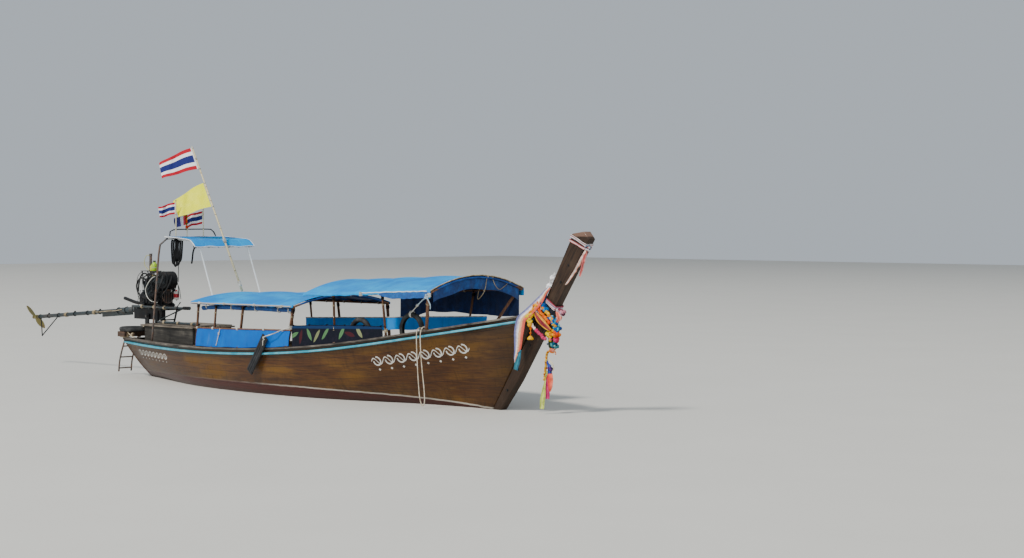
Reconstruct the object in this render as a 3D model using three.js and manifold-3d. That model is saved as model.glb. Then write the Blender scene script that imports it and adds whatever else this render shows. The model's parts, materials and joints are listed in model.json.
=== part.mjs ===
// Longtail boat, afloat, with its engine on a swivel at the stern.
// Millimetres. +X to the bow, +Y to port, +Z up.
// The origin is amidships, on the centreline, at the waterline.

import * as THREE from 'three';
import { mergeVertices } from 'three/addons/utils/BufferGeometryUtils.js';
import Module from 'manifold-3d';

const wasm = await Module();
wasm.setup();

const { Vector3 } = THREE;
const DEG = Math.PI / 180;

// Driving dimensions of the hull
const SHEER_AFT = -4900;
const SHEER_FORE = 5120;
const KEEL_AFT = -4370;
const KEEL_FORE = 4050;
const KEEL_HALF_WIDTH = 70;
const KEEL_DEPTH = 60;
const PLANK = 30;
const CAP_THICKNESS = 30;
const CAP_INBOARD = 62;
const CAP_OUTBOARD = 26;
const RAIL_DROP = 90;
const RAIL_HALF_HEIGHT = 22;
const RAIL_PROUD = 45;
const RAIL_ROOT = 15;
const GIRTH_STEPS = 8;
const HULL_SLICES = 20;
const GAP = 1;

// Heights of the floor, the benches and what stands on them
const FLOOR_TOP = -50;
const FLOOR_THICKNESS = 20;
const RISER_TOP = 300;
const RISER_DEPTH = 50;
const BENCH_THICKNESS = 34;
const DECK_TOP = RISER_TOP + GAP + BENCH_THICKNESS;
const RIB_REACH = 76;

// Rows of a table as objects whose fields are the named columns
const table = (columns, rows) => rows.map((values) => (
  Object.fromEntries(columns.map((name, i) => [name, values[i]]))
));

// Hull stations from aft to forward
const HULL_STATIONS = table(['x', 'halfBeam', 'sheer', 'keel', 'fullness'], [
  [-5300, 450, 716, -130, 0.4],
  [-4900, 545, 707, -150, 0.45],
  [-3900, 765, 689, -210, 0.65],
  [-2600, 975, 682, -290, 0.9],
  [-1200, 1075, 702, -330, 1.0],
  [200, 1085, 766, -335, 1.0],
  [1500, 1005, 880, -325, 0.9],
  [2500, 880, 1014, -300, 0.68],
  [3400, 690, 1156, -260, 0.45],
  [4100, 500, 1268, -235, 0.3],
  [4700, 275, 1372, -215, 0.15],
  [SHEER_FORE, KEEL_HALF_WIDTH, 1450, -200, 0],
]);

const hullTable = new THREE.CubicInterpolant(
  HULL_STATIONS.map(({ x }) => x),
  HULL_STATIONS.flatMap(({ halfBeam, sheer, keel, fullness }) => [halfBeam, sheer, keel, fullness]),
  4,
);

function station(x) {
  const [halfBeam, sheer, keel, fullness] = hullTable.evaluate(x);
  return { halfBeam, sheer, keel, fullness };
}

const mix = (a, b, t) => a + (b - a) * t;

const capTop = (x) => station(x).sheer;
const plankTop = (x) => station(x).sheer - CAP_THICKNESS;

// A point of the hull's outer skin: the station at sheer position x, and u from keel to plank top
function skinPoint(x, u) {
  const { halfBeam, keel, fullness } = station(x);
  const top = plankTop(x);
  const height = top - keel;
  const span = halfBeam - KEEL_HALF_WIDTH;
  const y = [
    KEEL_HALF_WIDTH,
    KEEL_HALF_WIDTH + fullness * 0.75 * span,
    KEEL_HALF_WIDTH + mix(0.45, 0.97, fullness) * span,
    halfBeam,
  ];
  const z = [
    keel,
    keel + (1 - fullness) * 0.3 * height + 20,
    keel + mix(0.55, 0.25, fullness) * height,
    top,
  ];
  const v = 1 - u;
  const weights = [v * v * v, 3 * v * v * u, 3 * v * u * u, u * u * u];
  const py = weights.reduce((sum, w, i) => sum + w * y[i], 0);
  const pz = weights.reduce((sum, w, i) => sum + w * z[i], 0);
  const along = (x - SHEER_AFT) / (SHEER_FORE - SHEER_AFT);
  const keelX = mix(KEEL_AFT, KEEL_FORE, along);
  return new Vector3(keelX + ((x - keelX) * (pz - keel)) / (capTop(x) - keel), py, pz);
}

// The same point moved inwards by the inset, along the skin's normal
function insetPoint(x, u, inset) {
  const point = skinPoint(x, u);
  if (inset === 0) return point;
  const step = 0.01;
  const along = skinPoint(x + 20, u).sub(skinPoint(x - 20, u));
  const around = skinPoint(x, Math.min(1, u + step)).sub(skinPoint(x, Math.max(0, u - step)));
  const inward = around.cross(along).normalize();
  if (inward.y > 0) inward.negate();
  const bottom = point.z + inset * Math.max(inward.z, u < 0.02 ? 1 : 0);
  return new Vector3(point.x + inset * inward.x, Math.max(4, point.y + inset * inward.y), bottom);
}

// The skin at station x and height z
function skinAtHeight(x, z, inset = 0) {
  let low = 0;
  let high = 1;
  for (let i = 0; i < 30; i += 1) {
    const middle = (low + high) / 2;
    if (insetPoint(x, middle, inset).z < z) low = middle;
    else high = middle;
  }
  return insetPoint(x, high, inset);
}

// Geometry helpers

function faceOutwards(geometry) {
  const plain = new THREE.BufferGeometry();
  plain.setAttribute('position', geometry.getAttribute('position').clone());
  const count = geometry.getAttribute('position').count;
  plain.setIndex(geometry.index ? [...geometry.index.array] : [...Array(count).keys()]);
  const merged = mergeVertices(plain, 1e-3);
  const p = merged.getAttribute('position');
  const index = [...merged.index.array];
  const kept = [];
  let volume = 0;
  const [a, b, c] = [new Vector3(), new Vector3(), new Vector3()];
  for (let i = 0; i < index.length; i += 3) {
    const [ia, ib, ic] = index.slice(i, i + 3);
    if (ia === ib || ib === ic || ia === ic) continue;
    kept.push(ia, ib, ic);
    [a, b, c].forEach((corner, n) => corner.fromBufferAttribute(p, [ia, ib, ic][n]));
    volume += a.dot(b.cross(c));
  }
  if (volume < 0) {
    for (let i = 0; i < kept.length; i += 3) [kept[i + 1], kept[i + 2]] = [kept[i + 2], kept[i + 1]];
  }
  merged.setIndex(kept);
  return merged;
}

function toSolid(geometry) {
  const closed = faceOutwards(geometry);
  return new wasm.Manifold(new wasm.Mesh({
    numProp: 3,
    vertProperties: new Float32Array(closed.getAttribute('position').array),
    triVerts: new Uint32Array(closed.index.array),
  }));
}

function toGeometry(solid) {
  const mesh = solid.getMesh();
  const geometry = new THREE.BufferGeometry();
  const positions = [];
  for (let i = 0; i < mesh.vertProperties.length; i += mesh.numProp) {
    positions.push(...mesh.vertProperties.slice(i, i + 3));
  }
  geometry.setAttribute('position', new THREE.Float32BufferAttribute(positions, 3));
  geometry.setIndex([...mesh.triVerts]);
  return geometry;
}

const join = (geometries) => geometries.map(toSolid).reduce((sum, next) => sum.add(next));
const fused = (...geometries) => toGeometry(join(geometries));

// A closed body through rings of points that all have the same count
function loft(rings) {
  const count = rings[0].length;
  const positions = rings.flat().flatMap((p) => [p.x, p.y, p.z]);
  const index = [];
  for (let r = 0; r + 1 < rings.length; r += 1) {
    for (let i = 0; i < count; i += 1) {
      const j = (i + 1) % count;
      const [a, b, c, d] = [r * count + i, r * count + j, (r + 1) * count + j, (r + 1) * count + i];
      index.push(a, b, c, a, c, d);
    }
  }
  for (const [r, flip] of [[0, true], [rings.length - 1, false]]) {
    for (const [a, b, c] of capFaces(rings[r])) {
      const face = [a, b, c].map((i) => r * count + i);
      index.push(...(flip ? face.reverse() : face));
    }
  }
  const geometry = new THREE.BufferGeometry();
  geometry.setAttribute('position', new THREE.Float32BufferAttribute(positions, 3));
  geometry.setIndex(index);
  return faceOutwards(geometry);
}

// Triangles across a ring, wound the way the ring runs
function capFaces(ring) {
  const normal = new Vector3();
  ring.forEach((p, i) => normal.add(p.clone().cross(ring[(i + 1) % ring.length])));
  const size = normal.toArray().map(Math.abs);
  const drop = size.indexOf(Math.max(...size));
  const keep = [0, 1, 2].filter((axis) => axis !== drop);
  const flat = ring.map((p) => new THREE.Vector2(p.getComponent(keep[0]), p.getComponent(keep[1])));
  const clockwise = THREE.ShapeUtils.isClockWise(flat);
  const faces = THREE.ShapeUtils.triangulateShape(flat, []);
  return faces.map((face) => {
    const [a, b, c] = face.map((i) => flat[i]);
    const turn = (b.x - a.x) * (c.y - a.y) - (b.y - a.y) * (c.x - a.x);
    return turn > 0 === !clockwise ? face : [...face].reverse();
  });
}

function block(x0, x1, y0, y1, z0, z1) {
  const geometry = new THREE.BoxGeometry(x1 - x0, y1 - y0, z1 - z0);
  return geometry.translate((x0 + x1) / 2, (y0 + y1) / 2, (z0 + z1) / 2);
}

// A round bar between two points
function rod(from, to, radius, sides = 10, endRadius = radius) {
  const axis = to.clone().sub(from);
  const geometry = new THREE.CylinderGeometry(endRadius, radius, axis.length(), sides);
  geometry.translate(0, axis.length() / 2, 0);
  const turn = new THREE.Quaternion().setFromUnitVectors(new Vector3(0, 1, 0), axis.normalize());
  geometry.applyQuaternion(turn);
  return geometry.translate(from.x, from.y, from.z);
}

// A round bar across the boat
function across(x, z, halfLength, radius, sides) {
  return rod(point(x, -halfLength, z), point(x, halfLength, z), radius, sides);
}

function circleShape(radius, sides) {
  const points = Array.from({ length: sides }, (_, i) => {
    const angle = (i / sides) * 2 * Math.PI;
    return new THREE.Vector2(radius * Math.cos(angle), radius * Math.sin(angle));
  });
  return new THREE.Shape(points);
}

// A tube through points, bent as one smooth curve
function tube(points, radius, steps, sides = 8, tension = 0.5) {
  const path = new THREE.CatmullRomCurve3(points, false, 'catmullrom', tension);
  const settings = { steps, extrudePath: path, bevelEnabled: false };
  return new THREE.ExtrudeGeometry(circleShape(radius, sides), settings);
}

// A plank: a side outline of [x, z] corners, as thick as y0 to y1
function sideplate(outline, y0, y1) {
  const shape = new THREE.Shape(outline.map(([x, z]) => new THREE.Vector2(x, z)));
  const geometry = new THREE.ExtrudeGeometry(shape, { depth: y1 - y0, bevelEnabled: false });
  return geometry.rotateX(Math.PI / 2).translate(0, y1, 0);
}

function point(x, y, z) {
  return new Vector3(x, y, z);
}

const group = new THREE.Group();
group.name = 'longtail_boat';

const FINISHES = {
  varnished_wood: { color: 0x6b3f22, roughness: 0.45, metalness: 0 },
  bare_wood: { color: 0x8a6f52, roughness: 0.8, metalness: 0 },
  dark_wood: { color: 0x3f2a1e, roughness: 0.7, metalness: 0 },
  rail_paint: { color: 0x39a9b4, roughness: 0.5, metalness: 0 },
  grey_wood: { color: 0x7d746a, roughness: 0.85, metalness: 0 },
  post_wood: { color: 0x9a6b45, roughness: 0.75, metalness: 0 },
  tarpaulin: { color: 0x1f7fd0, roughness: 0.6, metalness: 0 },
  navy_cloth: { color: 0x142a66, roughness: 0.8, metalness: 0 },
  engine_black: { color: 0x17181a, roughness: 0.55, metalness: 0.6 },
  rusty_steel: { color: 0x5a3a2a, roughness: 0.75, metalness: 0.5 },
  white_steel: { color: 0xd9dcd8, roughness: 0.4, metalness: 0.2 },
  brass: { color: 0x9c8a4e, roughness: 0.45, metalness: 0.9 },
  tyre_rubber: { color: 0x1c1c1c, roughness: 0.85, metalness: 0 },
  rope_fibre: { color: 0xc2ab86, roughness: 0.9, metalness: 0 },
  flag_cloth: { color: 0xe4e2dc, roughness: 0.8, metalness: 0 },
  yellow_cloth: { color: 0xe6d24e, roughness: 0.8, metalness: 0 },
  ribbon_cloth: { color: 0xe08a3c, roughness: 0.7, metalness: 0 },
  bamboo: { color: 0xb59a63, roughness: 0.6, metalness: 0 },
};

function add(name, geometry, finish, parent = group) {
  const closed = faceOutwards(geometry);
  closed.computeVertexNormals();
  const material = new THREE.MeshStandardMaterial({ ...FINISHES[finish], name: finish });
  const mesh = new THREE.Mesh(closed, material);
  mesh.name = name;
  parent.add(mesh);
}

// Hull

// Stations where every solid of the hull has its sections, so that nested skins stay parallel
const SLICE_PLACES = Array.from(
  { length: HULL_SLICES + 1 },
  (_, i) => mix(SHEER_AFT, SHEER_FORE, i / HULL_SLICES),
);
const EXTENDED_AFT = -5300;
const OVERHEAD = 200;

// The closed space inside the skin moved in by the inset, reaching above the plank tops by the rise
function skinSolid(inset, places, rise) {
  return toSolid(loft(places.map((x) => {
    const side = [];
    for (let g = 0; g <= GIRTH_STEPS; g += 1) side.push(insetPoint(x, g / GIRTH_STEPS, inset));
    const top = side[GIRTH_STEPS];
    if (rise > 0) side.push(point(top.x, top.y, plankTop(x) + rise));
    const mirrored = side.map((p) => point(p.x, -p.y, p.z)).reverse();
    return [...mirrored, ...side];
  })));
}

// Everything lower than the plank tops less the drop
function underSheer(drop) {
  const [half, floor] = [1400, -700];
  return toSolid(loft([EXTENDED_AFT - 200, ...SLICE_PLACES].map((x) => {
    const height = plankTop(Math.max(x, EXTENDED_AFT)) - drop;
    return [point(x, -half, floor), point(x, half, floor), point(x, half, height), point(x, -half, height)];
  })));
}

const INNER_PLACES = [EXTENDED_AFT, ...SLICE_PLACES.slice(0, -1)];
const insideOf = (inset) => skinSolid(inset, INNER_PLACES, OVERHEAD);

const outerHull = skinSolid(0, SLICE_PLACES, 0);
const innerHull = insideOf(PLANK);
add('hull_shell', toGeometry(outerHull.subtract(innerHull)), 'varnished_wood');

const TRANSOM_THICKNESS = 42;
const aftPoints = [];
for (let g = GIRTH_STEPS; g >= 0; g -= 1) {
  const p = skinPoint(SHEER_AFT, g / GIRTH_STEPS);
  aftPoints.push(point(p.x, -p.y, p.z));
}
for (let g = 0; g <= GIRTH_STEPS; g += 1) aftPoints.push(skinPoint(SHEER_AFT, g / GIRTH_STEPS));
const shifted = (ring, dx) => ring.map((p) => point(p.x + dx, p.y, p.z));
add('transom', loft([
  shifted(aftPoints, -GAP - TRANSOM_THICKNESS),
  shifted(aftPoints, -GAP),
]), 'varnished_wood');

function keelRing(x, drop, halfWidth) {
  const p = skinPoint(x, 0);
  return [
    point(p.x, -halfWidth, p.z - GAP),
    point(p.x, halfWidth, p.z - GAP),
    point(p.x, halfWidth, p.z - GAP - drop),
    point(p.x, -halfWidth, p.z - GAP - drop),
  ];
}
const keelRings = [];
for (let i = 0; i <= HULL_SLICES; i += 1) {
  keelRings.push(keelRing(mix(SHEER_AFT, SHEER_FORE, i / HULL_SLICES), KEEL_DEPTH, KEEL_HALF_WIDTH - 4));
}
add('keel', loft(keelRings), 'dark_wood');

// Stem: aft face from the foot up along the hull's end, the free post, its cut top and its front face
const STEM_OUTLINE = [
  [4052, -262],
  [4052, -205],
  [5128, 1396],
  [5372, 1800],
  [5782, 2510],
  [5812, 2588],
  [6045, 2618],
  [6140, 2510],
  [6060, 2390],
  [5520, 1600],
  [5100, 1010],
  [4710, 440],
  [4350, 0],
  [4190, -250],
];
const STEM_HALF_THICKNESS = 68;
const stemBoard = sideplate(STEM_OUTLINE, -STEM_HALF_THICKNESS, STEM_HALF_THICKNESS);
add('stem_post', stemBoard.translate(GAP + 2, 0, 0), 'dark_wood');

// Ribs and floor timbers, joined by the keelson, the risers below the benches and the inwales
const RIB_WIDTH = 45;
const RIB_PLACES = [-4150, -3400, -2650, -1900, -1150, -400, 350, 1100, 1850, 2600];
const FRAME_FORE = 3200;
const STRINGER_INSET = RIB_REACH - 14;
const STRINGER_DEPTH = 52;
const INWALE_DROP = 24;
const INWALE_HEIGHT = 48;
const STRINGER_PLACES = INNER_PLACES.filter((x) => x > -4550 && x < FRAME_FORE + 100);

function stringer(side, topAt, height) {
  return loft(STRINGER_PLACES.map((x) => {
    const high = skinAtHeight(x, topAt(x), STRINGER_INSET);
    const low = skinAtHeight(x, topAt(x) - height, STRINGER_INSET);
    return [
      point(low.x, side * low.y, low.z),
      point(high.x, side * high.y, high.z),
      point(high.x, side * (high.y - STRINGER_DEPTH), high.z),
      point(low.x, side * (low.y - STRINGER_DEPTH), low.z),
    ];
  }));
}

const slab = (x0, x1, z0, z1) => toSolid(block(x0, x1, -1300, 1300, z0, z1));
const liningOuter = insideOf(PLANK + GAP)
  .intersect(underSheer(14))
  .intersect(slab(-4700, FRAME_FORE, -500, 1500));
const floorUnder = FLOOR_TOP - FLOOR_THICKNESS - GAP;
const ribSlabs = RIB_PLACES
  .map((x) => block(x, x + RIB_WIDTH, -1300, 1300, -500, 1500))
  .map(toSolid)
  .reduce((sum, next) => sum.add(next));
const ribSpace = insideOf(RIB_REACH).subtract(slab(-5000, 5000, -600, floorUnder));
const keelson = liningOuter.intersect(toSolid(block(-4150, FRAME_FORE, -60, 60, -500, floorUnder)));
const stringers = [-1, 1].flatMap((side) => [
  stringer(side, () => RISER_TOP, RISER_DEPTH),
  stringer(side, (x) => plankTop(x) - INWALE_DROP, INWALE_HEIGHT),
]);
const framework = liningOuter.intersect(ribSlabs).subtract(ribSpace).add(keelson).add(join(stringers));
add('ribs_and_stringers', toGeometry(framework), 'bare_wood');

// Rails: the cap along the plank tops and the painted rub rail below it
const RAIL_PLACES = [SHEER_AFT + 8, ...SLICE_PLACES.slice(1, -1), SHEER_FORE - 8];
function railRings(side, makeRing) {
  return RAIL_PLACES.map((x) => makeRing(x).map((p) => point(p.x, side * p.y, p.z)));
}

function planNormal(x) {
  const step = skinPoint(Math.min(x + 20, SHEER_FORE), 1).sub(skinPoint(x - 20, 1));
  return new Vector3(-step.y, step.x, 0).normalize();
}

function capRing(x, rise = 0, depth = 0) {
  const edge = skinPoint(x, 1);
  const normal = planNormal(x);
  const base = plankTop(x) + GAP - depth;
  const inboard = edge.clone().addScaledVector(normal, -CAP_INBOARD);
  const outboard = edge.clone().addScaledVector(normal, CAP_OUTBOARD);
  inboard.y = Math.max(inboard.y, 3);
  return [
    point(inboard.x, inboard.y, base),
    point(outboard.x, outboard.y, base),
    point(outboard.x, outboard.y, capTop(x) + rise),
    point(inboard.x, inboard.y, capTop(x) + rise),
  ];
}

// What stands on a cap rail is cut by this, so that its foot follows the rail's slope
const capSeat = [-1, 1]
  .map((side) => toSolid(loft(railRings(side, (x) => capRing(x, GAP, 60)))))
  .reduce((sum, next) => sum.add(next));

// The rail's section starts inside the skin, because the skin is cut out of the rail afterwards
function rubRing(x) {
  const middle = capTop(x) - RAIL_DROP;
  const normal = planNormal(x);
  const low = skinAtHeight(x, middle - RAIL_HALF_HEIGHT);
  const high = skinAtHeight(x, middle + RAIL_HALF_HEIGHT);
  const face = low.clone().lerp(high, 0.5).addScaledVector(normal, RAIL_PROUD);
  return [
    low.addScaledVector(normal, -RAIL_ROOT),
    point(face.x, face.y, middle - RAIL_HALF_HEIGHT * 0.55),
    point(face.x, face.y, middle + RAIL_HALF_HEIGHT * 0.55),
    high.addScaledVector(normal, -RAIL_ROOT),
  ];
}

const hullSkin = skinSolid(-GAP, [...SLICE_PLACES.slice(0, -1), SHEER_FORE + 20], 0);
for (const [name, side] of [['starboard', -1], ['port', 1]]) {
  add(`cap_rail_${name}`, loft(railRings(side, capRing)), 'grey_wood');
  const rubRail = toSolid(loft(railRings(side, rubRing)));
  add(`rub_rail_${name}`, toGeometry(rubRail.subtract(hullSkin)), 'rail_paint');
}

// Decks, floor and benches, each trimmed to the hull's inside
const BOARD_INSET = RIB_REACH + 4;
const FLOOR_RANGE = [-2150, 2900];
const boardSpace = insideOf(BOARD_INSET);
const trimmed = (space, x0, x1, z0, z1) => toGeometry(space.intersect(slab(x0, x1, z0, z1)));
const floorBase = FLOOR_TOP - FLOOR_THICKNESS;
add('floor_boards', trimmed(boardSpace, ...FLOOR_RANGE, floorBase, FLOOR_TOP), 'grey_wood');

const AFT_DECK_RANGE = [-4560, -2200];
add('aft_deck', trimmed(boardSpace, ...AFT_DECK_RANGE, RISER_TOP + GAP, DECK_TOP), 'grey_wood');

const BENCH_DEPTH = 260;
const BENCH_PLACES = [-1450, -350, 750, 1850];
BENCH_PLACES.forEach((x, i) => {
  add(`bench_${i + 1}`, trimmed(boardSpace, x, x + BENCH_DEPTH, RISER_TOP + GAP, DECK_TOP), 'grey_wood');
});

const FOREDECK_AFT = 3450;
const foredeck = insideOf(PLANK + 6)
  .intersect(underSheer(60))
  .subtract(underSheer(86))
  .intersect(slab(FOREDECK_AFT, 4450, 0, 1600));
add('foredeck', toGeometry(foredeck), 'grey_wood');

// Box of planks on the aft deck with a weathered board on top
const BOX = { x0: -4420, x1: -2950, halfWidth: 410, wall: 26, top: 912 };
const BOX_BASE = DECK_TOP + GAP;
const boxOutside = toSolid(block(BOX.x0, BOX.x1, -BOX.halfWidth, BOX.halfWidth, BOX_BASE, BOX.top));
const boxInside = toSolid(block(
  BOX.x0 + BOX.wall,
  BOX.x1 - BOX.wall,
  -BOX.halfWidth + BOX.wall,
  BOX.halfWidth - BOX.wall,
  BOX_BASE - 10,
  BOX.top + 10,
));
add('stern_box', toGeometry(boxOutside.subtract(boxInside)), 'dark_wood');
const BOX_TOP = BOX.top + GAP + 28;
add('stern_box_top', block(-4500, -2900, -450, 450, BOX.top + GAP, BOX_TOP), 'grey_wood');

// Beam across the stern that carries the engine's swivel
const PIVOT_X = -4800;
const BEAM = { x0: PIVOT_X - 110, x1: PIVOT_X + 110, halfWidth: 660, base: 714, top: 806 };
const sternBeam = block(BEAM.x0, BEAM.x1, -BEAM.halfWidth, BEAM.halfWidth, BEAM.base, BEAM.top);
add('stern_beam', sternBeam, 'dark_wood');
const SOCKET = { radius: 62, flange: 95, flangeTop: BEAM.top + 16, top: 896 };
add('swivel_socket', fused(
  rod(point(PIVOT_X, 0, BEAM.top + GAP), point(PIVOT_X, 0, SOCKET.flangeTop), SOCKET.flange, 20),
  rod(point(PIVOT_X, 0, BEAM.top + GAP), point(PIVOT_X, 0, SOCKET.top), SOCKET.radius, 20),
), 'engine_black');

// Boarding ladder hooked over the transom, with two bent rails and three rungs
const LADDER_Y = [-430, -170];
const LADDER_RAIL = [
  [-4926, 694],
  [-4985, 700],
  [-5040, 610],
  [-5130, 430],
  [-5200, 250],
  [-5230, 60],
];
const LADDER_RUNGS = [[-5082, 520], [-5172, 320], [-5220, 120]];
add('boarding_ladder', fused(
  ...LADDER_Y.map((y) => tube(LADDER_RAIL.map(([x, z]) => point(x, y, z)), 15, 9, 8)),
  ...LADDER_RUNGS.map(([x, z]) => rod(point(x, LADDER_Y[0] - 4, z), point(x, LADDER_Y[1] + 4, z), 12, 8)),
), 'rusty_steel');

// Awning frames: posts on the cap rails, eave rails and arched hoops

const AWNING_COLUMNS = ['x', 'halfWidth', 'eave', 'crown'];
const REAR_AWNING = table(AWNING_COLUMNS, [
  [-2130, 985, 1425, 1555],
  [-1200, 1000, 1435, 1585],
  [-300, 1000, 1440, 1595],
  [620, 985, 1445, 1600],
]);
// The fore awning ends ahead of the rear one, on rails that run aft from its posts
const FORE_AWNING = table(AWNING_COLUMNS, [
  [900, 985, 1640, 1838],
  [1600, 983, 1657, 1862],
  [2200, 978, 1684, 1892],
  [3050, 955, 1725, 1930],
  [3800, 930, 1755, 1960],
]);
const HOOP_RADIUS = 16;
const EAVE_INSET = 18;
const CLOTH = 10;
const OVERHANG = 22;
const ARCH_STEPS = 8;

// Height of an arched roof at a place across it: a parabola from eave to crown
const archHeight = ({ halfWidth, eave, crown }, y) => crown - (crown - eave) * (y / halfWidth) ** 2;

function hoop({ x, halfWidth, eave, crown }, drop) {
  const points = [];
  for (let i = 0; i <= ARCH_STEPS; i += 1) {
    const y = mix(-halfWidth + EAVE_INSET, halfWidth - EAVE_INSET, i / ARCH_STEPS);
    points.push(point(x, y, archHeight({ halfWidth, eave, crown }, y) - drop));
  }
  return tube(points, HOOP_RADIUS, ARCH_STEPS, 6);
}

// A cloth over the hoops, with a skirt that hangs down from each eave
function awningSheet(rows, skirtAt) {
  return loft(rows.map(({ x, halfWidth, eave, crown }) => {
    const edge = halfWidth + OVERHANG;
    const skirt = eave - skirtAt(x);
    const outer = [point(x, -edge, skirt)];
    const inner = [point(x, -edge + CLOTH, skirt)];
    for (let i = 0; i <= ARCH_STEPS; i += 1) {
      const y = mix(-edge, edge, i / ARCH_STEPS);
      const z = archHeight({ halfWidth, eave, crown }, y);
      outer.push(point(x, y, z + CLOTH));
      inner.push(point(x, y * (1 - CLOTH / halfWidth), z));
    }
    outer.push(point(x, edge, skirt));
    inner.push(point(x, edge - CLOTH, skirt));
    return [...outer, ...inner.reverse()];
  }));
}

const POST_COLUMNS = ['footX', 'headX', 'headY', 'headZ', 'radius'];
const REAR_POSTS = table(POST_COLUMNS, [
  [-1980, -1970, 960, 1400, 20],
  [-1450, -1450, 975, 1405, 18],
  [-700, -705, 975, 1410, 22],
  [560, 600, 960, 1418, 26],
]);
const FORE_POSTS = table(POST_COLUMNS, [
  [1650, 1575, 945, 1636, 18],
  [2690, 2712, 935, 1690, 18],
  [3420, 3720, 905, 1722, 24],
]);

function postPair({ footX, headX, headY, headZ, radius }) {
  const foot = skinPoint(footX, 1);
  const rise = capTop(footX) - 20;
  return [-1, 1].map((side) => {
    const start = point(foot.x, side * (foot.y - 18), rise);
    return rod(start, point(headX, side * headY, headZ), radius, 8);
  });
}

function awningFrame(rows, posts, drop) {
  const pieces = posts.flatMap(postPair);
  for (const line of rows) pieces.push(hoop(line, drop));
  for (const side of [-1, 1]) {
    for (let i = 0; i + 1 < rows.length; i += 1) {
      const [a, b] = [rows[i], rows[i + 1]];
      pieces.push(rod(
        point(a.x - 4, side * (a.halfWidth - EAVE_INSET), a.eave - drop + 4),
        point(b.x + 4, side * (b.halfWidth - EAVE_INSET), b.eave - drop + 4),
        HOOP_RADIUS,
        6,
      ));
    }
  }
  return toGeometry(join(pieces).subtract(capSeat));
}

const HOOP_DROP = HOOP_RADIUS + 12;
add('rear_awning_frame', awningFrame(REAR_AWNING, REAR_POSTS, HOOP_DROP), 'post_wood');
add('fore_awning_frame', awningFrame(FORE_AWNING, FORE_POSTS, HOOP_DROP), 'post_wood');
add('rear_awning', awningSheet(REAR_AWNING, () => 30), 'tarpaulin');
add('fore_awning', awningSheet(FORE_AWNING, (x) => (x < 2500 ? 30 : 115)), 'tarpaulin');

// Cloth at the sides: the starboard dodger above the rail, and rolled or hanging curtains
const DODGER = { x0: -1930, x1: 620, lift: 14, thickness: 12, footProud: 8, headProud: -28 };
const dodgerTop = (x) => mix(985, 1045, (x - DODGER.x0) / (DODGER.x1 - DODGER.x0));
add('side_dodger', loft([DODGER.x0, -1200, -400, DODGER.x1].map((x) => {
  const foot = station(x).halfBeam + DODGER.footProud;
  const head = station(x).halfBeam + DODGER.headProud;
  return [
    point(x, -foot - DODGER.thickness, capTop(x) + DODGER.lift),
    point(x, -foot, capTop(x) + DODGER.lift),
    point(x, -head, dodgerTop(x)),
    point(x, -head - DODGER.thickness, dodgerTop(x)),
  ];
})), 'tarpaulin');

const CURTAIN_ROLL = { x0: -1930, x1: 500, y: -900, z: 1356, radius: 42 };
add('rear_curtain_roll', rod(
  point(CURTAIN_ROLL.x0, CURTAIN_ROLL.y, CURTAIN_ROLL.z - 10),
  point(CURTAIN_ROLL.x1, CURTAIN_ROLL.y, CURTAIN_ROLL.z + 6),
  CURTAIN_ROLL.radius,
  10,
), 'navy_cloth');

// A cloth that hangs along the boat: a row is a place along it, with the foot's and the head's y and z
const CLOTH_COLUMNS = ['x', 'yFoot', 'foot', 'yHead', 'head'];
const SIDE_CLOTH = 8;
function hangingCloth(rows) {
  return loft(table(CLOTH_COLUMNS, rows).map(({ x, yFoot, foot, yHead, head }) => [
    point(x, yFoot, foot),
    point(x, yFoot + SIDE_CLOTH, foot),
    point(x, yHead + SIDE_CLOTH, head),
    point(x, yHead, head),
  ]));
}
add('port_curtain', hangingCloth([
  [906, 987, 1250, 987, 1616],
  [1600, 984, 1296, 984, 1633],
  [2200, 979, 1328, 979, 1662],
  [3050, 956, 1340, 956, 1703],
  [3720, 934, 1350, 934, 1728],
]), 'navy_cloth');
add('port_backrest', hangingCloth([
  [-1500, 915, 925, 915, 1116],
  [500, 915, 984, 915, 1188],
  [1600, 905, 1034, 905, 1236],
  [2560, 800, 1092, 805, 1276],
  [3300, 640, 1176, 655, 1310],
]), 'tarpaulin');

// A cloth that stands on the starboard rail, outside the posts
const RAIL_CLOTH = table(['x', 'headY', 'head'], [
  [690, 1062, 1133],
  [1200, 1026, 1158],
  [1630, 994, 1175],
  [2150, 940, 1184],
  [2640, 884, 1189],
]);
add('rail_cloth', hangingCloth(RAIL_CLOTH.map(({ x, headY, head }) => (
  [x, -station(x).halfBeam - 14, capTop(x) + 9, -headY, head]
))), 'navy_cloth');

// The band that hangs from the fore awning's front hoop
const VALANCE = { x0: 3772, x1: 3784, drop: 58, depth: 150, steps: 8 };
const frontArch = FORE_AWNING.at(-1);
const valanceEdge = (lift) => Array.from({ length: VALANCE.steps + 1 }, (_, i) => {
  const y = mix(-frontArch.halfWidth + 60, frontArch.halfWidth - 60, i / VALANCE.steps);
  return [y, archHeight(frontArch, y) - VALANCE.drop - lift];
});
const valanceOutline = [...valanceEdge(0), ...valanceEdge(VALANCE.depth).reverse()];
const valanceRing = (x) => valanceOutline.map(([y, z]) => point(x, y, z));
add('fore_curtain', loft([valanceRing(VALANCE.x0), valanceRing(VALANCE.x1)]), 'navy_cloth');

// Helm shelter: a steel post bent across as the aft bar, a front bar on two props, and a cloth roof

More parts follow.
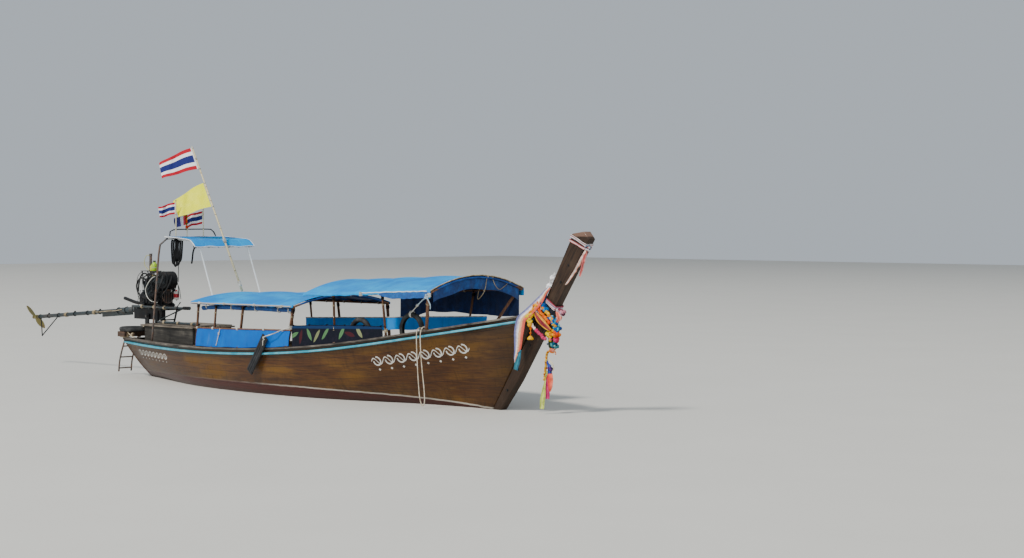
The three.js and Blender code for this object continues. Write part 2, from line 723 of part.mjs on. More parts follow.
const ROOF = { halfWidth: 620, aft: [-3470, 2500], fore: [-2700, 2452], lip: [-2560, 2335], cloth: 9 };
const ROOF_BAR = 17;
const SHELTER_POST = [
  [-3655, -765, 690],
  [-3600, -700, 1700],
  [-3560, -660, 2330],
  [-3480, -590, 2455],
  [-3450, -300, 2468],
  [-3450, 300, 2470],
  [-3450, 600, 2462],
];
const shelterPost = tube(SHELTER_POST.map((p) => point(...p)), ROOF_BAR, 18, 8, 0.35);
add('shelter_post', toGeometry(toSolid(shelterPost).subtract(capSeat)), 'rusty_steel');

// The props run down from the front bar to a bar that lies across the rear awning's end
const PROP = { y: 500, head: [-2600, 2330], foot: [-2225, 1500], radius: 13, barRadius: 16 };
const ROOF_EDGE = [[-3431, 2466], [-2711, 2426], [-2602, 2333]];
const ROOF_EDGE_Y = 567;
function shelterSide(side) {
  const edge = ROOF_EDGE.map(([x, z]) => point(x, side * ROOF_EDGE_Y, z));
  const [head, foot] = [PROP.head, PROP.foot].map(([x, z]) => point(x, side * PROP.y, z));
  return [rod(head, foot, PROP.radius, 8), rod(edge[2], edge[1], 11, 6), rod(edge[1], edge[0], 10, 6)];
}
add('shelter_front', fused(
  across(...PROP.head, ROOF.halfWidth - 20, PROP.barRadius, 10),
  across(...PROP.foot, PROP.y + 30, PROP.barRadius, 10),
  ...[-1, 1].flatMap(shelterSide),
), 'white_steel');

const roofSide = [ROOF.aft, ROOF.fore, ROOF.lip];
const roofUnder = roofSide.map(([x, z]) => [x, z - ROOF.cloth]).reverse();
add('shelter_roof', sideplate([...roofSide, ...roofUnder], -ROOF.halfWidth, ROOF.halfWidth), 'tarpaulin');
const ROOF_RAIL = [
  [-3400, -560, 2508],
  [-3400, -545, 2600],
  [-3400, -400, 2622],
  [-3400, 300, 2622],
  [-3400, 400, 2508],
];
add('roof_rail', tube(ROOF_RAIL.map((p) => point(...p)), 11, 14, 6, 0.2), 'engine_black');

// Flags, all blown towards the starboard quarter

const WIND = point(-0.695, -0.719, 0);
const FLAG_HALF_THICKNESS = 3.5;
const POLE = {
  foot: point(-2075, 0, 1580),
  head: point(-3530, 0, 4065),
  footRadius: 20,
  headRadius: 12,
};
add('flag_pole', rod(POLE.foot, POLE.head, POLE.footRadius, 8, POLE.headRadius), 'bamboo');
const onPole = (z) => POLE.foot.clone().lerp(POLE.head, (z - POLE.foot.z) / (POLE.head.z - POLE.foot.z));

// A flag as a plain sheet: two points of its hoist, how far it flies out and how far its fly end drops
function flagSheet(top, bottom, fly, drop, standOff) {
  const sideways = point(-WIND.y, WIND.x, 0).multiplyScalar(FLAG_HALF_THICKNESS);
  const near = [top, bottom].map((p) => p.clone().addScaledVector(WIND, standOff));
  const far = near.map((p, i) => p.clone().addScaledVector(WIND, fly[i]).add(point(0, 0, -drop[i])));
  const corners = [near[0], near[1], far[1], far[0]];
  const ring = (sign) => corners.map((p) => p.clone().addScaledVector(sideways, sign));
  return loft([ring(-1), ring(1)]);
}
add('striped_flag', flagSheet(onPole(4050), onPole(3670), [570, 640], [270, 175], 22), 'flag_cloth');
add('yellow_flag', flagSheet(onPole(3430), onPole(3010), [530, 570], [330, 190], 24), 'yellow_cloth');
const SMALL_FLAGS = table(['name', 'x', 'y', 'head', 'fly', 'height'], [
  ['small_flag_1', -3330, -480, 3110, 300, 200],
  ['small_flag_2', -3330, 90, 2960, 320, 220],
]);
for (const { name, x, y, head, fly, height } of SMALL_FLAGS) {
  const roofHere = mix(ROOF.aft[1], ROOF.fore[1], (x - ROOF.aft[0]) / (ROOF.fore[0] - ROOF.aft[0]));
  const stick = rod(point(x, y, roofHere + 3), point(x, y, head), 9, 6);
  const hoist = [head - 20, head - 20 - height].map((z) => point(x, y, z));
  const sheet = flagSheet(...hoist, [fly, fly * 0.9], [90, 70], 4);
  add(name, fused(stick, sheet), 'flag_cloth');
}

// Fenders: worn motorcycle tyres, and a black board hung outside the rails

const TYRE = { ring: 228, section: 40 };
const TYRE_PLACES = table(['name', 'x', 'y', 'z', 'upright'], [
  ['tyre_fender_fore', 3000, -598, 1140, true],
  ['tyre_fender_middle', 1980, -748, 1030, true],
  ['tyre_fender_stern', -4740, -415, BEAM.top + GAP + TYRE.section, false],
]);
for (const { name, x, y, z, upright } of TYRE_PLACES) {
  const tyre = new THREE.TorusGeometry(TYRE.ring, TYRE.section, 8, 20).rotateX(upright ? Math.PI / 2 : 0);
  add(name, tyre.translate(x, y, z), 'tyre_rubber');
}

const BOARD = { head: [120, 945], foot: [-300, 360], width: 150, y0: -1172, y1: -1144 };
const boardLean = Math.atan2(BOARD.head[0] - BOARD.foot[0], BOARD.head[1] - BOARD.foot[1]);
const boardAcross = [Math.cos(boardLean) * BOARD.width / 2, -Math.sin(boardLean) * BOARD.width / 2];
const boardCorners = [
  [BOARD.head[0] - boardAcross[0], BOARD.head[1] - boardAcross[1]],
  [BOARD.head[0] + boardAcross[0], BOARD.head[1] + boardAcross[1]],
  [BOARD.foot[0] + boardAcross[0], BOARD.foot[1] + boardAcross[1]],
  [BOARD.foot[0] - boardAcross[0], BOARD.foot[1] - boardAcross[1]],
];
add('fender_board', sideplate(boardCorners, BOARD.y0, BOARD.y1), 'engine_black');

// Mooring rope hung in a bight over the starboard cap rail at the bow

const ROPE_RADIUS = 7;
const ROPE_ROUTE = [
  [3286, -612, 1060],
  [3288, -618, 1120],
  [3292, -640, 1168],
  [3300, -700, 1186],
  [3310, -756, 1168],
  [3318, -786, 1100],
  [3330, -794, 900],
  [3346, -794, 640],
  [3366, -792, 380],
  [3392, -790, 170],
  [3432, -788, 64],
  [3474, -787, 60],
  [3496, -786, 140],
  [3480, -786, 330],
  [3446, -788, 560],
  [3416, -788, 820],
  [3396, -782, 1060],
  [3388, -758, 1162],
  [3384, -716, 1200],
  [3380, -640, 1194],
  [3376, -602, 1150],
  [3374, -594, 1080],
];
add('bow_rope', tube(ROPE_ROUTE.map((p) => point(...p)), ROPE_RADIUS, 78, 8), 'rope_fibre');

// Ribbons and garlands on the stem

// The stem's front and aft edges at a height
const edgeAt = (edge, z) => {
  const i = edge.findIndex(([, height]) => height >= z);
  const [[x0, z0], [x1, z1]] = [edge[i - 1], edge[i]];
  return mix(x0, x1, (z - z0) / (z1 - z0));
};
const STEM_FRONT = [[4350, 0], [4710, 440], [5100, 1010], [5520, 1600], [6060, 2390], [6140, 2510]];
const STEM_AFT = [[4052, -205], [5128, 1396], [5372, 1800], [5782, 2510], [5812, 2588]];

// The room that a collar leaves for the stem
const stemRoom = [-2, GAP + 2, GAP + 5].map((shift) => toSolid(sideplate(
  STEM_OUTLINE.map(([x, z]) => [x + shift, z]),
  -STEM_HALF_THICKNESS - GAP,
  STEM_HALF_THICKNESS + GAP,
))).reduce((sum, next) => sum.add(next));

// A collar round the stem, as high as z0 to z1 on its front edge and lying square to the stem
const COLLAR_RISE = 180;
function stemCollar(z0, z1, thickness) {
  const half = STEM_HALF_THICKNESS + GAP + thickness;
  const outline = [
    [edgeAt(STEM_FRONT, z0) + GAP + 2 + thickness, z0],
    [edgeAt(STEM_FRONT, z1) + GAP + 2 + thickness, z1],
    [edgeAt(STEM_AFT, z1 + COLLAR_RISE) - thickness, z1 + COLLAR_RISE],
    [edgeAt(STEM_AFT, z0 + COLLAR_RISE) - thickness, z0 + COLLAR_RISE],
  ];
  return toSolid(sideplate(outline, -half, half)).subtract(stemRoom);
}
add('stem_band', toGeometry(stemCollar(2290, 2350, 12)), 'flag_cloth');
const SASH = { base: 1410, top: 1560, thickness: 26 };
add('stem_sash', toGeometry(stemCollar(SASH.base, SASH.top, SASH.thickness)), 'ribbon_cloth');

// An upright bunch through rings of eight points: a row is a ring's middle, half sizes and height
const BUNCH_COLUMNS = ['x', 'y', 'halfLength', 'halfWidth', 'z'];
function bunch(rows) {
  return loft(table(BUNCH_COLUMNS, rows).map(({ x, y, halfLength, halfWidth, z }) => (
    circleShape(1, 8).getPoints().slice(0, 8).map((p) => point(x + p.x * halfLength, y + p.y * halfWidth, z))
  )));
}

// The garland hangs from the sash: a swag on the starboard face and a bunch of flowers in front of the stem
const SWAG_OUTLINE = [
  [5238, 1558],
  [5398, 1402],
  [5440, 1404],
  [5360, 1230],
  [5250, 1215],
  [5134, 1290],
  [5134, 1470],
];
const SWAG_FACE = -STEM_HALF_THICKNESS - GAP;
add('stem_garland', fused(
  sideplate(SWAG_OUTLINE, SWAG_FACE - 58, SWAG_FACE - 2),
  bunch([
    [5450, -30, 45, 90, SASH.base - 4],
    [5420, -30, 85, 100, 1300],
    [5380, -25, 92, 90, 1150],
    [5330, -10, 60, 55, 1000],
    [5302, 0, 34, 30, 925],
  ]),
), 'ribbon_cloth');
add('front_ribbon', bunch([
  [5300, 0, 20, 20, 925 - GAP],
  [5290, -15, 22, 20, 700],
  [5285, -35, 66, 26, 590],
  [5270, -48, 66, 26, 370],
  [5232, -66, 34, 20, 340],
  [5210, -80, 34, 16, 70],
]), 'ribbon_cloth');

// A long cloth tied behind the stem, led over the rail and hanging down the starboard side
const SIDE_RIBBON = table(['upperX', 'upperZ', 'lowerX', 'lowerZ', 'y'], [
  [5362, 1830, 5400, 1806, -84],
  [5318, 1772, 5362, 1742, -110],
  [5225, 1690, 5290, 1610, -114],
  [5030, 1505, 5110, 1440, -200],
  [4872, 1385, 5010, 1330, -246],
  [4838, 1180, 4975, 1180, -266],
  [4812, 760, 4900, 760, -268],
  [4806, 620, 4880, 620, -262],
]);
const RIBBON_DEPTH = 20;
add('side_ribbon', loft(SIDE_RIBBON.map(({ upperX, upperZ, lowerX, lowerZ, y }) => [
  point(upperX, y - RIBBON_DEPTH / 2, upperZ),
  point(upperX, y + RIBBON_DEPTH / 2, upperZ),
  point(lowerX, y + RIBBON_DEPTH / 2, lowerZ),
  point(lowerX, y - RIBBON_DEPTH / 2, lowerZ),
])), 'ribbon_cloth');

// Engine, its frame and tail, which tilt on the yoke, which swivels in the socket

const TILT_AXIS = point(PIVOT_X, 0, 1060);
const CHEEK = { inner: 96, outer: 114, halfLength: 58, top: 1104 };
const PIN_RADIUS = 15;
const PIN_HOLE = 17;
const yokeBase = SOCKET.top + 6;
const yokeFloor = yokeBase + 26;
const cheeks = [-1, 1].map((side) => block(
  PIVOT_X - CHEEK.halfLength,
  PIVOT_X + CHEEK.halfLength,
  Math.min(side * CHEEK.inner, side * CHEEK.outer),
  Math.max(side * CHEEK.inner, side * CHEEK.outer),
  yokeFloor - 6,
  CHEEK.top,
));
const yokeBody = join([
  rod(point(PIVOT_X, 0, yokeBase), point(PIVOT_X, 0, yokeFloor), CHEEK.outer + 10, 24),
  ...cheeks,
]).subtract(toSolid(across(PIVOT_X, TILT_AXIS.z, CHEEK.outer + 20, PIN_HOLE, 24)));

const swivel = new THREE.Group();
swivel.name = 'swivel';
group.add(swivel);
add('swivel_yoke', toGeometry(yokeBody), 'engine_black', swivel);

const power = new THREE.Group();
power.name = 'power_unit';
swivel.add(power);

// The shaft line runs down aft from above the pivot to the propeller
const HUB = point(-8840, 0, 900);
const SHAFT_START = point(-5300, 0, 1166);
const shaftDirection = HUB.clone().sub(SHAFT_START).normalize();
const shaftPoint = (x) => (
  SHAFT_START.clone().addScaledVector(shaftDirection, (x - SHAFT_START.x) / shaftDirection.x)
);

// Bed: two rails on ties, the bearing housing with the tilt pin, and two legs that rest on the box
const BED = { base: 1176, top: 1218, halfWidth: 200, bar: 40, x0: -5080, x1: -4180, tie: 60 };
const BED_TIES = [-5060, -4740, -4340];
const HOUSING = { x0: -5250, x1: -4500, halfWidth: 86, base: 1002 };
const LEG = { x: -4300, y: 130, foot: BOX_TOP + 6, radius: 17, lean: 20, braceRise: 60 };
function bedSide(side) {
  const [inner, outer] = [side * (BED.halfWidth - BED.bar), side * BED.halfWidth].sort((a, b) => a - b);
  const foot = point(LEG.x, side * LEG.y, LEG.foot);
  const head = point(LEG.x + LEG.lean, side * (BED.halfWidth - BED.bar / 2), BED.base + 10);
  return [block(BED.x0, BED.x1, inner, outer, BED.base, BED.top), rod(foot, head, LEG.radius)];
}
add('engine_bed', fused(
  ...[-1, 1].flatMap(bedSide),
  ...BED_TIES.map((x) => block(x, x + BED.tie, -BED.halfWidth, BED.halfWidth, BED.base, BED.top)),
  block(HOUSING.x0, HOUSING.x1, -HOUSING.halfWidth, HOUSING.halfWidth, HOUSING.base, BED.base + 4),
  across(PIVOT_X, TILT_AXIS.z, CHEEK.outer + 8, PIN_RADIUS, 16),
  across(LEG.x, LEG.foot + LEG.braceRise, LEG.y, 12, 10),
), 'engine_black', power);

// Tiller: a tube clamped along the bed's starboard rail, bent inwards to the grip, with a stay below it
const TILLER = { y: -234, z: 1238, radius: 20, grip: 27, clampFloor: 1196 };
const TILLER_LINE = [[-5080, TILLER.y], [-3960, TILLER.y], [-3640, -106], [-3520, -62]];
const TILLER_CLAMPS = [-4960, -4560, -4230];
const TILLER_STAY = { foot: point(-4286, -178, 1014), head: point(-3660, -114, TILLER.z - 8), radius: 12 };
const tillerRun = TILLER_LINE.map(([x, y]) => point(x, y, TILLER.z));
add('tiller', fused(
  rod(tillerRun[0], tillerRun[1], TILLER.radius, 10),
  new THREE.SphereGeometry(TILLER.radius + 1, 10, 6).translate(...tillerRun[1].toArray()),
  rod(tillerRun[1], tillerRun[2], TILLER.radius - 1, 10),
  rod(tillerRun[2], tillerRun[3], TILLER.grip, 12),
  rod(TILLER_STAY.foot, TILLER_STAY.head, TILLER_STAY.radius, 8),
  ...TILLER_CLAMPS.map((x) => (
    block(x, x + 46, TILLER.y - 6, -BED.halfWidth - GAP, TILLER.clampFloor, TILLER.z)
  )),
), 'rusty_steel', power);

// Engine: blocks from the sump up to the head, and what is bolted to them
const ENGINE = { aft: -4880, fore: -4370, crankZ: 1370, coverZ: 1700, coverRadius: 72 };
const ENGINE_LEVELS = table(['halfWidth', 'base', 'top', 'inset'], [
  [105, BED.top + GAP, 1290, 20],
  [150, 1280, 1500, 0],
  [122, 1490, 1640, 12],
  [98, 1630, 1704, 6],
]);
const ENGINE_FEET = [-4830, -4450];
const ENGINE_RIBS = [-4820, -4730, -4640, -4550, -4460];
const PULLEYS = table(['y', 'z', 'radius'], [[0, ENGINE.crankZ, 84], [0, 1492, 52], [-205, 1440, 34]]);
// What lies along the crank: starter, filter, injection pump, alternator, flywheel housing, its cover
const DRUMS = table(['y', 'z', 'x0', 'x1', 'radius', 'endRadius'], [
  [178, 1306, -4870, -4660, 46, 46],
  [170, 1420, -4600, -4440, 38, 38],
  [-172, 1400, -4800, -4590, 34, 34],
  [-205, 1440, -4520, -4372, 58, 58],
  [0, ENGINE.crankZ, -4986, -4876, 150, 160],
  [0, ENGINE.crankZ, -5046, -4980, 84, 108],
]);
const RUNNERS = [-4800, -4690, -4580, -4470];
const INTAKE = { y: -146, z: 1668, radius: 27 };
const SHELF = { x0: -5050, x1: -4600, halfWidth: 75, base: 1862, top: 1872 };
const alongX = ({ y, z, x0, x1, radius, endRadius }) => (
  rod(point(x0, y, z), point(x1, y, z), radius, 14, endRadius)
);
add('engine_block', fused(
  ...ENGINE_LEVELS.map(({ halfWidth, base, top, inset }) => (
    block(ENGINE.aft + inset, ENGINE.fore - inset, -halfWidth, halfWidth, base, top)
  )),
  ...ENGINE_FEET.map((x) => block(x, x + 70, -192, 192, BED.top + GAP, 1300)),
  ...ENGINE_RIBS.map((x) => block(x, x + 16, -160, 160, 1300, 1486)),
  ...DRUMS.map(alongX),
  block(-4510, -4440, -200, -140, 1420, 1456),
  alongX({
    y: 0,
    z: ENGINE.coverZ,
    x0: ENGINE.aft + 16,
    x1: ENGINE.fore - 24,
    radius: ENGINE.coverRadius,
    endRadius: ENGINE.coverRadius,
  }),
  ...PULLEYS.flatMap(({ y, z, radius }) => [
    rod(point(ENGINE.fore - 6, y, z), point(ENGINE.fore + 40, y, z), 17, 8),
    rod(point(ENGINE.fore + 18, y, z), point(ENGINE.fore + 42, y, z), radius, 16),
  ]),
  rod(point(-4830, INTAKE.y, INTAKE.z), point(-4440, INTAKE.y, INTAKE.z), INTAKE.radius, 10),
  ...RUNNERS.map((x) => rod(point(x, -90, INTAKE.z), point(x, INTAKE.y, INTAKE.z), 19, 8)),
  block(SHELF.x0, SHELF.x1, -SHELF.halfWidth, SHELF.halfWidth, SHELF.base, SHELF.top),
  ...[-60, 60].flatMap((y) => [
    rod(point(-4650, y, 1690), point(-4650, y, SHELF.top - 2), 9, 8),
    rod(point(-4930, y, 1480), point(-5025, y, SHELF.top - 2), 10, 8),
  ]),
), 'engine_black', power);

// Drum of the air cleaner, lying across the fore end of the rocker cover
const AIR_CLEANER = { x: -4300, z: 1715, radius: 150, halfLength: 112 };
const coverRoom = block(ENGINE.aft, ENGINE.fore + GAP, -200, 200, ENGINE.crankZ, 1774);
add('air_cleaner', toGeometry(
  toSolid(across(AIR_CLEANER.x, AIR_CLEANER.z, AIR_CLEANER.halfLength, AIR_CLEANER.radius, 20))
    .subtract(toSolid(coverRoom)),
), 'engine_black', power);

// Exhaust: a log on the port side of the head and a stack that rises from its aft end
const LOG = { y: 165, z: 1665, fore: -4430, aft: -4840, radius: 34 };
const STACK = { x: -5000, y: 108, top: 2165, radius: 26 };
add('exhaust_stack', fused(
  rod(point(LOG.fore, LOG.y, LOG.z), point(LOG.aft, LOG.y, LOG.z), LOG.radius, 12),
  ...RUNNERS.map((x) => rod(point(x, 98 + GAP, LOG.z), point(x, LOG.y, LOG.z), 22, 8)),
  tube([
    point(LOG.aft + 20, LOG.y, LOG.z),
    point(-4925, 150, 1700),
    point(-4985, 118, 1790),
    point(STACK.x, STACK.y, 1900),
    point(STACK.x, STACK.y, STACK.top),
  ], STACK.radius, 10, 10),
), 'rusty_steel', power);

// Cooling outlet pipe, led aft over the tail's sleeve
const OUTLET = [[-5054, 1300], [-5140, 1282], [-5325, 1290], [-5687, 1357]];
add('outlet_pipe', tube(OUTLET.map(([x, z]) => point(x, 0, z)), 30, 8, 10), 'engine_black', power);

const TAIL = { radius: 36, bore: 28, endX: HUB.x + 130 };
const tailShape = circleShape(TAIL.radius, 12);
tailShape.holes.push(new THREE.Path(circleShape(TAIL.bore, 12).getPoints()));
const tailLength = shaftPoint(-5256).distanceTo(shaftPoint(TAIL.endX));
const tailTube = new THREE.ExtrudeGeometry(tailShape, { depth: tailLength, bevelEnabled: false });
tailTube.applyQuaternion(new THREE.Quaternion().setFromUnitVectors(new Vector3(0, 0, 1), shaftDirection));
tailTube.translate(...shaftPoint(-5256).toArray());
// A flat bar under the tube stiffens its first stretch, and a sleeve thickens the engine end
const STIFFENER = { x0: -6440, x1: -5440, halfWidth: 13, depth: 96 };
const along = new THREE.Quaternion().setFromUnitVectors(new Vector3(-1, 0, 0), shaftDirection);
const stiffener = block(
  STIFFENER.x0 - STIFFENER.x1,
  0,
  -STIFFENER.halfWidth,
  STIFFENER.halfWidth,
  -STIFFENER.depth,
  -TAIL.radius + 4,
);
stiffener.applyQuaternion(along).translate(...shaftPoint(STIFFENER.x1).toArray());
const sleeveBody = toSolid(rod(shaftPoint(-5262), shaftPoint(-5900), TAIL.radius + 14, 14))
  .subtract(toSolid(rod(shaftPoint(-5200), shaftPoint(-5960), TAIL.radius - 3, 12)));
const tailBody = toSolid(tailTube).add(sleeveBody).add(toSolid(stiffener));
add('tail_tube', toGeometry(tailBody), 'engine_black', power);

// Skeg guard: a bent rod below the tail that keeps the propeller off the bottom
const SKEG = { root: -8010, low: point(-8600, 0, 548), end: -8640, radius: 11 };
const tailRoom = toSolid(rod(shaftPoint(-7600), shaftPoint(HUB.x + 20), TAIL.radius + 2, 16));
add('skeg_guard', toGeometry(join([
  rod(shaftPoint(SKEG.root).add(point(0, 0, -20)), SKEG.low, SKEG.radius, 8),
  rod(SKEG.low, shaftPoint(SKEG.end).add(point(0, 0, -20)), SKEG.radius, 8),
  new THREE.SphereGeometry(SKEG.radius * 1.25, 8, 6).translate(...SKEG.low.toArray()),
]).subtract(tailRoom)), 'engine_black', power);

const propellerHub = [
  [0, -70],
  [22, -62],
  [40, 0],
  [40, 70],
  [0, 70],
].map(([r, z]) => new THREE.Vector2(r, z));
const alongShaft = new THREE.Quaternion().setFromUnitVectors(new Vector3(0, 0, -1), shaftDirection);
const hubBody = new THREE.LatheGeometry(propellerHub, 14).rotateX(Math.PI / 2);
const BLADE = { length: 290, root: 60, width: 130, thickness: 12, pitch: 32 * DEG };
const bladeOutline = new THREE.Shape();
bladeOutline.moveTo(20, -BLADE.root / 2);
bladeOutline.quadraticCurveTo(BLADE.length * 0.6, -BLADE.width * 0.7, BLADE.length, -10);
bladeOutline.lineTo(BLADE.length, 10);
bladeOutline.quadraticCurveTo(BLADE.length * 0.6, BLADE.width * 0.7, 20, BLADE.root / 2);
const blades = [0, 180].map((turn) => {
  const shape = { depth: BLADE.thickness, bevelEnabled: false, curveSegments: 5 };
  const blade = new THREE.ExtrudeGeometry(bladeOutline, shape);
  blade.translate(0, 0, -BLADE.thickness / 2).rotateX(BLADE.pitch);
  return blade.rotateZ(turn * DEG);
});
const BLADE_REST = 40 * DEG;
const propellerBody = toGeometry(join([hubBody, ...blades]))
  .rotateZ(BLADE_REST)
  .applyQuaternion(alongShaft)
  .translate(...HUB.toArray());
add('propeller', propellerBody, 'brass', power);

export default group;
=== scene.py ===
"""Looks of the longtail boat: finishes, cloths, ropes, flags, garlands and engine fittings.

Metres. +X to the bow, +Y to port, +Z up, the waterline at z = 0.
"""

from __future__ import annotations

import json
import logging
import math
from dataclasses import dataclass
from enum import Enum
from typing import Any, Sequence, Union

import bmesh
import bpy
import numpy as np
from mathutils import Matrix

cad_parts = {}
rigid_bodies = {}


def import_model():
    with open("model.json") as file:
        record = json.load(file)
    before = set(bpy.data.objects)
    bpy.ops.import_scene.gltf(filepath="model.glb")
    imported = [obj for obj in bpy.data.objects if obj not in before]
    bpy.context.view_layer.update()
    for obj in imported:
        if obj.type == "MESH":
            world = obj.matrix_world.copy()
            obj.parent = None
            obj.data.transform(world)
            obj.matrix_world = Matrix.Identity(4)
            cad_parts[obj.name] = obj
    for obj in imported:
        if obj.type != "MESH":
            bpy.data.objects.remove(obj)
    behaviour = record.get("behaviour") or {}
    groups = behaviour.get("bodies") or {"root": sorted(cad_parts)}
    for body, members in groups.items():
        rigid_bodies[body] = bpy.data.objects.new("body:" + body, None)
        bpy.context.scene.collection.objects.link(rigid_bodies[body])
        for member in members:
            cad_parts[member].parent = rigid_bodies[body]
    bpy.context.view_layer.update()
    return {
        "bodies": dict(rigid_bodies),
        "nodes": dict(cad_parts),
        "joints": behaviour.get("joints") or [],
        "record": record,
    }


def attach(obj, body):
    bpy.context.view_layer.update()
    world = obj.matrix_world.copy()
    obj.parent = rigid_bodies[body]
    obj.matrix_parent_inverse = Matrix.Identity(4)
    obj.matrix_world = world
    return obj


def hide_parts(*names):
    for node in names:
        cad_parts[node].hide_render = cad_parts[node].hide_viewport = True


LOG = logging.getLogger("longtail_boat")
Colour = tuple[float, float, float, float]
Array = np.ndarray

# Directions in the boat's frame
FORE, AFT = (1, 0, 0), (-1, 0, 0)
PORT, STARBOARD = (0, 1, 0), (0, -1, 0)
UP = (0, 0, 1)


def tone(code: str) -> Colour:
    """A hex colour as linear light: ((c + 0.055) / 1.055) to the power 2.4 above the dark toe.

    Args:
        code: Six hex digits, red, green and blue.

    Returns:
        Red, green, blue and an alpha of one.
    """
    parts = [int(code[i : i + 2], 16) / 255 for i in (0, 2, 4)]
    light = [c / 12.92 if c <= 0.04045 else ((c + 0.055) / 1.055) ** 2.4 for c in parts]
    return (light[0], light[1], light[2], 1.0)


# Materials


class Value:
    """An output socket of a material's tree, which can be used in sums."""

    def __init__(self, graph: "Graph", socket: bpy.types.NodeSocket) -> None:
        """Keeps the socket and the tree that it belongs to."""
        self.graph = graph
        self.socket = socket

    def _sum(self, operation: str, *terms: "Term", clamp: bool = False) -> "Value":
        """One Math node over the terms."""
        settings = {"operation": operation, "use_clamp": clamp}
        return self.graph.value("ShaderNodeMath", settings, dict(enumerate(terms)))

    def __add__(self, other: "Term") -> "Value":
        """Sum."""
        return self._sum("ADD", self, other)

    __radd__ = __add__

    def __sub__(self, other: "Term") -> "Value":
        """Difference."""
        return self._sum("SUBTRACT", self, other)

    def __rsub__(self, other: "Term") -> "Value":
        """Difference from a number."""
        return self._sum("SUBTRACT", other, self)

    def __mul__(self, other: "Term") -> "Value":
        """Product."""
        return self._sum("MULTIPLY", self, other)

    __rmul__ = __mul__

    def __truediv__(self, other: "Term") -> "Value":
        """Quotient."""
        return self._sum("DIVIDE", self, other)

    def __rtruediv__(self, other: "Term") -> "Value":
        """Quotient of a number."""
        return self._sum("DIVIDE", other, self)

    def __abs__(self) -> "Value":
        """Size without its sign."""
        return self._sum("ABSOLUTE", self)

    def wrapped(self) -> "Value":
        """What is left above the next lower whole number."""
        return self._sum("FRACT", self)

    def whole(self) -> "Value":
        """The next lower whole number."""
        return self._sum("FLOOR", self)

    def sine(self) -> "Value":
        """Sine of an angle in radians."""
        return self._sum("SINE", self)

    def root(self) -> "Value":
        """Square root."""
        return self._sum("SQRT", self)

    def least(self, other: "Term") -> "Value":
        """The smaller of two."""
        return self._sum("MINIMUM", self, other)

    def most(self, other: "Term") -> "Value":
        """The larger of two."""
        return self._sum("MAXIMUM", self, other)

    def clipped(self) -> "Value":
        """Kept between 0 and 1."""
        return self._sum("ADD", self, 0.0, clamp=True)

    def rise(self, low: float, high: float) -> "Value":
        """A smooth step.

        Args:
            low: Where the step is still 0.
            high: Where it has reached 1; below low, the step falls instead.

        Returns:
            The step.
        """
        ends = (1.0, 0.0) if low > high else (0.0, 1.0)
        spots = {"Value": self, "From Min": min(low, high), "From Max": max(low, high)}
        spots.update({"To Min": ends[0], "To Max": ends[1]})
        return self.graph.value("ShaderNodeMapRange", {"interpolation_type": "SMOOTHSTEP"}, spots)


Term = Union[Value, float, Sequence[float]]


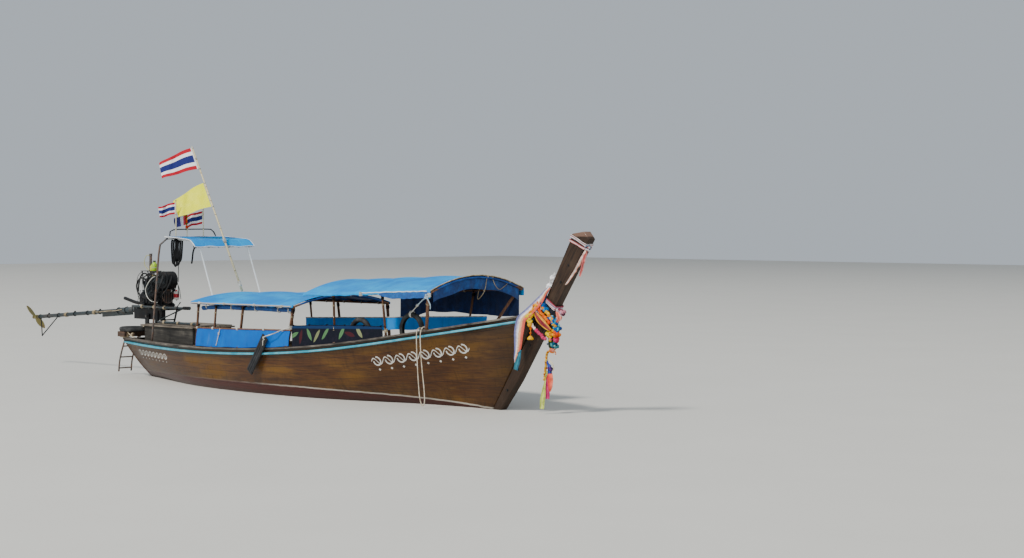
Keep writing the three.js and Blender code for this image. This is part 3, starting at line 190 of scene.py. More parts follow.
class Graph:
    """A material and the nodes that paint it."""

    def __init__(self, name: str) -> None:
        """Starts an empty material of that name.

        Args:
            name: The material's name.
        """
        self.material = bpy.data.materials.new(name)
        self.material.use_nodes = True
        self.tree = self.material.node_tree
        self.tree.nodes.clear()

    def node(self, kind: str, settings: dict[str, Any], spots: dict[Any, Term]) -> bpy.types.Node:
        """Adds a node.

        Args:
            kind: The node's type.
            settings: Its options, which are set first.
            spots: Values or links of its sockets, by name or place.

        Returns:
            The node.
        """
        made = self.tree.nodes.new(kind)
        for key, setting in settings.items():
            setattr(made, key, setting)
        for spot, term in spots.items():
            if isinstance(term, Value):
                self.tree.links.new(term.socket, made.inputs[spot])
            else:
                made.inputs[spot].default_value = term
        return made

    def value(self, kind: str, settings: dict[str, Any], spots: dict[Any, Term], out: Any = 0) -> Value:
        """Adds a node and returns one of its outputs, by name or place."""
        return Value(self, self.node(kind, settings, spots).outputs[out])

    def place(self) -> Value:
        """The point in the shared frame."""
        return self.value("ShaderNodeTexCoord", {}, {}, "Object")

    def surface(self) -> Value:
        """The piece's own UV map."""
        return self.value("ShaderNodeTexCoord", {}, {}, "UV")

    def facing(self) -> Value:
        """The way the surface faces, in the shared frame."""
        return self.value("ShaderNodeTexCoord", {}, {}, "Normal")

    def tint(self) -> Value:
        """The colour that a piece carries at each point."""
        return self.value("ShaderNodeAttribute", {"attribute_name": "tint"}, {}, "Color")

    def split(self, vector: Value) -> tuple[Value, Value, Value]:
        """The three parts of a vector."""
        node = self.node("ShaderNodeSeparateXYZ", {}, {0: vector})
        return (Value(self, node.outputs[0]), Value(self, node.outputs[1]), Value(self, node.outputs[2]))

    def joined(self, x: Term, y: Term) -> Value:
        """A vector of two parts."""
        return self.value("ShaderNodeCombineXYZ", {}, {0: x, 1: y})

    def scaled(self, vector: Value, scale: Sequence[float], turn: Sequence[float] = (0, 0, 0)) -> Value:
        """A vector stretched, then turned, by a Mapping node."""
        spots = {"Vector": vector, "Rotation": tuple(turn), "Scale": tuple(scale)}
        return self.value("ShaderNodeMapping", {}, spots)

    def noise(self, vector: Value, scale: float, detail: float = 3.0, rough: float = 0.55) -> Value:
        """Cloudy noise around one half."""
        spots = {"Vector": vector, "Scale": scale, "Detail": detail, "Roughness": rough}
        return self.value("ShaderNodeTexNoise", {"noise_dimensions": "3D"}, spots, 0)

    def cells(self, vector: Value, scale: float, feature: str = "F1") -> Value:
        """Distance to the nearest of many scattered points, or to the edge between two cells."""
        return self.value(
            "ShaderNodeTexVoronoi", {"feature": feature}, {"Vector": vector, "Scale": scale}, "Distance"
        )

    def speckle(self, vector: Value) -> Value:
        """A random number for each whole place."""
        return self.value("ShaderNodeTexWhiteNoise", {"noise_dimensions": "3D"}, {"Vector": vector}, 0)

    def mix(self, factor: Term, low: Term, high: Term) -> Value:
        """A colour between two."""
        settings = {"data_type": "RGBA", "clamp_factor": True}
        return self.value("ShaderNodeMix", settings, {0: factor, 6: low, 7: high}, 2)

    def times(self, factor: Term, low: Term, high: Term) -> Value:
        """A colour multiplied by another one, as far as the factor says."""
        settings = {"data_type": "RGBA", "blend_type": "MULTIPLY", "clamp_factor": True}
        return self.value("ShaderNodeMix", settings, {0: factor, 6: low, 7: high}, 2)

    def curve(self, x: Value, factors: Sequence[float]) -> Value:
        """A polynomial, highest power first, worked out term by term.

        Args:
            x: The value.
            factors: Factors of the powers.

        Returns:
            The polynomial.
        """
        total: Term = float(factors[0])
        for factor in factors[1:]:
            total = x * total + float(factor)
        return total

    def relief(self, height: Value, depth: float, strength: float = 1.0) -> Value:
        """A normal that follows a height, as deep as the depth in metres."""
        spots = {"Strength": strength, "Distance": depth, "Height": height}
        return self.value("ShaderNodeBump", {}, spots)

    def shade(
        self, colour: Term, rough: Term, normal: Value | None = None, metal: Term = 0.0, coat: Term = 0.0,
        **constants: Any,
    ) -> None:
        """Ends the tree in one shader.

        Args:
            colour: Base colour.
            rough: Roughness.
            normal: The relief, if there is one.
            metal: Metallic.
            coat: Coat weight.
            constants: Other sockets, with spaces in their names as underscores.
        """
        spots: dict[Any, Term] = {"Base Color": colour, "Roughness": rough, "Metallic": metal}
        spots["Coat Weight"] = coat
        for key, number in constants.items():
            spots[key.replace("_", " ")] = number
        if normal is not None:
            spots["Normal"] = normal
        shader = self.node("ShaderNodeBsdfPrincipled", {}, spots)
        output = self.node("ShaderNodeOutputMaterial", {}, {})
        self.tree.links.new(shader.outputs[0], output.inputs[0])


class Axis(Enum):
    """The way a wood's grain or a tube's length runs."""

    X = 0
    Y = 1
    Z = 2


def stretch(along: Axis, lengthwise: float, across: float) -> tuple[float, float, float]:
    """Scale of a pattern that is longer one way.

    Args:
        along: The way it is long.
        lengthwise: Scale that way.
        across: Scale the other two ways.

    Returns:
        The three scales.
    """
    sizes = [across, across, across]
    sizes[along.value] = lengthwise
    return (sizes[0], sizes[1], sizes[2])


@dataclass(frozen=True)
class Finish:
    """A material by name. Each kind of finish paints it its own way."""

    name: str

    def paint(self, g: Graph) -> None:
        """Adds the finish's nodes.

        Args:
            g: The material's nodes.
        """
        raise NotImplementedError

    def material(self) -> bpy.types.Material:
        """The material, made at its first use.

        Returns:
            The material.
        """
        found = bpy.data.materials.get(self.name)
        if found is None:
            g = Graph(self.name)
            self.paint(g)
            found = g.material
        return found


# Stations along the hull: x, half beam, and the heights of sheer and keel
HULL_STATIONS = np.array(
    [
        (-5.3, 0.45, 0.716, -0.13), (-4.9, 0.545, 0.707, -0.15), (-3.9, 0.765, 0.689, -0.21),
        (-2.6, 0.975, 0.682, -0.29), (-1.2, 1.075, 0.702, -0.33), (0.2, 1.085, 0.766, -0.335),
        (1.5, 1.005, 0.88, -0.325), (2.5, 0.88, 1.014, -0.3), (3.4, 0.69, 1.156, -0.26),
        (4.1, 0.5, 1.268, -0.235), (4.7, 0.275, 1.372, -0.215), (5.12, 0.07, 1.45, -0.2),
    ]
)


class HullLine(Enum):
    """The lines that the stations give, by their column."""

    HALF_BEAM = 1
    SHEER = 2
    KEEL = 3

    def values(self) -> Array:
        """The line's value at each station."""
        return HULL_STATIONS[:, self.value]


def hull_at(x: Any, line: HullLine) -> Array:
    """A hull line at places along the boat, on the cubic with Catmull-Rom slopes.

    Args:
        x: Places along the boat.
        line: Which line.

    Returns:
        The line's values.
    """
    xs, ys = HULL_STATIONS[:, 0], line.values()
    slopes = np.gradient(ys, xs)
    x = np.clip(np.asarray(x, float), xs[0], xs[-1])
    i = np.clip(np.searchsorted(xs, x) - 1, 0, len(xs) - 2)
    width = xs[i + 1] - xs[i]
    t = (x - xs[i]) / width
    low = (1 + 2 * t) * (1 - t) ** 2 * ys[i] + t * (1 - t) ** 2 * width * slopes[i]
    high = t * t * (3 - 2 * t) * ys[i + 1] + t * t * (t - 1) * width * slopes[i + 1]
    return low + high


@dataclass(frozen=True)
class VarnishedHull(Finish):
    """Old varnish on planks: strakes, sun-bleached streaks, a pale line over red-brown bottom paint."""

    strakes: int = 11
    ornament: bool = True

    def paint(self, g: Graph) -> None:
        """Strakes from the share of the height between keel and sheer; streaks are noise drawn out in x.

        Args:
            g: The material's nodes.
        """
        spot = g.place()
        x, y, z = g.split(spot)
        sheer = g.curve(x, np.polyfit(HULL_STATIONS[:, 0], HullLine.SHEER.values(), 5))
        keel = g.curve(x, np.polyfit(HULL_STATIONS[:, 0], HullLine.KEEL.values(), 4))
        strake = (z - keel) / (sheer - keel) * float(self.strakes)
        seam = abs(strake.wrapped() - 0.5).rise(0.462, 0.496)
        butt = (x * 0.37 + g.speckle(g.joined(strake.whole(), 3.0)) * 7.0).wrapped()
        seam = seam.most(abs(butt - 0.5).rise(0.4965, 0.499) * 0.4)
        board = g.speckle(g.joined(strake.whole(), (x * 0.37 + 5.0).whole()))

        row = (strake.wrapped() - 0.12) * 0.095
        frame = ((x / 0.36).wrapped() - 0.5) * 0.36
        nail = (row * row + frame * frame).root().rise(0.0062, 0.0048)

        grain = g.noise(g.scaled(spot, (1.1, 3.0, 26.0)), 2.2, 6.0, 0.62)
        fine = g.noise(g.scaled(spot, (2.5, 20.0, 110.0)), 2.0, 4.0, 0.7)
        cloud = g.noise(g.scaled(spot, (0.55, 1.0, 2.2)), 1.7, 5.0, 0.6)
        drips = g.noise(g.scaled(spot, (16.0, 6.0, 1.5)), 1.4, 4.0, 0.6)

        wood = g.mix(grain.rise(0.34, 0.68), tone("331a08"), tone("573511"))
        wood = g.mix((cloud + fine * 0.25).rise(0.56, 0.84) * 0.75, wood, tone("74511c"))
        wood = g.mix(board * 0.35, wood, tone("44230b"))
        wood = g.times(drips.rise(0.52, 0.72) * 0.28, wood, tone("5d4c33"))
        fore = x.rise(3.4, 5.1)
        wood = g.mix(fore * (0.45 + fine * 0.3), wood, tone("413121"))
        # Darker band just below the sheer: painted shade under the rails.
        edge = (sheer - z).rise(0.16, 0.05)
        wood = g.mix(edge * 0.8, wood, tone("2b1c10"))

        line = 0.172 - (x - 0.3).most(0.0) * (x - 0.3).most(0.0) * 0.0104
        line = line - (x - 0.3).least(0.0) * (x - 0.3).least(0.0) * 0.0023
        wobble = g.noise(g.scaled(spot, (2.0, 2.0, 2.0)), 3.0, 3.0) - 0.5
        above = z - line + wobble * 0.02
        bottom = g.mix(fine.rise(0.35, 0.75), tone("360f0a"), tone("51201a"))
        # Darker towards z = 0: painted shade along the waterline.
        bottom = g.mix(z.rise(0.1, 0.0) * 0.45, bottom, tone("241a10"))
        wood = g.mix(above.rise(0.16, 0.0) * drips.rise(0.3, 0.7) * 0.5, wood, tone("2b1c0e"))
        stripe = abs(above).rise(0.016, 0.007) * (fine + cloud).rise(0.72, 1.0) * (
            0.1 + x.rise(-1.2, 0.9) * 0.9
        )
        colour = g.mix(above.rise(0.004, -0.004), wood, bottom)
        colour = g.mix(stripe * 0.8, colour, tone("b9b2a4"))
        colour = g.mix(seam * 0.48, colour, tone("190e06"))

        painted = self._ornament(x, z, sheer) if self.ornament else None
        if painted is not None:
            worn = painted * (fine + cloud * 0.6).rise(0.42, 0.72)
            colour = g.mix(worn * y.rise(-0.02, -0.2) * 0.92, colour, tone("d9d8cf"))

        # Inward-facing planking keeps its grain and seams, in a darker tone that paints the shade inside the
        # hull.
        _, ny, _ = g.split(g.facing())
        inner = (ny * (y * 50.0).least(1.0).most(-1.0)).rise(0.05, -0.12) * z.rise(-0.32, -0.2)
        lining = g.mix(grain.rise(0.3, 0.7), tone("25190e"), tone("463320"))
        lining = g.mix(seam * 0.6, lining, tone("0f0905"))
        colour = g.mix(inner, colour, lining)

        colour = g.mix(nail * 0.7, colour, tone("1c120c"))
        height = grain * 0.5 + fine * 0.35 - seam * 1.1 - nail * 0.5
        rough = 0.33 + grain * 0.2 + inner * 0.3 + cloud.rise(0.55, 0.8) * 0.22
        coat = (0.17 - cloud.rise(0.5, 0.75) * 0.12) * (1.0 - inner)
        normal = g.relief(height, 0.004, 0.8)
        g.shade(colour, rough, normal, coat=coat, Coat_Roughness=0.22, Specular_IOR_Level=0.24)

    def _ornament(self, x: Value, z: Value, sheer: Value) -> Value:
        """Painted bands of running scrolls: rings on a wavy stem, with a row of small lozenges below.

        Args:
            x: Place along the boat.
            z: Height.
            sheer: Height of the sheer there.

        Returns:
            How much of the paint shows, from 0 to 1.
        """
        total: Value | None = None
        # From x, to x, drop below the sheer, pitch, ring radius and stroke
        bands = ((2.3, 4.02, 0.345, 0.215, 0.062, 0.013), (-4.35, -3.05, 0.235, 0.16, 0.045, 0.01))
        for low, high, drop, pitch, radius, stroke in bands:
            inside = x.rise(low, low + 0.01) * x.rise(high, high - 0.01)
            level = z - sheer + drop
            cell = ((x - low) / pitch).wrapped() - 0.5
            cx = cell * pitch
            ring = abs((cx * cx + level * level).root() - radius).rise(stroke, stroke * 0.6)
            ring = ring * (1.0 - (cx * -1.0).rise(0.0, 0.01) * level.rise(0.0, 0.012))
            stem_line = abs(level - ((x - low) * (2 * math.pi / pitch)).sine() * radius * 0.75)
            stem_line = stem_line.rise(stroke * 0.9, stroke * 0.45)
            lozenge = abs(cell * pitch) * 0.9 + abs(level + radius * 2.1)
            lozenge = lozenge.rise(radius * 0.36, radius * 0.26)
            band = ring.most(stem_line).most(lozenge) * inside
            total = band if total is None else total.most(band)
        return total


@dataclass(frozen=True)
class PlankWood(Finish):
    """Boards with grain, seams between them, nail heads and grey wear."""

    light: str = "8a7d6d"
    dark: str = "4f453b"
    along: Axis = Axis.X
    across: Axis = Axis.Y
    board: float = 0.14
    wear: float = 0.5
    gloss: float = 0.8

    def paint(self, g: Graph) -> None:
        """Grain is noise drawn out along the board; seams come each board width; worn spots go paler.

        Args:
            g: The material's nodes.
        """
        spot = g.place()
        parts = g.split(spot)
        grain = g.noise(g.scaled(spot, stretch(self.along, 1.4, 24.0)), 2.0, 6.0, 0.65)
        fine = g.noise(g.scaled(spot, stretch(self.along, 5.0, 120.0)), 2.0, 3.0, 0.7)
        cloud = g.noise(spot, 2.6, 5.0, 0.62)
        row = parts[self.across.value] / self.board
        seam = abs(row.wrapped() - 0.5).rise(0.455, 0.49)
        shade = g.speckle(g.joined(row.whole(), 1.0))
        colour = g.mix(grain.rise(0.3, 0.7), tone(self.dark), tone(self.light))
        colour = g.mix(shade * 0.3, colour, tone(self.dark))
        colour = g.mix(cloud.rise(0.5, 0.75) * self.wear, colour, tone("a59c8c"))
        colour = g.times(cloud.rise(0.5, 0.3) * 0.55, colour, tone("6b5b4a"))
        colour = g.mix(fine.rise(0.6, 0.75) * 0.35, colour, tone("2b221b"))
        colour = g.mix(seam * 0.75, colour, tone("17120e"))
        height = grain * 0.6 + fine * 0.5 - seam * 1.4
        rough = self.gloss - 0.12 + grain * 0.2
        g.shade(colour, rough, g.relief(height, 0.003, 0.9))


@dataclass(frozen=True)
class StemWood(Finish):
    """The stem's dark timber, with long cracks and a paler, chipped top."""

    def paint(self, g: Graph) -> None:
        """The grain runs up the stem, which leans forward by about 34 degrees.

        Args:
            g: The material's nodes.
        """
        spot = g.place()
        _, _, z = g.split(spot)
        leaned = g.scaled(spot, (1.0, 1.0, 1.0), (0.0, math.radians(-34.0), 0.0))
        grain = g.noise(g.scaled(leaned, (26.0, 18.0, 1.3)), 2.0, 6.0, 0.66)
        fine = g.noise(g.scaled(leaned, (120.0, 90.0, 4.0)), 2.0, 3.0, 0.7)
        cloud = g.noise(spot, 3.0, 5.0, 0.6)
        colour = g.mix(grain.rise(0.3, 0.72), tone("1d120a"), tone("402d1f"))
        colour = g.mix(cloud.rise(0.5, 0.78) * 0.5, colour, tone("4c3c2e"))
        colour = g.mix(z.rise(0.9, 0.2) * 0.55, colour, tone("291a0d"))
        crack = grain.rise(0.66, 0.72) * cloud.rise(0.42, 0.6)
        colour = g.mix(crack * 0.6, colour, tone("0f0805"))
        colour = g.mix(z.rise(2.535, 2.56) * (0.75 + fine * 0.3), colour, tone("7b5e4f"))
        height = grain * 0.7 + fine * 0.4 - crack
        g.shade(colour, 0.5 + grain * 0.25, g.relief(height, 0.004, 0.9), coat=0.05, Specular_IOR_Level=0.3)


@dataclass(frozen=True)
class RailPaint(Finish):
    """Thick rail paint with brush marks, grime in the low places and chips down to grey wood."""

    colour: str = "2795ad"
    light: str = "62b4c6"
    bare: str = "6c6457"
    chips: float = 0.5

    def paint(self, g: Graph) -> None:
        """Chips show where fine noise passes a level; brush marks are noise drawn out in x.

        Args:
            g: The material's nodes.
        """
        spot = g.place()
        brush = g.noise(g.scaled(spot, (2.0, 40.0, 60.0)), 2.0, 4.0, 0.6)
        cloud = g.noise(spot, 5.0, 5.0, 0.62)
        fine = g.noise(spot, 38.0, 4.0, 0.65)
        chip = (fine * 0.6 + cloud * 0.6).rise(0.72, 0.76) * self.chips
        colour = g.mix(cloud.rise(0.35, 0.7), tone(self.colour), tone(self.light))
        colour = g.times(brush.rise(0.4, 0.7) * 0.35, colour, tone("7f9aa0"))
        colour = g.mix(chip, colour, tone(self.bare))
        height = brush * 0.4 - chip
        g.shade(colour, 0.42 + cloud * 0.25 + chip * 0.2, g.relief(height, 0.0015, 0.8))


@dataclass(frozen=True)
class PostWood(Finish):
    """Round poles of tan timber with dark knots and grey rain marks."""

    light: str = "84593c"
    dark: str = "452b1d"
    # a and b of z = a + b x, above which the hoop is wrapped in navy cloth, dark as painted shade
    sleeve: tuple[float, float] | None = None

    def paint(self, g: Graph) -> None:
        """Grain is noise drawn out in z; knots are cells' middles; cloth wraps it above z = a + b x, in a
        dark navy that is painted shade.

        Args:
            g: The material's nodes.
        """
        spot = g.place()
        x, _, z = g.split(spot)
        grain = g.noise(g.scaled(spot, (55.0, 55.0, 3.0)), 1.6, 5.0, 0.65)
        cloud = g.noise(spot, 4.5, 5.0, 0.6)
        knot = g.cells(g.scaled(spot, (9.0, 9.0, 2.4)), 1.0).rise(0.22, 0.06)
        colour = g.mix(grain.rise(0.3, 0.7), tone(self.dark), tone(self.light))
        colour = g.mix(cloud.rise(0.5, 0.74) * 0.6, colour, tone("4b3d35"))
        colour = g.mix(knot * 0.8, colour, tone("2c1c13"))
        # The cloth wrap is real; its dark navy paints the shade under the awning.
        if self.sleeve:
            wrap = (z - x * self.sleeve[1] - self.sleeve[0]).rise(0.0, 0.006)
            colour = g.mix(wrap, colour, g.mix(cloud.rise(0.4, 0.7), tone("0b3a7c"), tone("1a5cae")))
        height = grain * 0.8 + knot * 0.5
        g.shade(colour, 0.62 + grain * 0.25, g.relief(height, 0.002, 0.9))


@dataclass(frozen=True)
class Tarpaulin(Finish):
    """Coated cloth: bright and faded on top, painted shade below, with fold lines and a fine weave."""

    top: str = "007ecb"
    faded: str = "00aeea"
    # Colour of the painted shade on the underside
    under: str = "0b2a66"
    fade: float = 0.7
    # True for a cloth that gets no painted shade on its underside
    no_underside_shade: bool = False

    def paint(self, g: Graph) -> None:
        """Painted shade darkens the underside, where the surface faces down; folds are a tilted lattice of
        soft lines.

        Args:
            g: The material's nodes.
        """
        spot = g.place()
        x, y, _ = g.split(spot)
        cloud = g.noise(g.scaled(spot, (0.7, 1.6, 1.0)), 1.5, 5.0, 0.6)
        streak = g.noise(g.scaled(spot, (7.0, 0.9, 1.0)), 1.3, 4.0, 0.6)
        crease = abs((x * 0.83 + y * 0.06 + (cloud - 0.5) * 0.3).wrapped() - 0.5).rise(0.47, 0.5)
        crease = crease.most(abs((y * 1.3 + (streak - 0.5) * 0.2 + 0.5).wrapped() - 0.5).rise(0.475, 0.5))
        ripple = g.noise(g.scaled(spot, (3.0, 2.0, 2.0)), 2.5, 4.0, 0.55)
        weave = ((x * 1900.0).sine() * (y * 1900.0).sine()) * 0.5 + 0.5
        colour = g.mix(cloud.rise(0.38, 0.68) * self.fade, tone(self.top), tone(self.faded))
        colour = g.times(streak.rise(0.5, 0.75) * 0.35, colour, tone("6f9fc4"))
        colour = g.mix(crease * 0.35, colour, tone(self.faded))
        colour = g.mix((ripple * streak).rise(0.32, 0.45) * 0.06, colour, tone("b4e0f4"))
        # Painted shade: faces that point down take the under colour.
        if not self.no_underside_shade:
            _, _, nz = g.split(g.facing())
            colour = g.mix(nz.rise(-0.3, -0.5), colour, tone(self.under))
        height = ripple * 0.75 + crease * 0.3 + weave * 0.02
        g.shade(colour, 0.52 + cloud * 0.22, g.relief(height, 0.012, 0.7), Specular_IOR_Level=0.14)


@dataclass(frozen=True)
class Cloth(Finish):
    """Woven cloth that carries its own colour at each point, or one colour with faded folds."""

    colour: str | None = None
    faded: str = "31508f"
    thread: float = 900.0
    rough: float = 0.82
    sheen: float = 0.3
    depth: float = 0.0
    # Strength of the painted shade in the hollows of the crumples
    grime: float = 0.4

    def paint(self, g: Graph) -> None:
        """Threads are two crossed sines on the UV map; the folds' crests fade, and painted shade darkens the
        crumples' hollows.

        Args:
            g: The material's nodes.
        """
        spot = g.place()
        u, v, _ = g.split(g.surface())
        cloud = g.noise(spot, 7.0, 4.0, 0.6)
        crumple = g.noise(spot, 26.0, 3.0, 0.6)
        weave = ((u * self.thread).sine() * (v * self.thread).sine()) * 0.5 + 0.5
        if self.colour is None:
            colour = g.times(self.depth, g.tint(), g.tint())
            colour = g.times(cloud.rise(0.45, 0.75) * 0.3, colour, tone("b0a49c"))
        else:
            colour = g.mix(cloud.rise(0.4, 0.75) * 0.7, tone(self.colour), tone(self.faded))
        # Painted shade: darker in the hollows of the crumples.
        colour = g.times(crumple.rise(0.55, 0.35) * self.grime, colour, tone("8f8a92"))
        height = crumple * 0.8 + weave * 0.12
        normal = g.relief(height, 0.004, 0.7)
        g.shade(colour, self.rough, normal, Sheen_Weight=self.sheen, Sheen_Roughness=0.5)


@dataclass(frozen=True)
class LeafPrint(Finish):
    """A dark printed cloth with broad leaves in dull green, sand and red, and a plain navy head."""

    ground: str = "0a0f1c"
    pitch: float = 0.36
    length: float = 0.125
    width: float = 0.034

    def paint(self, g: Graph) -> None:
        """Each pitch holds a leaf where |across| < width (1 - (along / length)^2); it leans at random.

        Args:
            g: The material's nodes.
        """
        spot = g.place()
        x, _, z = g.split(spot)
        blot = g.noise(spot, 11.0, 4.0, 0.6)
        colour = g.mix(blot.rise(0.45, 0.65) * 0.6, tone(self.ground), tone("1b1626"))
        for layer in range(2):
            tile = x / self.pitch + layer * 0.47
            lean = (g.speckle(g.joined(tile.whole(), 2.0 + layer)) - 0.5) * 2.6
            pick = g.speckle(g.joined(tile.whole(), 8.0 + layer))
            shown = g.speckle(g.joined(tile.whole(), 5.0 + layer)).rise(0.4, 0.41)
            fx, fz = (tile.wrapped() - 0.5) * self.pitch, z - (x * 0.075 + 0.9 + 0.03 * layer)
            sine, cosine = lean.sine(), (lean + math.pi / 2).sine()
            along, across = fx * sine + fz * cosine, fx * cosine - fz * sine
            leaf = (1.0 - (along / self.length) * (along / self.length)) * self.width - abs(across)
            tint = g.mix(
                pick.rise(0.62, 0.64), g.mix(pick.rise(0.3, 0.32), tone("5c8a58"), tone("93996a")),
                tone("4a161f"),
            )
            tint = g.mix(abs(across).rise(0.003, 0.0015) * 0.6, tint, tone("20301f"))
            colour = g.mix(leaf.rise(0.0, 0.003) * shown * 0.75, colour, tint)
        colour = g.mix((z - x * 0.03).rise(1.068, 1.072), colour, tone("0c2b50"))
        fold = g.noise(g.scaled(spot, (14.0, 14.0, 1.5)), 1.5, 3.0, 0.6)
        g.shade(colour, 0.8, g.relief(fold * 0.8 + blot * 0.1, 0.006, 0.7), Specular_IOR_Level=0.2)


@dataclass(frozen=True)
class StripedCloth(Finish):
    """A flag's cloth with five stripes along its fly: red, white, blue, white and red."""

    def paint(self, g: Graph) -> None:
        """Stripes by v on the UV map, at sixths of the hoist, the middle one twice as wide.

        Args:
            g: The material's nodes.
        """
        u, v, _ = g.split(g.surface())
        from_middle = abs(v - 0.5)
        cloud = g.noise(g.place(), 9.0, 4.0, 0.6)
        weave = ((u * 900.0).sine() * (v * 620.0).sine()) * 0.5 + 0.5
        white = g.mix(cloud, tone("f6f3ef"), tone("e2dfe2"))
        colour = g.mix(from_middle.rise(0.163, 0.17), tone("1f2668"), white)
        colour = g.mix(from_middle.rise(0.33, 0.337), colour, tone("b00f26"))
        colour = g.mix(u.rise(0.035, 0.02), colour, tone("e4e0da"))
        g.shade(colour, 0.75, g.relief(weave * 0.2 + cloud, 0.003, 0.6), Specular_IOR_Level=0.2)


@dataclass(frozen=True)
class Metal(Finish):
    """Painted or bare steel with rust, grease and scuffs."""

    colour: str = "1b1d20"
    worn: str = "4b4d50"
    rust: str = "5d3420"
    flakes: str = "8b5633"
    rusting: float = 0.35
    metal: float = 0.5
    rough: float = 0.5
    scale: float = 9.0

    def paint(self, g: Graph) -> None:
        """Rust grows where two noises meet; scuffs are sharp small noise; grease lowers the roughness.

        Args:
            g: The material's nodes.
        """
        spot = g.place()
        cloud = g.noise(spot, self.scale, 6.0, 0.65)
        fine = g.noise(spot, self.scale * 9.0, 4.0, 0.7)
        pits = g.cells(spot, self.scale * 16.0)
        grown = (cloud * 0.75 + fine * 0.35).rise(0.6 - self.rusting * 0.2, 0.72 - self.rusting * 0.12)
        colour = g.mix(fine.rise(0.45, 0.75) * 0.5, tone(self.colour), tone(self.worn))
        rust = g.mix(fine.rise(0.3, 0.7), tone(self.rust), tone(self.flakes))
        colour = g.mix(grown * min(1.0, self.rusting * 1.6), colour, rust)
        height = fine * 0.5 + pits * 0.4 * grown - grown * 0.2
        rough = self.rough - 0.12 + cloud * 0.25 + grown * 0.3
        metal = (1.0 - grown * 0.85) * self.metal
        g.shade(colour, rough.clipped(), g.relief(height, 0.0012, 0.8), metal=metal)


@dataclass(frozen=True)
class Bamboo(Finish):
    """A bamboo pole: smooth skin with dark rings at its joints."""

    def paint(self, g: Graph) -> None:
        """Joints come each 0.24 m of height.

        Args:
            g: The material's nodes.
        """
        spot = g.place()
        _, _, z = g.split(spot)
        joint = abs((z / 0.24).wrapped() - 0.5).rise(0.45, 0.49)
        grain = g.noise(g.scaled(spot, (80.0, 80.0, 3.0)), 1.5, 4.0, 0.6)
        colour = g.mix(grain.rise(0.3, 0.7), tone("b8a674"), tone("e4d8b4"))
        colour = g.mix(joint * 0.7, colour, tone("6b5230"))
        g.shade(colour, 0.45 + grain * 0.2, g.relief(grain * 0.4 + joint, 0.002, 0.8))


@dataclass(frozen=True)
class Rope(Finish):
    """Laid rope: slanted strands, fuzz and grime."""

    colour: str = "cdbb97"
    grime: str = "857353"
    strands: float = 3.0
    sheen: float = 0.2

    def paint(self, g: Graph) -> None:
        """Strands are a saw along u + v of the UV map, where v counts turns of the lay.

        Args:
            g: The material's nodes.
        """
        u, v, _ = g.split(g.surface())
        strand = abs(((u + v) * self.strands).wrapped() - 0.5) * 2.0
        fibre = g.noise(g.joined(u * 3.0 + v * 9.0, v * 40.0), 6.0, 3.0)
        cloud = g.noise(g.place(), 11.0, 4.0, 0.6)
        colour = g.mix(cloud.rise(0.35, 0.7), tone(self.colour), tone(self.grime))
        # Painted shade in the grooves between the strands.
        colour = g.times(strand.rise(0.65, 1.0) * 0.7, colour, tone("5b4c38"))
        height = fibre * 0.3 - strand * strand
        g.shade(
            colour, 0.88, g.relief(height, 0.002, 0.9), Sheen_Weight=self.sheen, Specular_IOR_Level=self.sheen
        )


@dataclass(frozen=True)
class Rubber(Finish):
    """Old rubber: grey bloom, dust and crazing."""

    colour: str = "1d1e20"
    bloom: str = "4a4a48"

    def paint(self, g: Graph) -> None:
        """Crazing is the edge between small cells.

        Args:
            g: The material's nodes.
        """
        spot = g.place()
        cloud = g.noise(spot, 8.0, 5.0, 0.62)
        craze = g.cells(spot, 120.0, "DISTANCE_TO_EDGE").rise(0.08, 0.0)
        colour = g.mix(cloud.rise(0.4, 0.75), tone(self.colour), tone(self.bloom))
        colour = g.mix(craze * 0.5, colour, tone("0c0c0d"))
        g.shade(colour, 0.7 + cloud * 0.2, g.relief(cloud * 0.5 - craze, 0.0012, 0.8))


@dataclass(frozen=True)
class Petals(Finish):
    """Cloth or fresh flowers that carry their colour at each point."""

    def paint(self, g: Graph) -> None:
        """Petal edges come from fine cells.

        Args:
            g: The material's nodes.
        """
        spot = g.place()
        petal = g.cells(spot, 95.0)
        cloud = g.noise(spot, 30.0, 3.0)
        colour = g.times(0.75, g.tint(), g.tint())
        colour = g.times(petal.rise(0.35, 0.9) * 0.6, colour, tone("b0784a"))
        colour = g.mix(cloud.rise(0.6, 0.8) * 0.1, colour, tone("f2e6cf"))
        g.shade(colour, 0.8, g.relief(petal, 0.005, 0.8), Specular_IOR_Level=0.15)


@dataclass(frozen=True)
class Plastic(Finish):
    """Moulded plastic with scuffs, in bands of height if it has more than one colour."""

    colours: tuple[str, ...] = ("d8dbd6",)
    edges: tuple[float, ...] = ()
    rough: float = 0.35

    def paint(self, g: Graph) -> None:
        """Each colour starts at its edge's height and scuffs raise the roughness.

        Args:
            g: The material's nodes.
        """
        spot = g.place()
        _, _, z = g.split(spot)
        scuff = g.noise(g.scaled(spot, (1.0, 1.0, 0.4)), 60.0, 4.0, 0.7)
        colour: Term = tone(self.colours[0])
        for code, height in zip(self.colours[1:], self.edges):
            colour = g.mix(z.rise(height - 0.002, height + 0.002), colour, tone(code))
        colour = g.times(scuff.rise(0.5, 0.75) * 0.45, colour, tone("8d8a80"))
        g.shade(colour, self.rough + scuff * 0.25, g.relief(scuff, 0.0008, 0.5))


# The boat's finishes

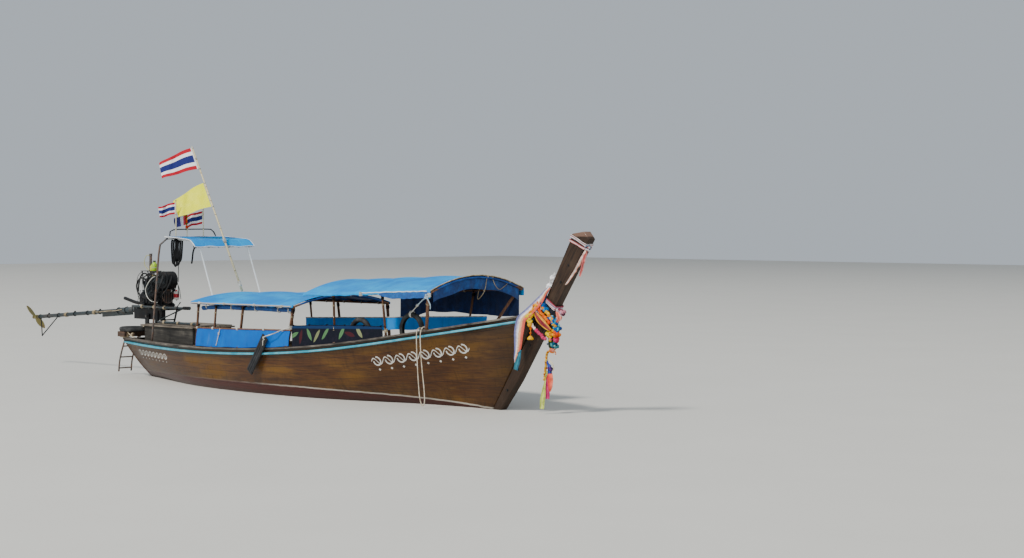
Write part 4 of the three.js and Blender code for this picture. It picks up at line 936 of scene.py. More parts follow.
HULL = VarnishedHull("varnished_hull")
STEM = StemWood("stem_wood")
DARK_WOOD = PlankWood("dark_wood", light="6a4d38", dark="2f2018", wear=0.15, gloss=0.62)
BARE_WOOD = PlankWood("bare_wood", light="8d6f50", dark="47331f", board=0.4, wear=0.2)
TARRED_WOOD = PlankWood("tarred_wood", light="45413b", dark="1c1a18", wear=0.2, gloss=0.7)
GREY_WOOD = PlankWood("weathered_wood", light="8f8475", dark="51473d", wear=0.5)
BENCH_WOOD = PlankWood("weathered_benches", along=Axis.Y, across=Axis.X, board=0.13, wear=0.4)
CAP_WOOD = PlankWood("weathered_caps", light="6f675e", dark="3c342e", board=0.5, wear=0.35)
POST_WOOD = PostWood("post_wood")
REAR_FRAME = PostWood("rear_frame_wood", sleeve=(1.45, 0.01))
FORE_FRAME = PostWood("fore_frame_wood", sleeve=(1.605, 0.045))
TURQUOISE = RailPaint("turquoise_paint")
TARP = Tarpaulin("blue_tarpaulin")
DODGER_TARP = Tarpaulin("blue_dodger", top="0058b0", faded="0070c6", fade=0.5, no_underside_shade=True)
# A brighter blue than the backrest's own cloth: painted sunlight on it.
LIT_BACKREST_TARP = Tarpaulin("blue_backrest_painted_light", top="1496f6", faded="34b0ff", fade=0.5, no_underside_shade=True)
LEAF_PRINT = LeafPrint("leaf_print")
ROLLED = Cloth("blue_roll", colour="0a4484", faded="1265b4", sheen=0.1)
PALE_PIPE = Metal("pale_pipe", "b7ada0", "8d8378", "75604f", "94765c", rusting=0.15, metal=0.0, rough=0.5)
NAVY = Cloth("navy_cloth", colour="0b2452", faded="123a78", sheen=0.1)
VALANCE = Cloth("navy_valance", colour="07346e", faded="0e5aa4", sheen=0.1)
# Darker blue over the starboard skirt: painted shade.
SKIRT_SHADE = Cloth("navy_skirt_painted_shade", colour="0a4f96", faded="1070bc", sheen=0.1)
OLIVE = Cloth("olive_panel", colour="6d6a45", faded="8b875f")
BLACK_STEEL = Metal("black_steel", "121417", "34373b", "33261f", "54402f", rusting=0.2)
RUSTY_STEEL = Metal("rusty_steel", "4c4744", "857b74", "4f3a30", "7d5c47", rusting=0.6, metal=0.25)
TAIL_STEEL = Metal("tail_steel", "333e42", "68757a", "4a3a30", "6d5848", rusting=0.3, metal=0.35)
IRON = Metal("engine_iron", "0d0e10", "33373b", "2c211c", "4d382c", rusting=0.16, metal=0.4, rough=0.42)
BRASS = Metal("dull_brass", colour="8a8256", worn="b5a56c", rust="57553c", rusting=0.4, metal=0.85)
WHITE_PAINT = Metal("white_paint", colour="dfe3e2", worn="b9bdbb", rusting=0.2, metal=0.0, rough=0.4)
BAMBOO = Bamboo("bamboo")
FLAG = StripedCloth("striped_cloth")
YELLOW = Cloth("yellow_cloth", colour="eeee0c", faded="f6f552", sheen=0.0, grime=0.04)
RIBBON = Cloth("ribbon_cloth", sheen=0.0, rough=0.7, depth=0.7)
PETALS = Petals("garland_flowers")
TYRE = Rubber("old_tyre")
BLACK_BOARD = Rubber("black_board", colour="1f2023", bloom="3b3b3d")
BELT = Rubber("belt_rubber", colour="101113", bloom="2d2d2e")
TAN_ROPE = Rope("rope_fibre")
WHITE_ROPE = Rope("white_rope", colour="e2e0d8", grime="a9a393")
BLUE_ROPE = Rope("pale_blue_rope", colour="b9d3e2", grime="8fa9ba")
CREAM_ROPE = Rope("cream_rope", colour="e6dac4", grime="b7a384")
BLACK_STRAP = Rope("black_strap", colour="0b0c0e", grime="17181a", sheen=0.04)
WHITE_TRIM = Cloth("white_trim", colour="e6e7e4", faded="cfd3d2")
WHITE_HOSE = Plastic("white_hose", colours=("d5d3c8",))

CAD_FINISHES: dict[str, Finish] = {
    "hull_shell": HULL, "transom": HULL, "keel": DARK_WOOD, "stem_post": STEM,
    "ribs_and_stringers": BARE_WOOD, "cap_rail_starboard": CAP_WOOD, "cap_rail_port": CAP_WOOD,
    "rub_rail_starboard": TURQUOISE, "rub_rail_port": TURQUOISE, "floor_boards": GREY_WOOD,
    "aft_deck": GREY_WOOD, "bench_1": BENCH_WOOD, "bench_2": BENCH_WOOD, "bench_3": BENCH_WOOD,
    "bench_4": BENCH_WOOD, "foredeck": GREY_WOOD, "stern_box": TARRED_WOOD, "stern_box_top": GREY_WOOD,
    "stern_beam": DARK_WOOD, "swivel_socket": BLACK_STEEL, "boarding_ladder": RUSTY_STEEL,
    "rear_awning_frame": REAR_FRAME, "fore_awning_frame": FORE_FRAME, "rear_awning": TARP,
    "fore_awning": TARP, "side_dodger": DODGER_TARP, "rear_curtain_roll": NAVY, "fore_curtain": VALANCE,
    "port_curtain": NAVY, "port_backrest": DODGER_TARP, "shelter_post": RUSTY_STEEL,
    "shelter_front": WHITE_PAINT, "shelter_roof": TARP, "roof_rail": BLACK_STEEL, "flag_pole": BAMBOO,
    "striped_flag": FLAG, "yellow_flag": YELLOW, "small_flag_1": FLAG, "small_flag_2": FLAG,
    "tyre_fender_fore": TYRE, "tyre_fender_middle": TYRE, "tyre_fender_stern": TYRE,
    "fender_board": BLACK_BOARD, "bow_rope": TAN_ROPE, "stem_band": RIBBON, "stem_sash": RIBBON,
    "stem_garland": PETALS, "side_ribbon": RIBBON, "front_ribbon": RIBBON, "swivel_yoke": BLACK_STEEL,
    "engine_bed": BLACK_STEEL, "tiller": TAIL_STEEL, "engine_block": IRON, "air_cleaner": IRON,
    "exhaust_stack": RUSTY_STEEL, "outlet_pipe": BLACK_STEEL, "tail_tube": TAIL_STEEL,
    "skeg_guard": BLACK_STEEL, "propeller": BRASS,
}


# Shapes


def unit(vectors: Array) -> Array:
    """Vectors divided by their lengths."""
    return vectors / np.maximum(np.linalg.norm(vectors, axis=-1, keepdims=True), 1e-12)


def smooth_path(points: Sequence[Sequence[float]], steps: int = 8) -> Array:
    """A Catmull-Rom curve: cubic spans whose end slopes are half the chord of the two neighbours.

    Args:
        points: Points that the curve passes.
        steps: Steps for each span.

    Returns:
        Points along the curve.
    """
    p = np.asarray(points, float)
    p = np.vstack([2 * p[0] - p[1], p, 2 * p[-1] - p[-2]])
    t = np.linspace(0, 1, steps, endpoint=False)[None, :, None]
    a, b, c, d = (p[i : len(p) - 3 + i][:, None, :] for i in range(4))
    curve = 2 * b + (c - a) * t + (2 * a - 5 * b + 4 * c - d) * t**2 + (3 * b - a - 3 * c + d) * t**3
    return np.vstack([0.5 * curve.reshape(-1, 3), p[-2]])


def even_path(path: Array, spacing: float) -> Array:
    """The same line with points an even distance apart.

    Args:
        path: Points of the line.
        spacing: Distance between points.

    Returns:
        Points along the line.
    """
    lengths = np.concatenate([[0.0], np.cumsum(np.linalg.norm(np.diff(path, axis=0), axis=1))])
    count = max(2, int(round(lengths[-1] / spacing)) + 1)
    places = np.linspace(0, lengths[-1], count)
    return np.stack([np.interp(places, lengths, path[:, k]) for k in range(3)], axis=1)


def path_length(path: Array) -> float:
    """Length of a line through points."""
    return float(np.linalg.norm(np.diff(path, axis=0), axis=1).sum())


def path_frames(path: Array, closed: bool = False) -> tuple[Array, Array, Array]:
    """Tangent, normal and binormal at each point, the normal carried along the line without twist.

    Args:
        path: Points of the line.
        closed: Whether the last point joins the first.

    Returns:
        Three arrays of unit vectors.
    """
    if closed:
        tangents = unit(np.roll(path, -1, axis=0) - np.roll(path, 1, axis=0))
    else:
        tangents = unit(np.gradient(path, axis=0))
    start = np.eye(3)[int(np.argmin(np.abs(tangents[0])))]
    normals = np.empty_like(path)
    normals[0] = unit(start - tangents[0] * (start @ tangents[0]))
    for i in range(1, len(path)):
        carried = normals[i - 1] - tangents[i] * (normals[i - 1] @ tangents[i])
        normals[i] = unit(carried)
    return tangents, normals, np.cross(tangents, normals)


@dataclass
class Form:
    """Faces of three and four corners, with a UV at each corner and a colour at each point."""

    points: Array
    quads: Array
    quad_uv: Array
    tris: Array
    tri_uv: Array
    tint: Array

    @staticmethod
    def of(points: Array, quads: Array, quad_uv: Array, tris: Any = None, tri_uv: Any = None) -> "Form":
        """A form without colour, whose triangles may be left out.

        Args:
            points: Its points.
            quads: Four corners for each such face.
            quad_uv: UVs of those corners.
            tris: Three corners for each such face.
            tri_uv: UVs of those corners.

        Returns:
            The form.
        """
        tris = np.zeros((0, 3), int) if tris is None else np.asarray(tris, int)
        tri_uv = np.zeros((0, 3, 2)) if tri_uv is None else tri_uv
        return Form(points, np.asarray(quads, int), quad_uv, tris, tri_uv, np.ones((len(points), 4)))

    @staticmethod
    def joined(forms: Sequence["Form"]) -> "Form":
        """Several forms as one."""
        starts = np.cumsum([0] + [len(f.points) for f in forms[:-1]])
        return Form(
            np.vstack([f.points for f in forms]), np.vstack([f.quads + s for f, s in zip(forms, starts)]),
            np.vstack([f.quad_uv for f in forms]), np.vstack([f.tris + s for f, s in zip(forms, starts)]),
            np.vstack([f.tri_uv for f in forms]), np.vstack([f.tint for f in forms]),
        )

    def tinted(self, *codes: str, by: Array | None = None) -> "Form":
        """Colours the points.

        Args:
            codes: One colour, or several to choose from.
            by: For each point, the place of its colour in codes; parts in between are blended.

        Returns:
            The form itself.
        """
        palette = np.array([tone(code) for code in codes])
        if by is None:
            self.tint[:] = palette[0]
        else:
            low = np.clip(np.floor(by).astype(int), 0, len(codes) - 1)
            high = np.minimum(low + 1, len(codes) - 1)
            part = (by - low)[:, None]
            self.tint[:] = palette[low] * (1 - part) + palette[high] * part
        return self

    def outward(self) -> "Form":
        """Turns the faces round if the signed volume, a sum of corner products, is below 0.

        Returns:
            The form itself.
        """
        p = self.points - self.points.mean(axis=0)
        q, t = p[self.quads], p[self.tris]
        volume = np.einsum("ij,ij->", q[:, 0], np.cross(q[:, 1], q[:, 2]))
        volume += np.einsum("ij,ij->", q[:, 0], np.cross(q[:, 2], q[:, 3]))
        volume += np.einsum("ij,ij->", t[:, 0], np.cross(t[:, 1], t[:, 2]))
        if volume < 0:
            self.quads, self.quad_uv = self.quads[:, ::-1], self.quad_uv[:, ::-1]
            self.tris, self.tri_uv = self.tris[:, ::-1], self.tri_uv[:, ::-1]
        return self

    def copies(self, frames: Array, origins: Array, tints: Array | None = None) -> "Form":
        """The form at many places: point = origin + frame times the form's point.

        Args:
            frames: For each copy, three columns that carry x, y and z with their scales.
            origins: For each copy, its place.
            tints: For each copy, its colour.

        Returns:
            All copies in one form.
        """
        n, m = len(origins), len(self.points)
        points = np.einsum("nij,mj->nmi", frames, self.points) + origins[:, None, :]
        steps = (np.arange(n) * m)[:, None, None]
        tint = np.ones((n, m, 4)) if tints is None else np.repeat(tints[:, None, :], m, axis=1)
        return Form(
            points.reshape(-1, 3), (self.quads[None] + steps).reshape(-1, 4),
            np.tile(self.quad_uv, (n, 1, 1)), (self.tris[None] + steps).reshape(-1, 3),
            np.tile(self.tri_uv, (n, 1, 1)), tint.reshape(-1, 4),
        )

    def mesh(self, name: str) -> bpy.types.Mesh:
        """Puts the form into a mesh, with its UV map and its colours as the attribute tint.

        Args:
            name: The mesh's name.

        Returns:
            The mesh.
        """
        mesh = bpy.data.meshes.new(name)
        corners = np.concatenate([self.quads.ravel(), self.tris.ravel()]).astype(np.int32)
        four, three = len(self.quads), len(self.tris)
        starts = np.concatenate([np.arange(four) * 4, four * 4 + np.arange(three) * 3])
        mesh.vertices.add(len(self.points))
        mesh.vertices.foreach_set("co", self.points.astype(np.float32).ravel())
        mesh.loops.add(len(corners))
        mesh.loops.foreach_set("vertex_index", corners)
        mesh.polygons.add(four + three)
        mesh.polygons.foreach_set("loop_start", starts.astype(np.int32))
        mesh.update(calc_edges=True)
        uv = mesh.uv_layers.new(name="UVMap")
        flat = np.vstack([self.quad_uv.reshape(-1, 2), self.tri_uv.reshape(-1, 2)])
        uv.data.foreach_set("uv", flat.astype(np.float32).ravel())
        colours = mesh.attributes.new("tint", "FLOAT_COLOR", "POINT")
        colours.data.foreach_set("color", self.tint.astype(np.float32).ravel())
        return mesh


def grid_faces(rows: int, columns: int, wrap: bool = False) -> tuple[Array, Array]:
    """Faces and UVs of a grid of points.

    Args:
        rows: Points along u.
        columns: Points along v.
        wrap: Whether the last column joins the first.

    Returns:
        Four corners for each face, and their UVs.
    """
    spans = columns if wrap else columns - 1
    i, j = np.meshgrid(np.arange(rows - 1), np.arange(spans), indexing="ij")
    i, j = i.ravel(), j.ravel()
    k = (j + 1) % columns
    quads = np.stack([i * columns + j, i * columns + k, (i + 1) * columns + k, (i + 1) * columns + j], axis=1)
    u0, u1, v0, v1 = i / (rows - 1), (i + 1) / (rows - 1), j / spans, (j + 1) / spans
    uv = np.stack([np.stack(c, axis=1) for c in ((u0, v0), (u0, v1), (u1, v1), (u1, v0))], axis=1)
    return quads, uv


def tube(
    path: Any, radius: Any, sides: int = 8, flat: float = 1.0, lobes: tuple[int, float, float] | None = None,
    closed: bool = False,
) -> Form:
    """A ring carried along a line: point = line(s) + r(s) (cos a n(s) + flat sin a b(s)).

    Args:
        path: Points of the line.
        radius: One radius, or one for each point.
        sides: Points of the ring.
        flat: Height of the ring as a share of its width.
        lobes: Count, depth and length of a turn of the strands that swell the radius.
        closed: Whether the line is a loop.

    Returns:
        The closed tube.
    """
    path = np.asarray(path, float)
    n = len(path)
    _, normals, binormals = path_frames(path, closed)
    angle = np.arange(sides) / sides * 2 * math.pi
    r = np.broadcast_to(np.asarray(radius, float), (n,))[:, None]
    spans = np.concatenate([[0.0], np.cumsum(np.linalg.norm(np.diff(path, axis=0), axis=1))])
    if lobes is not None:
        count, depth, turn = lobes
        r = r * (1 + depth * np.cos(count * (angle[None, :] - spans[:, None] / turn * 2 * math.pi)) - depth)
    ring = np.cos(angle)[None, :, None] * normals[:, None, :]
    ring = ring + flat * np.sin(angle)[None, :, None] * binormals[:, None, :]
    points = (path[:, None, :] + r[..., None] * ring).reshape(-1, 3)
    if closed:
        rows = np.arange((n + 1) * sides) % (n * sides)
        quads, uv = grid_faces(n + 1, sides, wrap=True)
        return Form.of(points, rows[quads], uv[..., ::-1]).outward()
    quads, uv = grid_faces(n, sides, wrap=True)
    uv[..., 0] *= spans[-1] / 0.05
    j = np.arange(sides)
    k = (j + 1) % sides
    first, last = n * sides, n * sides + 1
    tris = np.vstack(
        [
            np.stack([np.full(sides, first), k, j], axis=1),
            np.stack([np.full(sides, last), (n - 1) * sides + j, (n - 1) * sides + k], axis=1),
        ]
    )
    points = np.vstack([points, path[0], path[-1]])
    return Form.of(points, quads, uv[..., ::-1], tris, np.zeros((2 * sides, 3, 2))).outward()


def bent(
    points: Any, radius: Any, sides: int = 8, steps: int = 8, spacing: float = 0.0, flat: float = 1.0
) -> Form:
    """A tube along the smooth curve through points.

    Args:
        points: Points that the curve passes.
        radius: One radius, or one for each point of the curve.
        sides: Points of the ring.
        steps: Steps of the curve for each span.
        spacing: If above 0, the even distance between rings.
        flat: Height of the ring as a share of its width.

    Returns:
        The tube.
    """
    path = smooth_path(points, steps)
    if spacing > 0:
        path = even_path(path, spacing)
    return tube(path, radius, sides, flat)


def shell(surface: Array, thickness: Any) -> Form:
    """A closed thin body on both sides of a surface: point = surface + n t / 2 and surface - n t / 2.

    Args:
        surface: Points on a grid of u and v.
        thickness: One thickness, or one for each grid point.

    Returns:
        The body, with u and v as its UV map.
    """
    rows, columns, _ = surface.shape
    du, dv = np.gradient(surface, axis=0), np.gradient(surface, axis=1)
    offset = unit(np.cross(du, dv)) * np.broadcast_to(
        np.asarray(thickness, float), (rows, columns)
    )[..., None] / 2
    points = np.vstack([(surface + offset).reshape(-1, 3), (surface - offset).reshape(-1, 3)])
    quads, uv = grid_faces(rows, columns)
    n = rows * columns
    i = np.arange(rows) * columns
    j = np.arange(columns)
    loop = np.concatenate([j[:-1], i[:-1] + columns - 1, (rows - 1) * columns + j[:0:-1], i[:0:-1]])
    following = np.roll(loop, -1)
    rim = np.stack([loop, following, following + n, loop + n], axis=1)
    place = np.stack([loop // columns / (rows - 1), loop % columns / (columns - 1)], axis=1)
    place_next = np.roll(place, -1, axis=0)
    rim_uv = np.stack([place, place_next, place_next, place], axis=1)
    quads = np.vstack([quads, quads[:, ::-1] + n, rim[:, ::-1]])
    return Form.of(points, quads, np.vstack([uv, uv[:, ::-1], rim_uv[:, ::-1]])).outward()


def turned(profile: Any, origin: Any, axis: Any, sides: int = 24, ruffle: float = 0.0) -> Form:
    """A profile of (radius, height) turned about an axis; it starts and ends at radius 0.

    Args:
        profile: Radius and height pairs.
        origin: Where height is 0.
        axis: The way height grows.
        sides: Steps round.
        ruffle: How far every second point of the ring moves in, as a share of the radius.

    Returns:
        The closed body.
    """
    profile = np.asarray(profile, float)
    axis = unit(np.asarray(axis, float))
    across = unit(np.cross(axis, np.eye(3)[int(np.argmin(np.abs(axis)))]))
    other = np.cross(axis, across)
    angle = np.arange(sides) / sides * 2 * math.pi
    r = profile[1:-1, 0][:, None] * (1 - ruffle * (np.arange(sides) % 2))
    ring = np.cos(angle)[:, None] * across + np.sin(angle)[:, None] * other
    body = r[..., None] * ring[None] + profile[1:-1, 1][:, None, None] * axis
    n = len(profile) - 2
    points = np.vstack([body.reshape(-1, 3), profile[0, 1] * axis, profile[-1, 1] * axis]) + origin
    quads, uv = grid_faces(n, sides, wrap=True)
    j = np.arange(sides)
    k = (j + 1) % sides
    tris = np.vstack(
        [
            np.stack([np.full(sides, n * sides), k, j], axis=1),
            np.stack([np.full(sides, n * sides + 1), (n - 1) * sides + j, (n - 1) * sides + k], axis=1),
        ]
    )
    return Form.of(points, quads, uv, tris, np.zeros((2 * sides, 3, 2))).outward()


def disc(place: Any, axis: Any, radius: float, height: float, sides: int = 20) -> Form:
    """A flat round plate that stands on a place."""
    return turned([(0, 0), (radius, 0), (radius, height), (0, height)], place, axis, sides)


def ring_form(
    centre: Any, axis: Any, radius: float, section: float, sides: int = 20, flat: float = 1.0
) -> Form:
    """A closed ring of round section: a circle about the axis carried round.

    Args:
        centre: Its middle.
        axis: The way through it.
        radius: Its radius.
        section: Radius of its round section.
        sides: Steps round.
        flat: Height of the section as a share of its width.

    Returns:
        The ring.
    """
    axis = unit(np.asarray(axis, float))
    across = unit(np.cross(axis, np.eye(3)[int(np.argmin(np.abs(axis)))]))
    angle = np.arange(sides) / sides * 2 * math.pi
    other = np.cross(axis, across)
    circle = np.cos(angle)[:, None] * across + np.sin(angle)[:, None] * other
    return tube(np.asarray(centre, float) + radius * circle, section, 6, flat, closed=True)


def box_form(low: Any, high: Any) -> Form:
    """A box between two corners, six faces, each with its own UV square.

    Args:
        low: The lowest corner.
        high: The highest corner.

    Returns:
        The box.
    """
    corners = np.array([low, high], float)
    pick = np.array([(0, 0, 0), (1, 0, 0), (1, 1, 0), (0, 1, 0), (0, 0, 1), (1, 0, 1), (1, 1, 1), (0, 1, 1)])
    points = corners[pick, np.arange(3)]
    quads = [(0, 3, 2, 1), (4, 5, 6, 7), (0, 1, 5, 4), (1, 2, 6, 5), (2, 3, 7, 6), (3, 0, 4, 7)]
    square = np.array([(0, 0), (1, 0), (1, 1), (0, 1)], float)
    return Form.of(points, quads, np.tile(square, (6, 1, 1))).outward()


def bar_form(start: Any, end: Any, half_width: float, half_depth: float, up: Any = UP) -> Form:
    """A straight bar of rectangular section between two points, its depth as near to up as it goes.

    Args:
        start: One end.
        end: The other end.
        half_width: Half its width.
        half_depth: Half its depth.
        up: The way that its depth faces.

    Returns:
        The bar.
    """
    start, end = np.asarray(start, float), np.asarray(end, float)
    way = unit(end - start)
    side = unit(np.cross(way, np.asarray(up, float)))
    frame = np.stack([(end - start) / 2, side * half_width, np.cross(side, way) * half_depth], axis=1)
    return box_form((-1, -1, -1), (1, 1, 1)).copies(frame[None], ((start + end) / 2)[None]).outward()


BALL = turned([(0, -1), (0.72, -0.7), (1, 0), (0.72, 0.7), (0, 1)], (0, 0, 0), UP, 8, 0.16)
HEX_HEAD = turned([(0, 0), (1, 0), (1, 0.6), (0.8, 0.72), (0, 0.72)], (0, 0, 0), UP, 6)


# Height of a flower head as a share of its width
BALL_HEIGHT = 0.85


def balls(centres: Array, radii: Any, codes: Sequence[str], seed: int) -> Form:
    """Ruffled balls, each turned at random and in one of the colours.

    Args:
        centres: Their middles.
        radii: One radius, or one for each.
        codes: Colours, taken in turn with some chance.
        seed: Start of the random numbers.

    Returns:
        All balls in one form.
    """
    rng = np.random.default_rng(seed)
    n = len(centres)
    axes = unit(rng.normal(size=(n, 3)))
    side = unit(np.cross(axes, unit(rng.normal(size=(n, 3)))))
    other = np.cross(axes, side)
    size = (np.broadcast_to(np.asarray(radii, float), (n,)) * rng.uniform(0.88, 1.12, n))[:, None]
    frames = np.stack([side * size, other * size, axes * size * BALL_HEIGHT], axis=2)
    palette = np.array([tone(code) for code in codes])
    tints = palette[rng.integers(0, len(codes), n)] * rng.uniform(0.85, 1.1, (n, 1))
    tints[:, 3] = 1.0
    return BALL.copies(frames, centres, tints)


def bolts(places: Sequence[Sequence[float]], axis: Sequence[float], radius: float) -> Form:
    """Hexagon heads that stand on a face, all facing the same way.

    Args:
        places: Middles of their feet.
        axis: The way they face.
        radius: Radius over the corners.

    Returns:
        All heads in one form.
    """
    up = unit(np.asarray(axis, float))
    side = unit(np.cross(up, np.eye(3)[int(np.argmin(np.abs(up)))]))
    frame = np.stack([side, np.cross(up, side), up], axis=1) * radius
    origins = np.asarray(places, float)
    return HEX_HEAD.copies(np.repeat(frame[None], len(origins), axis=0), origins)


def coloured(grid: Array, codes: Sequence[str], thickness: float = 0.003, along: bool = False) -> Form:
    """A thin body on a grid whose colours run across it, or along it, in even bands.

    Args:
        grid: The middle surface.
        codes: Colours from the first column, or row, to the last.
        thickness: The cloth's thickness.
        along: Whether the colours run with the rows.

    Returns:
        The body.
    """
    rows, columns, _ = grid.shape
    count = len(codes)
    span = np.linspace(0, 1, rows)[:, None] if along else np.linspace(0, 1, columns)[None, :]
    place = np.broadcast_to(np.minimum(span * count, count - 0.001), (rows, columns))
    low = np.floor(place)
    soft = low + np.clip((place - low - 0.8) / 0.2, 0, 1)
    return shell(grid, thickness).tinted(*codes, by=np.tile(np.minimum(soft, count - 1).ravel(), 2))


def chain(
    path: Sequence[Sequence[float]], radius: float, pitch: float, codes: Sequence[str], seed: int
) -> Form:
    """Flower heads threaded on a line, close together and a little out of line.

    Args:
        path: Points that the string passes.
        radius: Radius of a flower head.
        pitch: Distance between heads.
        codes: Colours of the heads.
        seed: Start of the random numbers.

    Returns:
        The chain.
    """
    line = even_path(smooth_path(path, 10), pitch)
    rng = np.random.default_rng(seed)
    return balls(line + rng.normal(0, radius * 0.13, line.shape), radius, codes, seed)


def heap(
    centre: Sequence[float], spread: float, radius: float, count: int, codes: Sequence[str], seed: int
) -> Form:
    """Flower heads heaped round a point, on a ball of the given spread.

    Args:
        centre: Its middle.
        spread: Radius of the ball.
        radius: Radius of a flower head.
        count: How many heads.
        codes: Colours of the heads.
        seed: Start of the random numbers.

    Returns:
        The heap.
    """
    rng = np.random.default_rng(seed)
    spots = unit(rng.normal(size=(count, 3))) * spread * rng.uniform(0.35, 1.0, (count, 1))
    return balls(np.asarray(centre, float) + spots, radius, codes, seed)


def heap_of_turns(centre: Sequence[float], along: Sequence[float], radius: float, cord: float) -> Form:
    """A knot: rings about three different ways round one point.

    Args:
        centre: Its middle.
        along: The way its line runs.
        radius: Radius of its turns.
        cord: The cord's radius.

    Returns:
        The turns.
    """
    middle = np.asarray(centre, float)
    way = unit(np.asarray(along, float))
    side = unit(np.cross(way, (0.2, 0.1, 1.0)))
    rings = [
        ring_form(middle + way * 0.01 * k, way + side * (0.5 * (k % 2) - 0.25), radius, cord, 14)
        for k in (-1, 0, 1)
    ]
    rings.append(ring_form(middle, side, radius * 1.1, cord, 14))
    return Form.joined(rings)


def piece(
    name: str, form: Form, finish: Finish, body: str = "hull", smooth: float = 40.0, bevel: float = 0.0,
    replaces: Sequence[str] = (),
) -> bpy.types.Object:
    """Makes a form into a finished piece that rides on a body.

    Args:
        name: The piece's name.
        form: Its shape, in the shared frame.
        finish: Its material.
        body: The CAD body that it rides on.
        smooth: Angle in degrees above which an edge stays sharp.
        bevel: Width of its rounded edges in metres.
        replaces: CAD nodes that it stands for.

    Returns:
        The piece's object.
    """
    mesh = form.mesh(name)
    return _finished(name, mesh, finish, body, smooth, bevel, replaces)


def _finished(
    name: str, mesh: bpy.types.Mesh, finish: Finish, body: str, smooth: float, bevel: float,
    replaces: Sequence[str],
) -> bpy.types.Object:
    """Puts a mesh into the scene with its finish, shading, rounded edges, body and replaced nodes.

    Args:
        name: The piece's name.
        mesh: Its mesh.
        finish: Its material.
        body: The CAD body that it rides on.
        smooth: Angle in degrees above which an edge stays sharp.
        bevel: Width of its rounded edges in metres.
        replaces: CAD nodes that it stands for.

    Returns:
        The piece's object.
    """
    mesh.polygons.foreach_set("use_smooth", np.ones(len(mesh.polygons), bool))
    mesh.set_sharp_from_angle(angle=math.radians(smooth))
    mesh.materials.clear()
    mesh.materials.append(finish.material())
    made = bpy.data.objects.new(name, mesh)
    bpy.context.scene.collection.objects.link(made)
    if bevel > 0:
        rounding = made.modifiers.new("rounding", "BEVEL")
        rounding.width = bevel
        rounding.segments = 2
        rounding.limit_method = "ANGLE"
        rounding.angle_limit = math.radians(30)
    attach(made, body)
    if replaces:
        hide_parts(*replaces)
    LOG.info("%s: %d faces", name, len(mesh.polygons))
    return made


def refit(node: str, finish: Finish, body: str, bevel: float = 0.0, smooth: float = 35.0) -> bpy.types.Object:
    """A merged copy of a CAD node with smooth faces and rounded edges, in the node's place.

    Args:
        node: The CAD node.
        finish: Its material.
        body: The body that it rides on.
        bevel: Width of its rounded edges in metres.
        smooth: Angle in degrees above which an edge stays sharp.

    Returns:
        The copy.
    """
    mesh = bpy.data.objects[node].data.copy()
    mesh.name = f"{node}_fair"
    work = bmesh.new()
    work.from_mesh(mesh)
    bmesh.ops.remove_doubles(work, verts=work.verts, dist=2e-5)
    if bevel > 0:
        bmesh.ops.dissolve_limit(work, angle_limit=math.radians(0.8), verts=work.verts, edges=work.edges)
    work.to_mesh(mesh)
    work.free()
    if mesh.has_custom_normals:
        mesh.normals_split_custom_set([(0, 0, 0)] * len(mesh.loops))
    return _finished(f"{node}_fair", mesh, finish, body, smooth, bevel, [node])


# Camera, floor and lights


@dataclass
class Viewpoint:
    """The photograph's camera."""

    place: tuple[float, float, float] = (24.94, -19.71, 2.75)
    turn: float = 46.0
    pitch: float = 1.674
    focal_pixels: float = 1950.0
    frame_pixels: float = 1024.0
    sensor: float = 36.0

    def build(self) -> None:
        """Focal length = focal pixels times sensor width over frame width."""
        data = bpy.data.cameras.new("viewpoint")
        data.sensor_width = self.sensor
        data.sensor_fit = "HORIZONTAL"
        data.lens = self.focal_pixels * self.sensor / self.frame_pixels
        data.clip_end = 400.0
        camera = bpy.data.objects.new("viewpoint", data)
        bpy.context.scene.collection.objects.link(camera)
        camera.location = self.place
        camera.rotation_euler = (math.radians(90 - self.pitch), 0.0, math.radians(self.turn))
        bpy.context.scene.camera = camera


@dataclass
class Studio:
    """A pale floor at the waterline and soft daylight."""

    floor_half: float = 90.0
    floor_depth: float = 0.06
    sky: float = 0.64
    sun: float = 3.1
    sunlight: tuple[float, float, float] = (1.0, 0.965, 0.91)
    skylight: tuple[float, float, float] = (0.9, 0.95, 1.0)

    def build(self) -> None:
        """A floor, an even sky, a wide sun from high on the left and two low soft lights."""
        half = self.floor_half
        form = box_form((-half, -half, -self.floor_depth), (half, half, 0.0))
        mesh = form.mesh("floor")
        g = Graph("floor_paper")
        cloud = g.noise(g.place(), 0.5, 2.0)
        g.shade(g.mix(cloud, tone("d2d0c9"), tone("cbc9c2")), 0.75)
        mesh.materials.append(g.material)
        floor = bpy.data.objects.new("floor", mesh)
        bpy.context.scene.collection.objects.link(floor)
        world = bpy.data.worlds.new("soft_sky")
        world.use_nodes = True
        background = world.node_tree.nodes["Background"]
        background.inputs["Color"].default_value = tone("dfe9f3")
        background.inputs["Strength"].default_value = self.sky
        bpy.context.scene.world = world
        for name, strength, angle, turn in (
            ("sun", self.sun, 9.0, (math.radians(38), math.radians(-6), math.radians(8))),
            ("fill", 0.4, 40.0, (math.radians(68), 0.0, math.radians(70))),
            ("side", 0.75, 25.0, (math.radians(79), 0.0, math.radians(22))),
        ):
            data = bpy.data.lights.new(name, "SUN")
            data.energy = strength
            data.angle = math.radians(angle)
            data.color = self.sunlight if name == "sun" else self.skylight
            light = bpy.data.objects.new(name, data)
            light.rotation_euler = turn
            bpy.context.scene.collection.objects.link(light)


# Sub-assemblies


